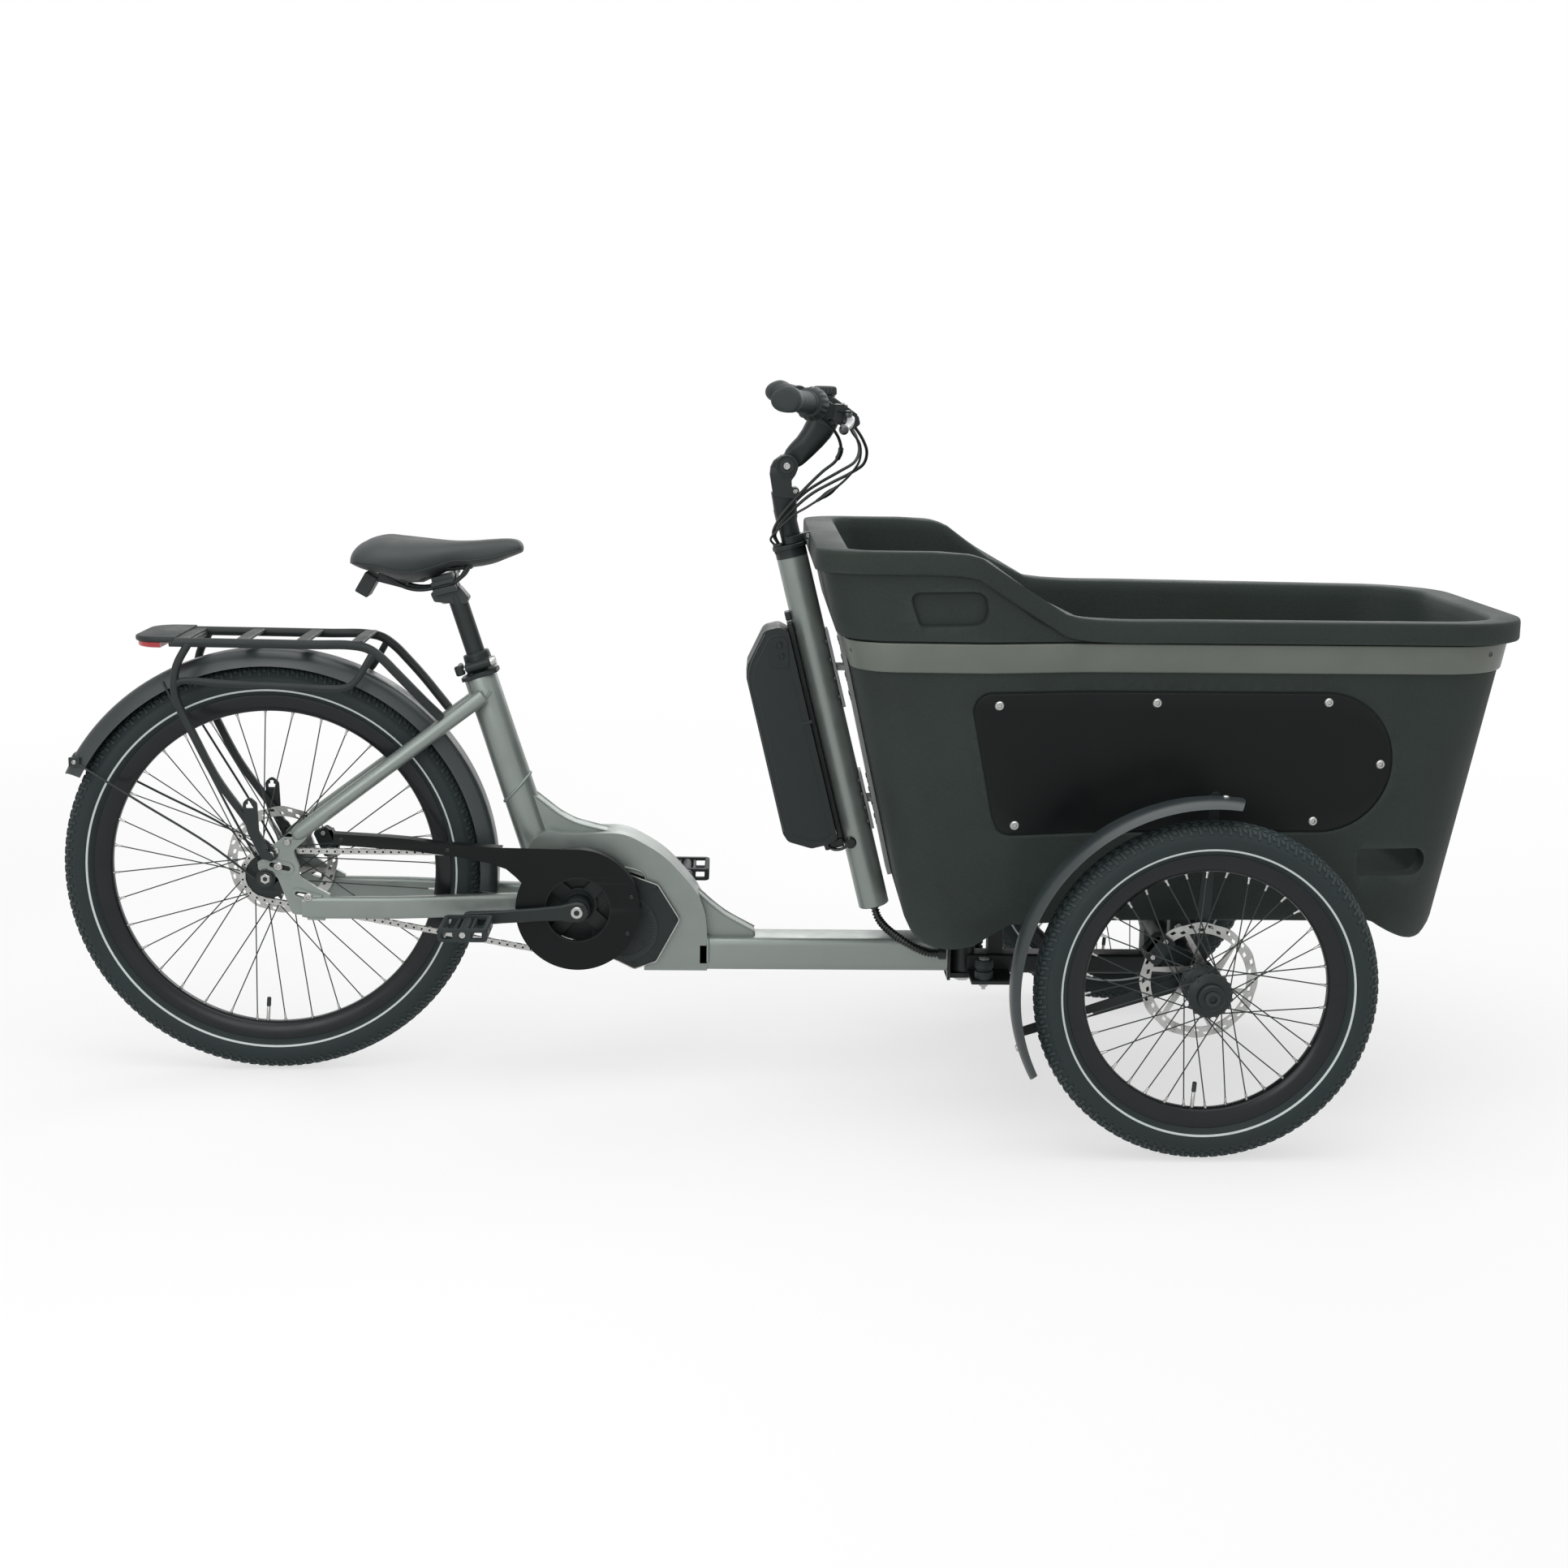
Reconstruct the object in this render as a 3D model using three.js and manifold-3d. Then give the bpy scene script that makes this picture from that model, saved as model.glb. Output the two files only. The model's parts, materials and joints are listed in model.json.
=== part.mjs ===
// Electric cargo tricycle with a box between two front wheels and one driven rear wheel.
// Millimetres. While the parts are built, x runs forward from the rear axle, y to the left
// and z up from the ground. At the end the whole is moved so that its origin lies on the
// ground under the middle of its bounding box.
import * as THREE from 'three';
import { mergeVertices } from 'three/addons/utils/BufferGeometryUtils.js';
import Module from 'manifold-3d';

const wasm = await Module();
wasm.setup();

// General clearances
const GAP = 0.3; // between two pieces that touch
const RUNNING_GAP = 0.4; // round a shaft that turns
const CUT_OVERRUN = 6; // how far a cutting body passes the face it cuts
const JOINT_SINK = 1; // how far a joined body starts inside its neighbour
const WELD_DISTANCE = 0.0001; // closer points of one surface are the same point

// Wheels
const WHEELBASE = 1441;
const FRONT_HALF_TRACK = 412;
const REAR_BEAD_RADIUS = 279.5;
const FRONT_BEAD_RADIUS = 203;
const TYRE_HEIGHT = 55;
const TYRE_WIDTH = 55;
const TYRE_WALL = 5;
const TYRE_OUTER_ARC = 130; // degrees to each side of the tread's middle
const TYRE_INNER_ARC = 155;
const BEAD_WIDTH = 4;
const FLANGE_CLEARANCE = 1;
const RIM_WIDTH = 30;
const RIM_FLANGE_THICKNESS = 2.7;
const RIM_FLANGE_HEIGHT = 5;
const RIM_WELL_DEPTH = 5;
const RIM_DEPTH = 22;
const RIM_INNER_WIDTH = 16;
const SPOKE_COUNT = 28;
const WHEEL_SIDES = 24;
const SPOKE_RADIUS = 1;
const SPOKE_LEAN = 60; // degrees between a spoke's hub end and its rim end
const SPOKE_OFFSET = 1.2; // of forward and backward spokes from their common middle
const SPOKE_RIM_OFFSET = 3;
const SPOKE_ROOT_DEPTH = 3.5;
const HUB_SIDES = 10;
const HUB_FLANGE_RADIUS = 31;
const HUB_FLANGE_THICKNESS = 5;
const HUB_BARREL_RADIUS = 20;
const HUB_END_RADIUS = 17;
const ROTOR_RADIUS = 90;
const ROTOR_TRACK = 15;
const ROTOR_THICKNESS = 2;
const ROTOR_CENTRE_RADIUS = 24;
const ROTOR_ARM_COUNT = 3;
const ROTOR_ARM_WIDTH = 8;
const ROTOR_ARM_LEAN = 35; // degrees

// Rear hub and axle
const REAR_AXLE_RADIUS = 6;
const REAR_HUB_HALF_FLANGE = 26;
const REAR_HUB_DISC_END = 56;
const REAR_HUB_BOSS_END = 60;
const REAR_HUB_BOSS_RADIUS = 15;
const AXLE_NUT_RADIUS = 11;
const AXLE_NUT_LENGTH = 8;

// Front hubs, seen from the middle of the bike outwards
const FRONT_HUB_BARREL_RADIUS = 18;
const FRONT_ROTOR_Y = 359;
const FRONT_HUB_INNER_FLANGE_Y = 386;
const FRONT_HUB_OUTER_FLANGE_Y = 438;
const FRONT_HUB_END_Y = 462;
const FRONT_HUB_CAP_THICKNESS = 6;
const STUB_AXLE_RADIUS = 8;

// Cranks and chain
const BB_X = 493;
const BB_Z = 289;
const CHAIN_PITCH = 12.7;
const CHAINRING_TEETH = 42;
const SPROCKET_TEETH = 20;
const CHAIN_LINE_Y = 54;
const CHAIN_WIDTH = 8;
const BELT_STEPS = 13;
const CHAIN_LINK_HEIGHT = 8.6;
const SPROCKET_GAP = 0.6; // inside the chain
const CHAINRING_THICKNESS = 3;
const CHAINRING_RIM_WIDTH = 12;
const CHAINRING_CENTRE_RADIUS = 24;
const CHAINRING_ARM_COUNT = 4;
const CHAINRING_ARM_WIDTH = 14;
const CRANK_LENGTH = 170;
const CRANK_ANGLE = 184.2; // degrees from forward, right crank
const CRANK_INNER_Y = 91;
const CRANK_THICKNESS = 13;
const CRANK_ROOT_RADIUS = 17;
const CRANK_TIP_RADIUS = 12;
const SPINDLE_RADIUS = 12;
const PEDAL_AXLE_RADIUS = 5;
const PEDAL_LENGTH = 76;
const PEDAL_WIDTH = 92;
const PEDAL_THICKNESS = 20;
const PEDAL_GAP_Y = 7; // between crank arm and pedal
const PEDAL_WINDOW_SHARE = 0.26;

// Motor
const MOTOR_RADIUS = 60;
const MOTOR_HALF_WIDTH = 46;
const MOTOR_REACH = 163;
const MOTOR_DROP = 109;
const MOTOR_CORE_REACH = 103; // where the wide body ends and only the side plates go on
const MOTOR_SHELL_CLEARANCE = 1.3;
const MOTOR_OUTLINE_SHARES = [[0.485, 0.459], [0.779, 0.303], [1, -0.229], [0.767, -0.881], [0.546, -1]];
const MOTOR_COVER_RADIUS = 54;
const MOTOR_COVER_HEIGHT = 1.5;
const MOTOR_COVER_SHARES = [0.454, -0.376];

// Frame
const FRAME_HALF_WIDTH = 36;
const ARCH_REACH = 278;
const ARCH_RISE = 170;
const ARCH_TOP_SHARES = [
  [-0.32, 0.488], [-0.191, 0.69], [-0.032, 0.665], [0.255, 0.665],
  [0.493, 0.447], [0.687, 0.082], [0.745, -0.35],
];
const GUSSET_HALF_WIDTH = 16;
const REAR_GUSSET_SHARES = [[-0.335, 1.006], [-0.255, 1], [-0.032, 0.78], [0.187, 0.66], [-0.191, 0.535]];
const FRONT_GUSSET_SHARES = [
  [0.6, 0.19], [0.709, 0.053], [0.759, -0.012], [1, -0.294], [1, -0.371], [0.644, -0.4],
];
const SEAT_LEAN = 18; // degrees back from upright
const SEAT_TUBE_TOP_X = 332;
const SEAT_TUBE_TOP_Z = 653;
const SEAT_TUBE_LENGTH = 300;
const SEAT_TUBE_RADIUS = 26.5;
const SEAT_POST_OFFSET = 5; // forward of the seat tube's middle
const SEAT_POST_RADIUS = 15;
const SEAT_BORE_DEPTH = 270;
const YOKE_LENGTH = 29; // cross block behind the motor that carries the chainstays
const YOKE_HEIGHT = 48;
const YOKE_DROP = 27;
const YOKE_HALF_WIDTH = 46;
const BEAM_START_X = 597.5;
const BEAM_END_X = 1094;
const BEAM_LOW_Z = 176;
const BEAM_HIGH_Z = 230;
const BEAM_CORNER = 12;
const BEAM_WALL = 3.5;

// Rear triangle
const DROPOUT_INNER_Y = 66;
const DROPOUT_THICKNESS = 8;
const DROPOUT_LENGTH = 126;
const DROPOUT_HEIGHT = 150;
const DROPOUT_OUTLINE_SHARES = [[-0.238, -0.03], [-0.159, 0.21], [0.206, 0.53], [0.476, 0.557],
  [0.524, 0.41], [0.349, 0.103], [0.762, -0.203], [0.762, -0.443], [0.238, -0.443], [-0.111, -0.243]];
const DROPOUT_SLOT_SHARES = [[0.32, -0.19], [0.54, -0.33]];
const DROPOUT_SLOT_RADIUS = 4.5;
const SEAT_STAY_RADIUS = 12.5;
const SEAT_STAY_LOW_X = 46;
const SEAT_STAY_LOW_Z = 403;
const SEAT_STAY_LOW_Y = 71;
const SEAT_STAY_TOP_DROP = 28; // below the seat tube's top, along the tube
const CHAINSTAY_LOW_Z = 268;
const CHAINSTAY_HEIGHT = 36;
const CHAINSTAY_REAR_X = 62;
const CHAINSTAY_OUTER_SHARES = [[0, 78], [0.41, 75], [0.7, 60], [1, 46]];
const CHAINSTAY_WIDTHS = [16, 17, 20, 20];

// Chain guard
const GUARD_SIDES = 20;
const GUARD_PLATE_Y = 83;
const GUARD_PLATE_THICKNESS = 3;
const GUARD_RING_OUTER = 99;
const GUARD_RING_INNER = 53;
const GUARD_RIM_DEPTH = 24;
const GUARD_ARM_LENGTH = 384;
const GUARD_ARM_RISE = 124;
const GUARD_ARM_SHARES = [[-1, 0.975], [-0.69, 0.915], [-0.56, 0.83], [0, 0.798], [0, 0.6],
  [-0.215, 0.25], [-0.24, 0.44], [-0.5, 0.7], [-0.7, 0.76], [-1, 0.83]];
const GUARD_POST_RADIUS = 4;
const GUARD_POST_ANGLES = [0, -48]; // degrees round the crank axle

// Seat
const CLAMP_HEIGHT = 38;
const CLAMP_FOOT_RADIUS = 27;
const CLAMP_TOP_RADIUS = 21;
const CLAMP_SKEWER_HEIGHT = 20;
const CLAMP_SKEWER_RADIUS = 3;
const CLAMP_SKEWER_Y = 31;
const CLAMP_LUG_RADIUS = 7;
const CLAMP_LUG_REACH = 22;
const CLAMP_LUG_SINK = 3; // the lug starts this far ahead of the nut's middle
const CLAMP_NUT_RADIUS = 8;
const CLAMP_NUT_LENGTH = 9;
const LEVER_CAM_RADIUS = 7;
const LEVER_LENGTH = 52;
const LEVER_THICKNESS = 5;
const SEAT_POST_TOP = 138; // above the seat tube's top, along the post
const SEAT_POST_INSERTION = 190;
const SADDLE_CLAMP_LENGTH = 44;
const SADDLE_CLAMP_WIDTH = 56;
const SADDLE_CLAMP_HEIGHT = 18;
const RAIL_RADIUS = 3.5;
const RAIL_HALF_SPACING = 22;
const SADDLE_TAIL_X = 135;
const SADDLE_LENGTH = 267;
const SADDLE_LOW_Z = 800;
const SADDLE_RISE = 76;
const SADDLE_HALF_WIDTH = 100;
// Each station: how far along, top, bottom and half width as shares of the four sizes above.
const SADDLE_STATION_SHARES = [
  [0.006, 0.6, 0.42, 0.45], [0.03, 0.76, 0.38, 0.78], [0.08, 0.9, 0.3, 0.93], [0.184, 1, 0.21, 1],
  [0.28, 0.985, 0.09, 0.94], [0.375, 0.961, 0.05, 0.8], [0.48, 0.93, 0.17, 0.6], [0.592, 0.908, 0.36, 0.41],
  [0.7, 0.925, 0.36, 0.3], [0.82, 0.96, 0.44, 0.255], [0.92, 0.97, 0.58, 0.235], [0.975, 0.93, 0.66, 0.2],
  [0.996, 0.85, 0.7, 0.12],
];
const SADDLE_RING_POINTS = 14;
const SADDLE_EDGE_SHARE = 0.42; // height of the widest line between bottom and top
const SADDLE_BELLY_SHARE = 0.72; // how far the sides are drawn in at the bottom
const RAIL_STRAIGHT_SHARE = -0.05; // height of the rails' clamped run, as a share of the saddle's rise
// Each rail point: how far along and how high as shares of the saddle, and the spread of the pair.
const RAIL_PATH_SHARES = [
  [0.165, 0.31, 1], [0.2, 0.03, 1], [0.34, RAIL_STRAIGHT_SHARE, 1],
  [0.69, RAIL_STRAIGHT_SHARE, 1], [0.79, 0.51, 0.45],
];

// Rear rack, fender and light
const RACK_HALF_WIDTH = 72;
const RACK_TAIL_X = -198;
const RACK_LENGTH = 466;
const RACK_FOOT_Z = 374;
const RACK_RISE = 335;
const RACK_TUBE_RADIUS = 7.5;
const RACK_LEG_RADIUS = 6;
const RACK_SIDE_Y = 6; // the side loops lie this far outside the deck
const RACK_DECK_SHARES = [[0.723, 1], [0.78, 0.985], [0.825, 0.93], [0.878, 0.838], [0.965, 0.735]];
const RACK_LEG_SHARES = [
  [0.19, 1.005], [0.139, 0.815], [0.144, 0.737], [0.273, 0.361], [0.365, 0.173], [0.43, 0.03],
];
const RACK_LOOP_SHARES = [[0.145, 0.815], [0.7, 0.8], [0.735, 0.825], [0.8, 0.97]];
const RACK_SLAT_SHARES = [0.36, 0.56, 0.745]; // the first slat lies against the tail plate
const RACK_SLAT_LENGTH = 19;
const RACK_SLAT_THICKNESS = 5;
const RACK_TAIL_LENGTH = 66;
const RACK_TAIL_THICKNESS = 9;
const RACK_TAIL_CORNER = 38;
const TAIL_LIGHT_LENGTH = 44;
const TAIL_LIGHT_HEIGHT = 9;
const REAR_FENDER_RADIUS = 360;
const REAR_FENDER_FROM = -6;
const REAR_FENDER_TO = 155;
const FENDER_SIDES = 28;
const FENDER_THICKNESS = 2.5;
const FENDER_SKIRT = 13;
const FENDER_HALF_WIDTH = 30;
const FENDER_CROWN_HALF_WIDTH = 20;
const FENDER_STAY_RADIUS = 2;
const FENDER_STAY_ELBOW = 14; // how far outside the brake disc the stays bend
const FENDER_STAY_ANGLES = [150, 118];
const REAR_STAY_FOOT_SHARES = [[-0.16, -0.02], [-0.08, 0.12]];

// Front fenders and their straps
const FRONT_FENDER_RADIUS = 292;
const FRONT_FENDER_FROM = 80;
const FRONT_FENDER_TO = 208;
const FENDER_STRAP_ANGLES = [84, 198];
const FENDER_STRAP_WIDTH = 24;
const FENDER_STRAP_THICKNESS = 3.5;
const FENDER_STRAP_TURN = 13;

// Brake calipers
const CALIPER_LENGTH = 46;
const CALIPER_DEPTH = 30;
const CALIPER_SLOT = 5;
const REAR_CALIPER_ANGLE = 24;
const FRONT_CALIPER_ANGLE = 142;
const CALIPER_SEAT_RADIUS = 82;
const REAR_CALIPER_INNER_Y = 48;
const FRONT_CALIPER_WIDTH = 26;

// Steering pivot between beam and front chassis
const PIVOT_X = 1122;
const PIVOT_PLATE_THICKNESS = 5;
const PIVOT_LUG_THICKNESS = 8;
const PIVOT_LUG_RADIUS = 22;
const PIVOT_LUG_OVERHANG = 6; // how far the lugs lie above and below the beam
const PIVOT_PIN_RADIUS = 9;
const PIVOT_HEAD_RADIUS = 15;
const PIVOT_HEAD_HEIGHT = 7;
const PIVOT_BARREL_RADIUS = 20;
const BUSH_Y = 76;
const BUSH_RADIUS = 15;
const BUSH_HEIGHT = 32;
const BUSH_BOLT_RADIUS = 7;
const BUSH_BOLT_LENGTH = 11;
const BUSH_BRACKET_THICKNESS = 7;

// Front chassis
const SPINE_HEIGHT = 32;
const SPINE_WIDTH = 44;
const CROSS_BEAM_RADIUS = 21;
const CROSS_BEAM_HALF = 336;
const UPRIGHT_THICKNESS = 9;
const UPRIGHT_RADIUS = 30;
const UPRIGHT_ARM_WIDTH = 26;
const CHASSIS_RAIL_Y = 190;
const CHASSIS_RAIL_WIDTH = 25;
const CHASSIS_RAIL_HEIGHT = 20;
const CHASSIS_RAIL_REAR_X = 1175;
const CHASSIS_RAIL_FRONT_X = 1700;
const CHASSIS_POST_WIDTH = 30;
const RISER_WIDTH = 40;

// Cargo box
const BOX_REAR_X = 875;
const BOX_FRONT_X = 1962; // at the height of BOX_HIGH_Z, above the front rim
const BOX_RIM_REAR_X = 855;
const BOX_RIM_FRONT_X = 1958;
const BOX_HIGH_Z = 893;
const BOX_LOW_Z = 290;
const BOX_REAR_LEAN = 136; // how far the rear wall comes forward on its way down
const BOX_FRONT_LEAN = 116; // how far the front wall goes back on its way down
const BOX_HALF_WIDTH_REAR = 345;
const BOX_HALF_WIDTH_MIDDLE = 316;
const BOX_HALF_WIDTH_FRONT = 284;
const BOX_RIM_OVERHANG = 12;
const BOX_RIM_DEPTH = 33;
const BOX_REAR_CORNER = 66;
const BOX_FRONT_CORNER = 132;
const BOX_SHOULDER_SHARE = 0.2; // where the wide rear part ends, along the box
const BOX_WAIST_SHARE = 0.34;
const BOX_WALL = 30;
const BOX_FLOOR = 34;
const BOX_FOOT_HALF_SHARE = 0.94; // half width at the bottom over half width at the top
const BOX_TOP_SHARES = [
  [-0.1, 1], [0.209, 1], [0.247, 0.963], [0.3, 0.886], [0.346, 0.844], [0.403, 0.836], [1.1, 0.836],
];
const BOX_BOTTOM_SHARES = [
  [0.08, 0.128], [0.133, 0.049], [0.152, 0.013], [0.186, 0], [0.231, 0.013], [0.273, 0.067],
  [0.781, 0.067], [0.812, 0.036], [0.85, 0.006], [0.878, 0.008], [0.893, 0.03], [0.93, 0.09],
];
const CORNER_STEPS = 4;
const BAND_LOW_Z = 716;
const BAND_HIGH_Z = 760;
const BAND_THICKNESS = 4;
const HAND_SLOT_X = 1749;
const HAND_SLOT_Z = 423;
const HAND_SLOT_LENGTH = 112;
const HAND_SLOT_HEIGHT = 44;
const PANEL_THICKNESS = 5;
const PANEL_LEFT_TOP_X = 1094;
const PANEL_LEFT_LOW_X = 1127;
const PANEL_TOP_Z = 685;
const PANEL_LOW_Z = 474;
const PANEL_ROUND_X = 1630;
const PANEL_CORNER_SHARE = 0.12;
const PANEL_SCREW_RADIUS = 7;
const PANEL_SCREW_HEIGHT = 2.5;
const PANEL_SCREW_SHARES = [
  [0.055, 0.92], [0.43, 0.93], [0.84, 0.94], [0.975, 0.49], [0.82, 0.07], [0.1, 0.06],
];

// Steering tube, battery and cable hose
const TUBE_TOP_X = 824.5;
const TUBE_TOP_Z = 871;
const TUBE_LEAN = 14.15; // degrees back from upright
const TUBE_LENGTH = 609;
const TUBE_RADIUS = 25;
const TUBE_CAP_HEIGHT = 9;
const TUBE_CAP_LIP = 2;
const HANDLE_POST_RADIUS = 16;
const HANDLE_POST_OFFSET = 5; // forward of the tube's middle
const HANDLE_POST_INSERTION = 130;
const TUBE_BORE_DEPTH = 260;
const CABLE_PORT_RADIUS = 8;
const CABLE_PORT_DEPTH = 70;
const BRACKET_HEIGHTS = [178, 400]; // up the tube from its lower end
const BRACKET_HEIGHT = 38;
const BRACKET_WIDTH = 34;
const BATTERY_RAIL_THICKNESS = 8;
const BATTERY_RAIL_WIDTH = 40;
const BATTERY_START = 126; // up the tube from its lower end
const BATTERY_LENGTH = 363;
const BATTERY_DEPTH = 84;
const BATTERY_HALF_WIDTH = 45;
const BATTERY_OUTLINE_SHARES = [[0.016, 0], [0, 0.22], [0, 0.53], [0.055, 0.94], [0.095, 1], [0.815, 0.98],
  [0.87, 0.9], [1, 0.44], [1, 0.15], [0.97, 0]];
const BATTERY_CATCH_LENGTH = 14;
const BATTERY_CATCH_DEPTH = 24;
const HOSE_RADIUS = 7;
const HOSE_GROOVE = 1.2;
const HOSE_BORE = 3.8;
const HOSE_RIB_PITCH = 9;
const HOSE_SIDES = 8;
const HOSE_BORE_STEP = 2; // ribs between two rings of the bore
const HOSE_SOCKET_DEPTH = 12;
const HOSE_CLIP_LENGTH = 12;
const HOSE_CLIP_WALL = 3.5;
const HOSE_CLIP_Z = 210;
const HOSE_SIDE_GAP = 0.4; // between hose and beam
// Middle part of the hose's route. It starts in the tube's foot and ends in the clip on the beam.
const HOSE_ROUTE = [[980, -5, 260], [990, -16, 248], [1005, -30, 238], [1023, -41, 228], [1043, -45, 218]];

// Handlebar
const TILT_X = 818;
const TILT_Z = 997;
const TILT_RADIUS = 18;
const TILT_CENTRE_HALF = 13;
const TILT_LUG_THICKNESS = 9;
const TILT_PIN_RADIUS = 5;
const TILT_NECK_LENGTH = 24;
const BAR_CLAMP_X = 880;
const BAR_CLAMP_Z = 1084;
const BAR_CLAMP_RADIUS = 23;
const BAR_CLAMP_HALF = 22;
const STEM_ROOT_RADIUS = 14; // of the arm where it leaves the tilt joint
const BAR_RADIUS = 11.1;
const BAR_REACH_Y = 318;
const BAR_SWEEP_BACK = 69;
const BAR_RISE = 24;
const BAR_PATH_SHARES = [
  [0, 0, 0], [0.12, 0.02, 0.02], [0.3, 0.12, 0.2], [0.52, 0.32, 0.52], [0.66, 0.5, 0.7], [1, 1, 1],
];
const GRIP_RADIUS = 18;
const GRIP_LENGTH = 104;
const GRIP_END = 4;
const SHIFTER_RADIUS = 25;
const SHIFTER_LENGTH = 34;
const SHIFTER_GAP = 3;
const SHIFTER_CLEARANCE = 1.2; // round the bent bar, so that the twist grip turns freely
const BAR_STEPS = 16;
const BAR_SIDES = 8;
const MASTER_REACH = 58;
const MASTER_RADIUS = 11;
const MASTER_CLAMP_RADIUS = 17;
const MASTER_CLAMP_LENGTH = 12;
const MASTER_SHARE = 0.47; // place along the bar
const MASTER_FORWARD_LEAN = 20; // degrees below level
const LEVER_GAP = 1.5; // between master cylinder and lever
const LEVER_BLADE_LENGTH = 112;
const LEVER_BLADE_WIDTH = 14;
const LEVER_BLADE_THICKNESS = 8;
const LEVER_BALL_RADIUS = 7.5;
const BELL_SHARE = 0.27;
const BELL_RADIUS = 17;
const BELL_HEIGHT = 15;
const BELL_CLAMP_RADIUS = 15;
const BELL_CLAMP_LENGTH = 11;
const BELL_LEVER_LENGTH = 20;
const BELL_LEVER_WIDTH = 7;
const CABLE_RADIUS = 2.5;
const CABLE_SIDES = 7;
const CABLE_STEPS = 16;
// Routes of the two brake hoses and the gear cable, down to just above the tube's cap.
const CABLE_ROUTES = [
  [[900, -115, 1085], [909, -104, 1077], [921, -92, 1062], [934, -80, 1043], [941, -70, 1024],
    [937, -60, 1005], [918, -50, 990], [889, -42, 974], [860, -36, 957], [836, -32, 937],
    [818, -26, 917], [806, -17, 900], [801, -8, 886]],
  [[900, 115, 1085], [909, 104, 1077], [921, 92, 1061], [932, 80, 1042], [937, 68, 1022],
    [930, 56, 1003], [905, 46, 987], [875, 38, 970], [848, 32, 952], [828, 28, 932],
    [813, 24, 912], [803, 17, 898], [800, 11, 886]],
  [[862, -178, 1082], [878, -160, 1068], [893, -140, 1048], [898, -120, 1028], [891, -98, 1010],
    [872, -74, 992], [848, -52, 966], [824, -38, 938], [807, -28, 914], [798, -17, 890]],
];
const CABLE_ENDS_Y = [0, 6.5, -6.5];
const CABLE_BOOT_DEPTH = 8;
const CABLE_BOOT_WIDTH = 20;
const CABLE_BOOT_HEIGHT = 16;

// Surfaces
const FINISH = {
  frame: [0x7f8784, 0.42, 0.55],
  black: [0x1c1f20, 0.55, 0.2],
  rubber: [0x23282a, 0.9, 0],
  rim: [0x17191a, 0.45, 0.4],
  silver: [0xb9bcbe, 0.35, 0.9],
  foam: [0x2d3231, 0.85, 0],
  band: [0x4b504c, 0.7, 0],
  panel: [0x24292a, 0.5, 0],
  red: [0xa02030, 0.3, 0],
  cushion: [0x1b1d1e, 0.7, 0],
};

const bike = new THREE.Group();

// Small helpers for points

const rad = THREE.MathUtils.degToRad;
const at = (x, y, z) => new THREE.Vector3(x, y, z);
const UP = at(0, 0, 1);
const LEFT = at(0, 1, 0);
const FORWARD = at(1, 0, 0);
const REAR_AXLE_Z = REAR_BEAD_RADIUS + TYRE_HEIGHT;
const FRONT_AXLE_Z = FRONT_BEAD_RADIUS + TYRE_HEIGHT;
const BOX_LENGTH = BOX_RIM_FRONT_X - BOX_RIM_REAR_X;
const BOX_HEIGHT = BOX_HIGH_Z - BOX_LOW_Z;
const TUBE_DIRECTION = at(-Math.sin(rad(TUBE_LEAN)), 0, Math.cos(rad(TUBE_LEAN)));
const TUBE_BACK = at(-Math.cos(rad(TUBE_LEAN)), 0, -Math.sin(rad(TUBE_LEAN)));
const SEAT_DIRECTION = at(-Math.sin(rad(SEAT_LEAN)), 0, Math.cos(rad(SEAT_LEAN)));
const SEAT_FORWARD = at(Math.cos(rad(SEAT_LEAN)), 0, Math.sin(rad(SEAT_LEAN)));

// Point reached from a start by going given distances along given directions.
function reach(start, ...steps) {
  const point = start.clone();
  for (const [direction, distance] of steps) {
    point.addScaledVector(direction, distance);
  }
  return point;
}

// Outline points from shares of a length and a height.
function placed(shares, x, z, length, height) {
  return shares.map(([along, up]) => new THREE.Vector2(x + along * length, z + up * height));
}

function arcPoints(x, z, radius, fromAngle, toAngle, steps) {
  const points = [];
  for (let i = 0; i <= steps; i++) {
    const angle = rad(fromAngle + ((toAngle - fromAngle) * i) / steps);
    points.push(new THREE.Vector2(x + radius * Math.cos(angle), z + radius * Math.sin(angle)));
  }
  return points;
}

function circlePoints(x, z, radius, sides) {
  return arcPoints(x, z, radius, 0, 360 - 360 / sides, sides - 1);
}

function roundedRectangle(width, height, corner, steps) {
  const x = width / 2 - corner;
  const z = height / 2 - corner;
  return [
    ...arcPoints(x, z, corner, 0, 90, steps),
    ...arcPoints(-x, z, corner, 90, 180, steps),
    ...arcPoints(-x, -z, corner, 180, 270, steps),
    ...arcPoints(x, -z, corner, 270, 360, steps),
  ];
}

// Outline of a bar with round ends that may differ in radius.
function linkOutline(start, startRadius, end, endRadius, steps) {
  const heading = THREE.MathUtils.radToDeg(Math.atan2(end.y - start.y, end.x - start.x));
  return [
    ...arcPoints(end.x, end.y, endRadius, heading - 90, heading + 90, steps),
    ...arcPoints(start.x, start.y, startRadius, heading + 90, heading + 270, steps),
  ];
}

// Solids

function signedVolume(positions, triangles) {
  const a = new THREE.Vector3();
  const b = new THREE.Vector3();
  const c = new THREE.Vector3();
  let volume = 0;
  for (let i = 0; i < triangles.length; i += 3) {
    a.fromArray(positions, 3 * triangles[i]);
    b.fromArray(positions, 3 * triangles[i + 1]);
    c.fromArray(positions, 3 * triangles[i + 2]);
    volume += a.dot(b.cross(c));
  }
  return volume;
}

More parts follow.
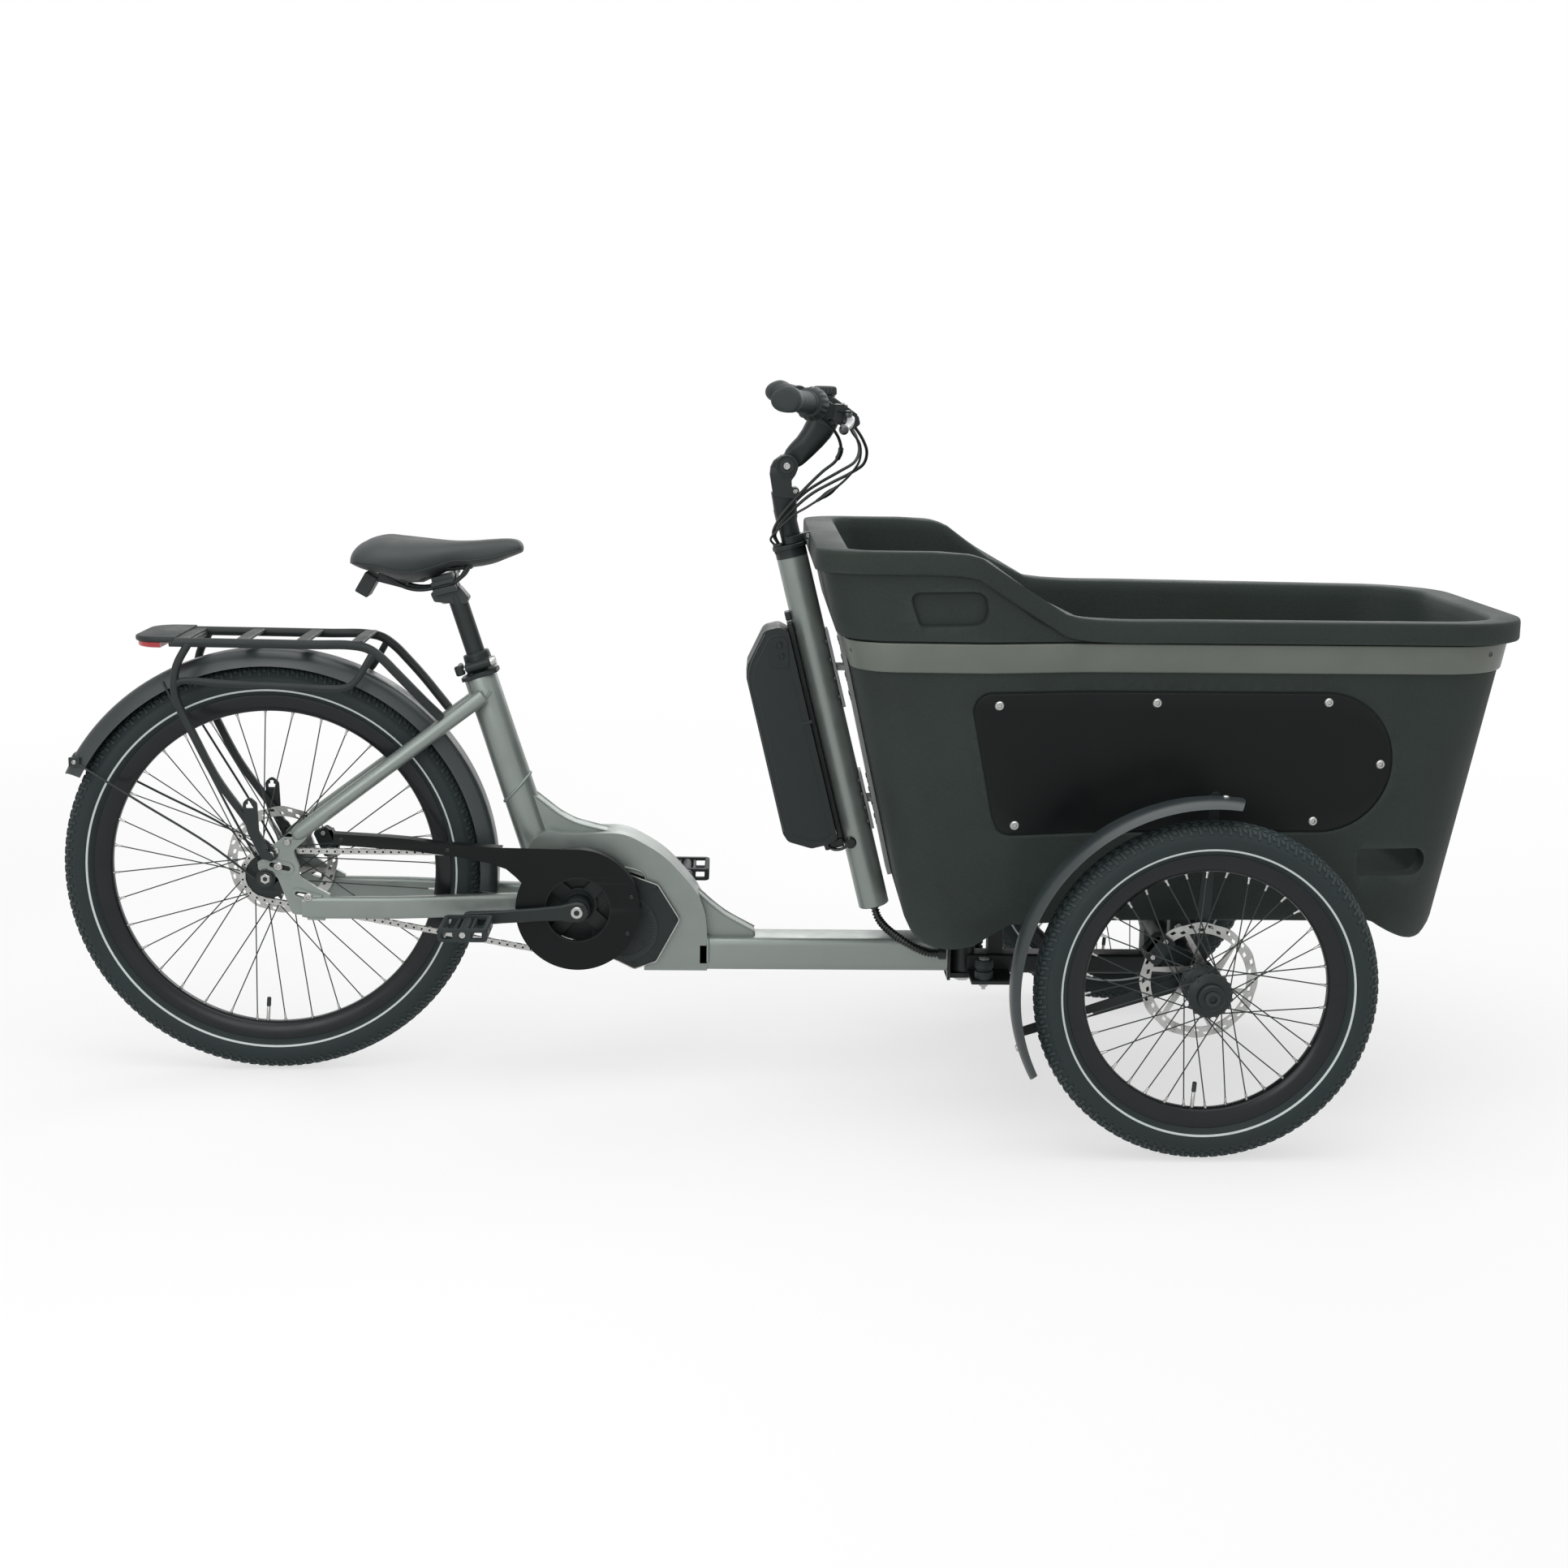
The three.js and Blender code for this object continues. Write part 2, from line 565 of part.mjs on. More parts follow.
// Turns a closed geometry into a solid that can be joined and cut.
function solid(geometry) {
  const bare = geometry.clone();
  bare.deleteAttribute('normal');
  bare.deleteAttribute('uv');
  const merged = mergeVertices(bare, WELD_DISTANCE);
  const positions = Float32Array.from(merged.attributes.position.array);
  const corners = merged.index.array;
  const triangles = [];
  for (let i = 0; i < corners.length; i += 3) {
    const [a, b, c] = [corners[i], corners[i + 1], corners[i + 2]];
    if (a !== b && b !== c && c !== a) {
      triangles.push(a, b, c);
    }
  }
  if (signedVolume(positions, triangles) < 0) {
    triangles.reverse();
  }
  const triVerts = new Uint32Array(triangles);
  return new wasm.Manifold(new wasm.Mesh({ numProp: 3, vertProperties: positions, triVerts }));
}

function join(...solids) {
  return solids.reduce((sum, next) => sum.add(next));
}

function cut(body, ...tools) {
  return tools.reduce((rest, tool) => rest.subtract(tool), body);
}

// Adds a finished piece to the bike under its name.
function piece(name, body, finish) {
  const mesh = body.getMesh();
  const geometry = new THREE.BufferGeometry();
  geometry.setAttribute('position', new THREE.BufferAttribute(Float32Array.from(mesh.vertProperties), 3));
  geometry.setIndex(Array.from(mesh.triVerts));
  geometry.computeVertexNormals();
  const [color, roughness, metalness] = finish;
  const part = new THREE.Mesh(geometry, new THREE.MeshStandardMaterial({ color, roughness, metalness }));
  part.name = name;
  bike.add(part);
}

// A side outline in x and z, with thickness in y.
function plate(points, yOne, yTwo, holes = []) {
  const shape = new THREE.Shape(points);
  shape.holes = holes.map((hole) => new THREE.Path(hole));
  const geometry = new THREE.ExtrudeGeometry(shape, { depth: Math.abs(yTwo - yOne), bevelEnabled: false });
  geometry.rotateX(Math.PI / 2);
  geometry.translate(0, Math.max(yOne, yTwo), 0);
  return solid(geometry);
}

// A plan outline in x and y, with thickness in z.
function slab(points, lowZ, highZ) {
  const options = { depth: highZ - lowZ, bevelEnabled: false };
  const geometry = new THREE.ExtrudeGeometry(new THREE.Shape(points), options);
  geometry.translate(0, 0, lowZ);
  return solid(geometry);
}

// A section drawn in y and z, centred on a point, run along x.
function beamAlongX(points, lowX, highX, z) {
  const options = { depth: highX - lowX, bevelEnabled: false };
  const geometry = new THREE.ExtrudeGeometry(new THREE.Shape(points), options);
  geometry.applyMatrix4(new THREE.Matrix4().makeBasis(LEFT, UP, FORWARD));
  geometry.translate(lowX, 0, z);
  return solid(geometry);
}

function block(lengthX, widthY, heightZ, centre) {
  const geometry = new THREE.BoxGeometry(lengthX, widthY, heightZ);
  geometry.translate(centre.x, centre.y, centre.z);
  return solid(geometry);
}

// A block turned so that its height lies along a direction in the x z plane.
function leaningBlock(length, widthY, height, centre, direction) {
  const geometry = new THREE.BoxGeometry(length, widthY, height);
  geometry.rotateY(Math.atan2(direction.x, direction.z));
  geometry.translate(centre.x, centre.y, centre.z);
  return solid(geometry);
}

function rod(from, to, radius, sides = 12, endRadius = radius) {
  const length = from.distanceTo(to);
  const geometry = new THREE.CylinderGeometry(endRadius, radius, length, sides);
  const direction = to.clone().sub(from).normalize();
  geometry.applyQuaternion(new THREE.Quaternion().setFromUnitVectors(LEFT, direction));
  const middle = from.clone().lerp(to, 0.5);
  geometry.translate(middle.x, middle.y, middle.z);
  return solid(geometry);
}

function ball(centre, radius, sides = 6) {
  const geometry = new THREE.SphereGeometry(radius, sides, sides - 2);
  geometry.translate(centre.x, centre.y, centre.z);
  return solid(geometry);
}

// A profile of [radius, y] points turned about a line along y.
function turned(profile, sides, centre) {
  const geometry = new THREE.LatheGeometry(profile.map(([r, y]) => new THREE.Vector2(r, y)), sides);
  geometry.translate(centre.x, centre.y, centre.z);
  return solid(geometry);
}

// A profile of [radius, distance] points turned about any line.
function turnedAlong(profile, sides, start, direction) {
  const geometry = new THREE.LatheGeometry(profile.map(([r, y]) => new THREE.Vector2(r, y)), sides);
  geometry.applyQuaternion(new THREE.Quaternion().setFromUnitVectors(LEFT, direction));
  geometry.translate(start.x, start.y, start.z);
  return solid(geometry);
}

function ring(inner, outer, yOne, yTwo, sides, centre) {
  const profile = [[inner, yOne], [outer, yOne], [outer, yTwo], [inner, yTwo], [inner, yOne]];
  return turned(profile, sides, centre);
}

// A round tube along a smooth curve through points.
function tube(points, radius, sides, steps) {
  const path = new THREE.CatmullRomCurve3(points, false, 'centripetal');
  const section = new THREE.Shape(circlePoints(0, 0, radius, sides));
  return solid(new THREE.ExtrudeGeometry(section, { steps, extrudePath: path, bevelEnabled: false }));
}

// A tube along points, with mitred bends. A mitre is exact where the bend lies in a plane of constant y.
function pipe(points, radius, sides = 8) {
  const positions = [];
  const indices = [];
  points.forEach((point, i) => {
    const before = point.clone().sub(points[Math.max(i - 1, 0)]).normalize();
    const after = points[Math.min(i + 1, points.length - 1)].clone().sub(point).normalize();
    const ahead = before.clone().add(after).normalize();
    const stretch = i && i < points.length - 1 ? 1 / ahead.dot(before) : 1;
    const across = ahead.clone().cross(LEFT).normalize();
    const beside = across.clone().cross(ahead).normalize();
    for (let j = 0; j < sides; j++) {
      const angle = (2 * Math.PI * (j + 0.5)) / sides;
      const wide = radius * stretch * Math.cos(angle);
      const spot = reach(point, [across, wide], [beside, radius * Math.sin(angle)]);
      positions.push(spot.x, spot.y, spot.z);
    }
  });
  for (let i = 0; i < points.length - 1; i++) {
    for (let j = 0; j < sides; j++) {
      const a = i * sides + j;
      const b = i * sides + ((j + 1) % sides);
      indices.push(a, b, b + sides, a, b + sides, a + sides);
    }
  }
  const last = (points.length - 1) * sides;
  for (let j = 1; j < sides - 1; j++) {
    indices.push(0, j + 1, j, last, last + j, last + j + 1);
  }
  const geometry = new THREE.BufferGeometry();
  geometry.setAttribute('position', new THREE.Float32BufferAttribute(positions, 3));
  geometry.setIndex(indices);
  return solid(geometry);
}

// Wheels

function tyreBody(beadRadius, centre) {
  const sectionRadius = TYRE_WIDTH / 2;
  const sectionCentre = beadRadius + TYRE_HEIGHT - sectionRadius;
  const beadOuter = RIM_WIDTH / 2 - RIM_FLANGE_THICKNESS - GAP;
  const beadInner = beadOuter - BEAD_WIDTH;
  const shoulder = beadRadius + RIM_FLANGE_HEIGHT + FLANGE_CLEARANCE;
  const outer = arcPoints(sectionCentre, 0, sectionRadius, -TYRE_OUTER_ARC, TYRE_OUTER_ARC, 6);
  const inner = arcPoints(sectionCentre, 0, sectionRadius - TYRE_WALL, TYRE_INNER_ARC, -TYRE_INNER_ARC, 2);
  const profile = [
    [beadRadius + GAP, -beadOuter],
    [shoulder, -beadOuter],
    ...outer.map((point) => [point.x, point.y]),
    [shoulder, beadOuter],
    [beadRadius + GAP, beadOuter],
    [beadRadius + GAP, beadInner],
    ...inner.map((point) => [point.x, point.y]),
    [beadRadius + GAP, -beadInner],
    [beadRadius + GAP, -beadOuter],
  ];
  return turned(profile, WHEEL_SIDES, centre);
}

function rimBody(beadRadius, centre) {
  const outer = RIM_WIDTH / 2;
  const inner = outer - RIM_FLANGE_THICKNESS;
  const top = beadRadius + RIM_FLANGE_HEIGHT;
  const half = [
    [beadRadius, inner],
    [top, inner],
    [top, outer],
    [beadRadius - RIM_DEPTH, RIM_INNER_WIDTH / 2],
  ];
  const mirrored = half.slice().reverse().map(([r, y]) => [r, -y]);
  const well = [beadRadius - RIM_WELL_DEPTH, 0];
  return turned([well, ...half, ...mirrored, well], WHEEL_SIDES, centre);
}

// Spokes from two flanges to the rim, leaning forward and back by turns.
function spokes(beadRadius, centre, lowFlangeY, highFlangeY) {
  const rods = [];
  const facet = (2 * Math.PI) / WHEEL_SIDES;
  const apothem = (beadRadius - RIM_DEPTH) * Math.cos(facet / 2);
  const hubRadius = HUB_FLANGE_RADIUS - SPOKE_ROOT_DEPTH;
  for (let i = 0; i < SPOKE_COUNT; i++) {
    const rimAngle = rad((360 * i) / SPOKE_COUNT);
    const lean = rad(i % 4 < 2 ? SPOKE_LEAN : -SPOKE_LEAN);
    const lateral = i % 2 ? 1 : -1;
    const flangeY = lateral > 0 ? highFlangeY : lowFlangeY;
    const outward = i % 4 < 2 ? SPOKE_OFFSET : -SPOKE_OFFSET;
    const hubAngle = rimAngle + lean;
    const rimRadius = apothem / Math.cos((rimAngle % facet) - facet / 2) - GAP;
    const rimY = lateral * SPOKE_RIM_OFFSET + outward;
    const hubEnd = at(hubRadius * Math.cos(hubAngle), flangeY + outward, hubRadius * Math.sin(hubAngle));
    const rimEnd = at(rimRadius * Math.cos(rimAngle), rimY, rimRadius * Math.sin(rimAngle));
    rods.push(rod(hubEnd.add(centre), rimEnd.add(centre), SPOKE_RADIUS, 3));
  }
  return join(...rods);
}

function rotorBody(centre) {
  const half = ROTOR_THICKNESS / 2;
  const innerTrack = ROTOR_RADIUS - ROTOR_TRACK;
  const track = ring(innerTrack, ROTOR_RADIUS, -half, half, 16, centre);
  const bore = HUB_END_RADIUS - ROTOR_THICKNESS * 2;
  const middle = ring(bore, ROTOR_CENTRE_RADIUS, -half, half, 8, centre);
  const arms = [];
  for (let i = 0; i < ROTOR_ARM_COUNT; i++) {
    const angle = (360 * i) / ROTOR_ARM_COUNT;
    const root = arcPoints(centre.x, centre.z, ROTOR_CENTRE_RADIUS - half, angle, angle, 1)[0];
    const lean = angle + ROTOR_ARM_LEAN;
    const tip = arcPoints(centre.x, centre.z, innerTrack + half, lean, lean, 1)[0];
    const outline = linkOutline(root, ROTOR_ARM_WIDTH / 2, tip, ROTOR_ARM_WIDTH / 2, 1);
    arms.push(plate(outline, centre.y - half, centre.y + half));
  }
  return join(track, middle, ...arms);
}

function rearWheel() {
  const centre = at(0, 0, REAR_AXLE_Z);
  piece('rear_tyre', tyreBody(REAR_BEAD_RADIUS, centre), FINISH.rubber);
  piece('rear_rim', rimBody(REAR_BEAD_RADIUS, centre), FINISH.rim);
  const bore = (REAR_AXLE_RADIUS + RUNNING_GAP) / Math.cos(Math.PI / HUB_SIDES);
  const halfFlange = HUB_FLANGE_THICKNESS / 2;
  const flange = REAR_HUB_HALF_FLANGE;
  const shell = turned([
    [bore, -REAR_HUB_BOSS_END],
    [REAR_HUB_BOSS_RADIUS, -REAR_HUB_BOSS_END],
    [REAR_HUB_BOSS_RADIUS, -flange - halfFlange],
    [HUB_FLANGE_RADIUS, -flange - halfFlange],
    [HUB_FLANGE_RADIUS, -flange + halfFlange],
    [HUB_BARREL_RADIUS, -flange + halfFlange],
    [HUB_BARREL_RADIUS, flange - halfFlange],
    [HUB_FLANGE_RADIUS, flange - halfFlange],
    [HUB_FLANGE_RADIUS, flange + halfFlange],
    [HUB_END_RADIUS, flange + halfFlange],
    [HUB_END_RADIUS, REAR_HUB_DISC_END],
    [bore, REAR_HUB_DISC_END],
    [bore, -REAR_HUB_BOSS_END],
  ], HUB_SIDES, centre);
  piece('rear_hub_spokes', join(shell, spokes(REAR_BEAD_RADIUS, centre, -flange, flange)), FINISH.black);
  const rotorY = REAR_HUB_DISC_END + GAP + ROTOR_THICKNESS / 2;
  piece('rear_brake_rotor', rotorBody(at(0, rotorY, REAR_AXLE_Z)), FINISH.silver);
}

function frontWheel(side, label) {
  const centre = at(WHEELBASE, side * FRONT_HALF_TRACK, FRONT_AXLE_Z);
  piece(`front_tyre_${label}`, tyreBody(FRONT_BEAD_RADIUS, centre), FINISH.rubber);
  piece(`front_rim_${label}`, rimBody(FRONT_BEAD_RADIUS, centre), FINISH.rim);
  const bore = (STUB_AXLE_RADIUS + RUNNING_GAP) / Math.cos(Math.PI / HUB_SIDES);
  const halfFlange = HUB_FLANGE_THICKNESS / 2;
  const start = FRONT_ROTOR_Y + ROTOR_THICKNESS / 2 + GAP;
  const profile = [
    [bore, start],
    [HUB_END_RADIUS, start],
    [FRONT_HUB_BARREL_RADIUS, FRONT_HUB_INNER_FLANGE_Y - halfFlange],
    [HUB_FLANGE_RADIUS, FRONT_HUB_INNER_FLANGE_Y - halfFlange],
    [HUB_FLANGE_RADIUS, FRONT_HUB_INNER_FLANGE_Y + halfFlange],
    [FRONT_HUB_BARREL_RADIUS, FRONT_HUB_INNER_FLANGE_Y + halfFlange],
    [FRONT_HUB_BARREL_RADIUS, FRONT_HUB_OUTER_FLANGE_Y - halfFlange],
    [HUB_FLANGE_RADIUS, FRONT_HUB_OUTER_FLANGE_Y - halfFlange],
    [HUB_FLANGE_RADIUS, FRONT_HUB_OUTER_FLANGE_Y + halfFlange],
    [FRONT_HUB_BARREL_RADIUS, FRONT_HUB_OUTER_FLANGE_Y + halfFlange],
    [FRONT_HUB_BARREL_RADIUS, FRONT_HUB_END_Y],
    [0, FRONT_HUB_END_Y],
    [0, FRONT_HUB_END_Y - FRONT_HUB_CAP_THICKNESS],
    [bore, FRONT_HUB_END_Y - FRONT_HUB_CAP_THICKNESS],
    [bore, start],
  ].map(([r, y]) => [r, side * y]);
  const shell = turned(profile, HUB_SIDES, at(WHEELBASE, 0, FRONT_AXLE_Z));
  const inner = side * (FRONT_HUB_INNER_FLANGE_Y - FRONT_HALF_TRACK);
  const outer = side * (FRONT_HUB_OUTER_FLANGE_Y - FRONT_HALF_TRACK);
  const wires = spokes(FRONT_BEAD_RADIUS, centre, Math.min(inner, outer), Math.max(inner, outer));
  piece(`front_hub_spokes_${label}`, join(shell, wires), FINISH.black);
  const rotorCentre = at(WHEELBASE, side * FRONT_ROTOR_Y, FRONT_AXLE_Z);
  piece(`front_brake_rotor_${label}`, rotorBody(rotorCentre), FINISH.silver);
}

function rearAxle() {
  const outer = DROPOUT_INNER_Y + DROPOUT_THICKNESS + GAP;
  const shaft = rod(at(0, -outer, REAR_AXLE_Z), at(0, outer, REAR_AXLE_Z), REAR_AXLE_RADIUS, 12);
  const nuts = [-1, 1].map((side) => rod(
    at(0, side * outer, REAR_AXLE_Z),
    at(0, side * (outer + AXLE_NUT_LENGTH), REAR_AXLE_Z),
    AXLE_NUT_RADIUS,
    6,
  ));
  piece('rear_axle', join(shaft, ...nuts), FINISH.silver);
}

// Chain drive

function pitchRadius(teeth) {
  return CHAIN_PITCH / (2 * Math.sin(Math.PI / teeth));
}

// Belt round the two sprockets, at a given distance outside their pitch circles. The chords of the inner
// side, where the distance is negative, touch their arcs from outside, so that the sprockets turn freely.
function beltOutline(offset, steps) {
  const rearRadius = pitchRadius(SPROCKET_TEETH) + offset;
  const frontRadius = pitchRadius(CHAINRING_TEETH) + offset;
  const span = Math.hypot(BB_X, BB_Z - REAR_AXLE_Z);
  const slope = THREE.MathUtils.radToDeg(Math.atan2(BB_Z - REAR_AXLE_Z, BB_X));
  const lean = THREE.MathUtils.radToDeg(Math.acos((rearRadius - frontRadius) / span));
  const spread = (degrees) => (offset < 0 ? 1 / Math.cos(rad(degrees) / steps / 2) : 1);
  const front = frontRadius * spread(lean * 2);
  const rear = rearRadius * spread(360 - lean * 2);
  return [
    ...arcPoints(BB_X, BB_Z, front, slope - lean, slope + lean, steps),
    ...arcPoints(0, REAR_AXLE_Z, rear, slope + lean, slope - lean + 360, steps),
  ];
}

function chain() {
  const half = CHAIN_LINK_HEIGHT / 2;
  const near = -CHAIN_LINE_Y - CHAIN_WIDTH / 2;
  const far = -CHAIN_LINE_Y + CHAIN_WIDTH / 2;
  const inside = beltOutline(-half, BELT_STEPS);
  piece('chain', plate(beltOutline(half, BELT_STEPS), near, far, [inside]), FINISH.silver);
}

function sprocketDisc(teeth, bore, holes, sides) {
  const radius = pitchRadius(teeth) - CHAIN_LINK_HEIGHT / 2 - SPROCKET_GAP;
  const isFront = teeth === CHAINRING_TEETH;
  const centre = at(isFront ? BB_X : 0, -CHAIN_LINE_Y, isFront ? BB_Z : REAR_AXLE_Z);
  const half = CHAINRING_THICKNESS / 2;
  return cut(ring(bore, radius, -half, half, sides, centre), ...holes);
}

function sprocketAndChainring() {
  const bore = REAR_HUB_BOSS_RADIUS + RUNNING_GAP;
  piece('rear_sprocket', sprocketDisc(SPROCKET_TEETH, bore, [], 16), FINISH.silver);
  const outer = pitchRadius(CHAINRING_TEETH) - CHAIN_LINK_HEIGHT / 2 - CHAINRING_RIM_WIDTH;
  const near = -CHAIN_LINE_Y - CUT_OVERRUN;
  const far = -CHAIN_LINE_Y + CUT_OVERRUN;
  const window = plate(circlePoints(BB_X, BB_Z, outer, 16), near, far);
  const hub = ring(0, CHAINRING_CENTRE_RADIUS, near, far, 8, at(BB_X, 0, BB_Z));
  const arms = [];
  for (let i = 0; i < CHAINRING_ARM_COUNT; i++) {
    const angle = CRANK_ANGLE + 45 + (360 * i) / CHAINRING_ARM_COUNT;
    const tip = arcPoints(BB_X, BB_Z, outer + CHAINRING_ARM_WIDTH, angle, angle, 1)[0];
    const root = new THREE.Vector2(BB_X, BB_Z);
    const outline = linkOutline(root, CHAINRING_ARM_WIDTH / 2, tip, CHAINRING_ARM_WIDTH / 2, 2);
    arms.push(plate(outline, near, far));
  }
  const opening = cut(window, hub, ...arms);
  const disc = sprocketDisc(CHAINRING_TEETH, SPINDLE_RADIUS + GAP, [opening], 24);
  piece('chainring', disc, FINISH.black);
}

function crankEnd(side) {
  const angle = rad(CRANK_ANGLE + (side > 0 ? 180 : 0));
  return new THREE.Vector2(BB_X + CRANK_LENGTH * Math.cos(angle), BB_Z + CRANK_LENGTH * Math.sin(angle));
}

function crankArm(side, label) {
  const tip = crankEnd(side);
  const outline = linkOutline(new THREE.Vector2(BB_X, BB_Z), CRANK_ROOT_RADIUS, tip, CRANK_TIP_RADIUS, 5);
  const inner = side * CRANK_INNER_Y;
  const outer = side * (CRANK_INNER_Y + CRANK_THICKNESS);
  const axleEnd = side * (CRANK_INNER_Y + CRANK_THICKNESS + PEDAL_GAP_Y + PEDAL_WIDTH);
  const axle = rod(at(tip.x, inner, tip.y), at(tip.x, axleEnd, tip.y), PEDAL_AXLE_RADIUS, 8);
  let arm = join(plate(outline, inner, outer), axle);
  const farEnd = CRANK_INNER_Y + CRANK_THICKNESS;
  if (side > 0) {
    arm = join(arm, rod(at(BB_X, -farEnd, BB_Z), at(BB_X, farEnd, BB_Z), SPINDLE_RADIUS, 16));
  } else {
    const bore = rod(
      at(BB_X, -farEnd - CUT_OVERRUN, BB_Z),
      at(BB_X, -CRANK_INNER_Y + CUT_OVERRUN, BB_Z),
      SPINDLE_RADIUS + GAP,
      16,
    );
    arm = cut(arm, bore);
  }
  piece(`crank_arm_${label}`, arm, FINISH.black);
}

function pedal(side, label) {
  const tip = crankEnd(side);
  const start = side * (CRANK_INNER_Y + CRANK_THICKNESS + PEDAL_GAP_Y);
  const end = start + side * PEDAL_WIDTH;
  const section = roundedRectangle(PEDAL_LENGTH, PEDAL_THICKNESS, PEDAL_THICKNESS / 4, 2)
    .map((point) => new THREE.Vector2(point.x + tip.x, point.y + tip.y));
  const hole = circlePoints(tip.x, tip.y, PEDAL_AXLE_RADIUS + RUNNING_GAP * 1.5, 8);
  const body = plate(section, start, end, [hole]);
  const windows = [-1, 1].map((way) => block(
    PEDAL_LENGTH * PEDAL_WINDOW_SHARE,
    PEDAL_WIDTH * (1 - PEDAL_WINDOW_SHARE),
    PEDAL_THICKNESS + CUT_OVERRUN,
    at(tip.x + way * PEDAL_LENGTH * PEDAL_WINDOW_SHARE, (start + end) / 2, tip.y),
  ));
  piece(`pedal_${label}`, cut(body, ...windows), FINISH.black);
}

function chainGuard() {
  const plateNear = -GUARD_PLATE_Y - GUARD_PLATE_THICKNESS;
  const centre = at(BB_X, 0, BB_Z);
  const armOutline = placed(GUARD_ARM_SHARES, BB_X, BB_Z, GUARD_ARM_LENGTH, GUARD_ARM_RISE);
  const arm = plate(armOutline, plateNear, -GUARD_PLATE_Y);
  const disc = plate(circlePoints(BB_X, BB_Z, GUARD_RING_OUTER, GUARD_SIDES), plateNear, -GUARD_PLATE_Y);
  const rimInner = GUARD_RING_OUTER - GUARD_PLATE_THICKNESS;
  const rim = ring(rimInner, GUARD_RING_OUTER, plateNear, plateNear + GUARD_RIM_DEPTH, GUARD_SIDES, centre);
  const opening = rod(
    at(BB_X, plateNear - CUT_OVERRUN, BB_Z),
    at(BB_X, CUT_OVERRUN - GUARD_PLATE_Y, BB_Z),
    GUARD_RING_INNER,
    GUARD_SIDES,
  );
  const posts = GUARD_POST_ANGLES.map((angle) => {
    const radius = GUARD_RING_OUTER - GUARD_POST_RADIUS / 2;
    const spot = arcPoints(BB_X, BB_Z, radius, angle, angle, 1)[0];
    const postEnd = -MOTOR_HALF_WIDTH - MOTOR_COVER_HEIGHT - GAP;
    return rod(at(spot.x, -GUARD_PLATE_Y, spot.y), at(spot.x, postEnd, spot.y), GUARD_POST_RADIUS, 6);
  });
  piece('chain_guard', join(cut(join(disc, arm), opening), rim, ...posts), FINISH.black);
}

// Frame

const SEAT_TUBE_TOP = at(SEAT_TUBE_TOP_X, 0, SEAT_TUBE_TOP_Z);
const SEAT_POST_BASE = reach(SEAT_TUBE_TOP, [SEAT_FORWARD, SEAT_POST_OFFSET]);

function motorOutline() {
  const arc = arcPoints(BB_X, BB_Z, MOTOR_RADIUS, 100, 260, 7);
  const front = placed(MOTOR_OUTLINE_SHARES, BB_X, BB_Z, MOTOR_REACH, MOTOR_DROP);
  return [...arc, ...front.reverse()];
}

function motor() {
  const platesInner = FRAME_HALF_WIDTH + GAP;
  const outline = motorOutline();
  const whole = plate(outline, -MOTOR_HALF_WIDTH, MOTOR_HALF_WIDTH);
  const slot = block(
    MOTOR_REACH,
    platesInner * 2,
    MOTOR_REACH * 2,
    at(BB_X + MOTOR_CORE_REACH + MOTOR_REACH / 2, 0, BB_Z),
  );
  const coverX = BB_X + MOTOR_COVER_SHARES[0] * MOTOR_REACH;
  const coverZ = BB_Z + MOTOR_COVER_SHARES[1] * MOTOR_DROP;
  const coverEdge = MOTOR_HALF_WIDTH + MOTOR_COVER_HEIGHT;
  const coverOutline = circlePoints(coverX, coverZ, MOTOR_COVER_RADIUS, 16);
  const cover = plate(coverOutline, -coverEdge, JOINT_SINK - MOTOR_HALF_WIDTH);
  const bore = rod(
    at(BB_X, -MOTOR_HALF_WIDTH * 2, BB_Z),
    at(BB_X, MOTOR_HALF_WIDTH * 2, BB_Z),
    SPINDLE_RADIUS + RUNNING_GAP * 2,
    16,
  );
  piece('motor', cut(join(whole, cover), slot, bore), FINISH.black);
}

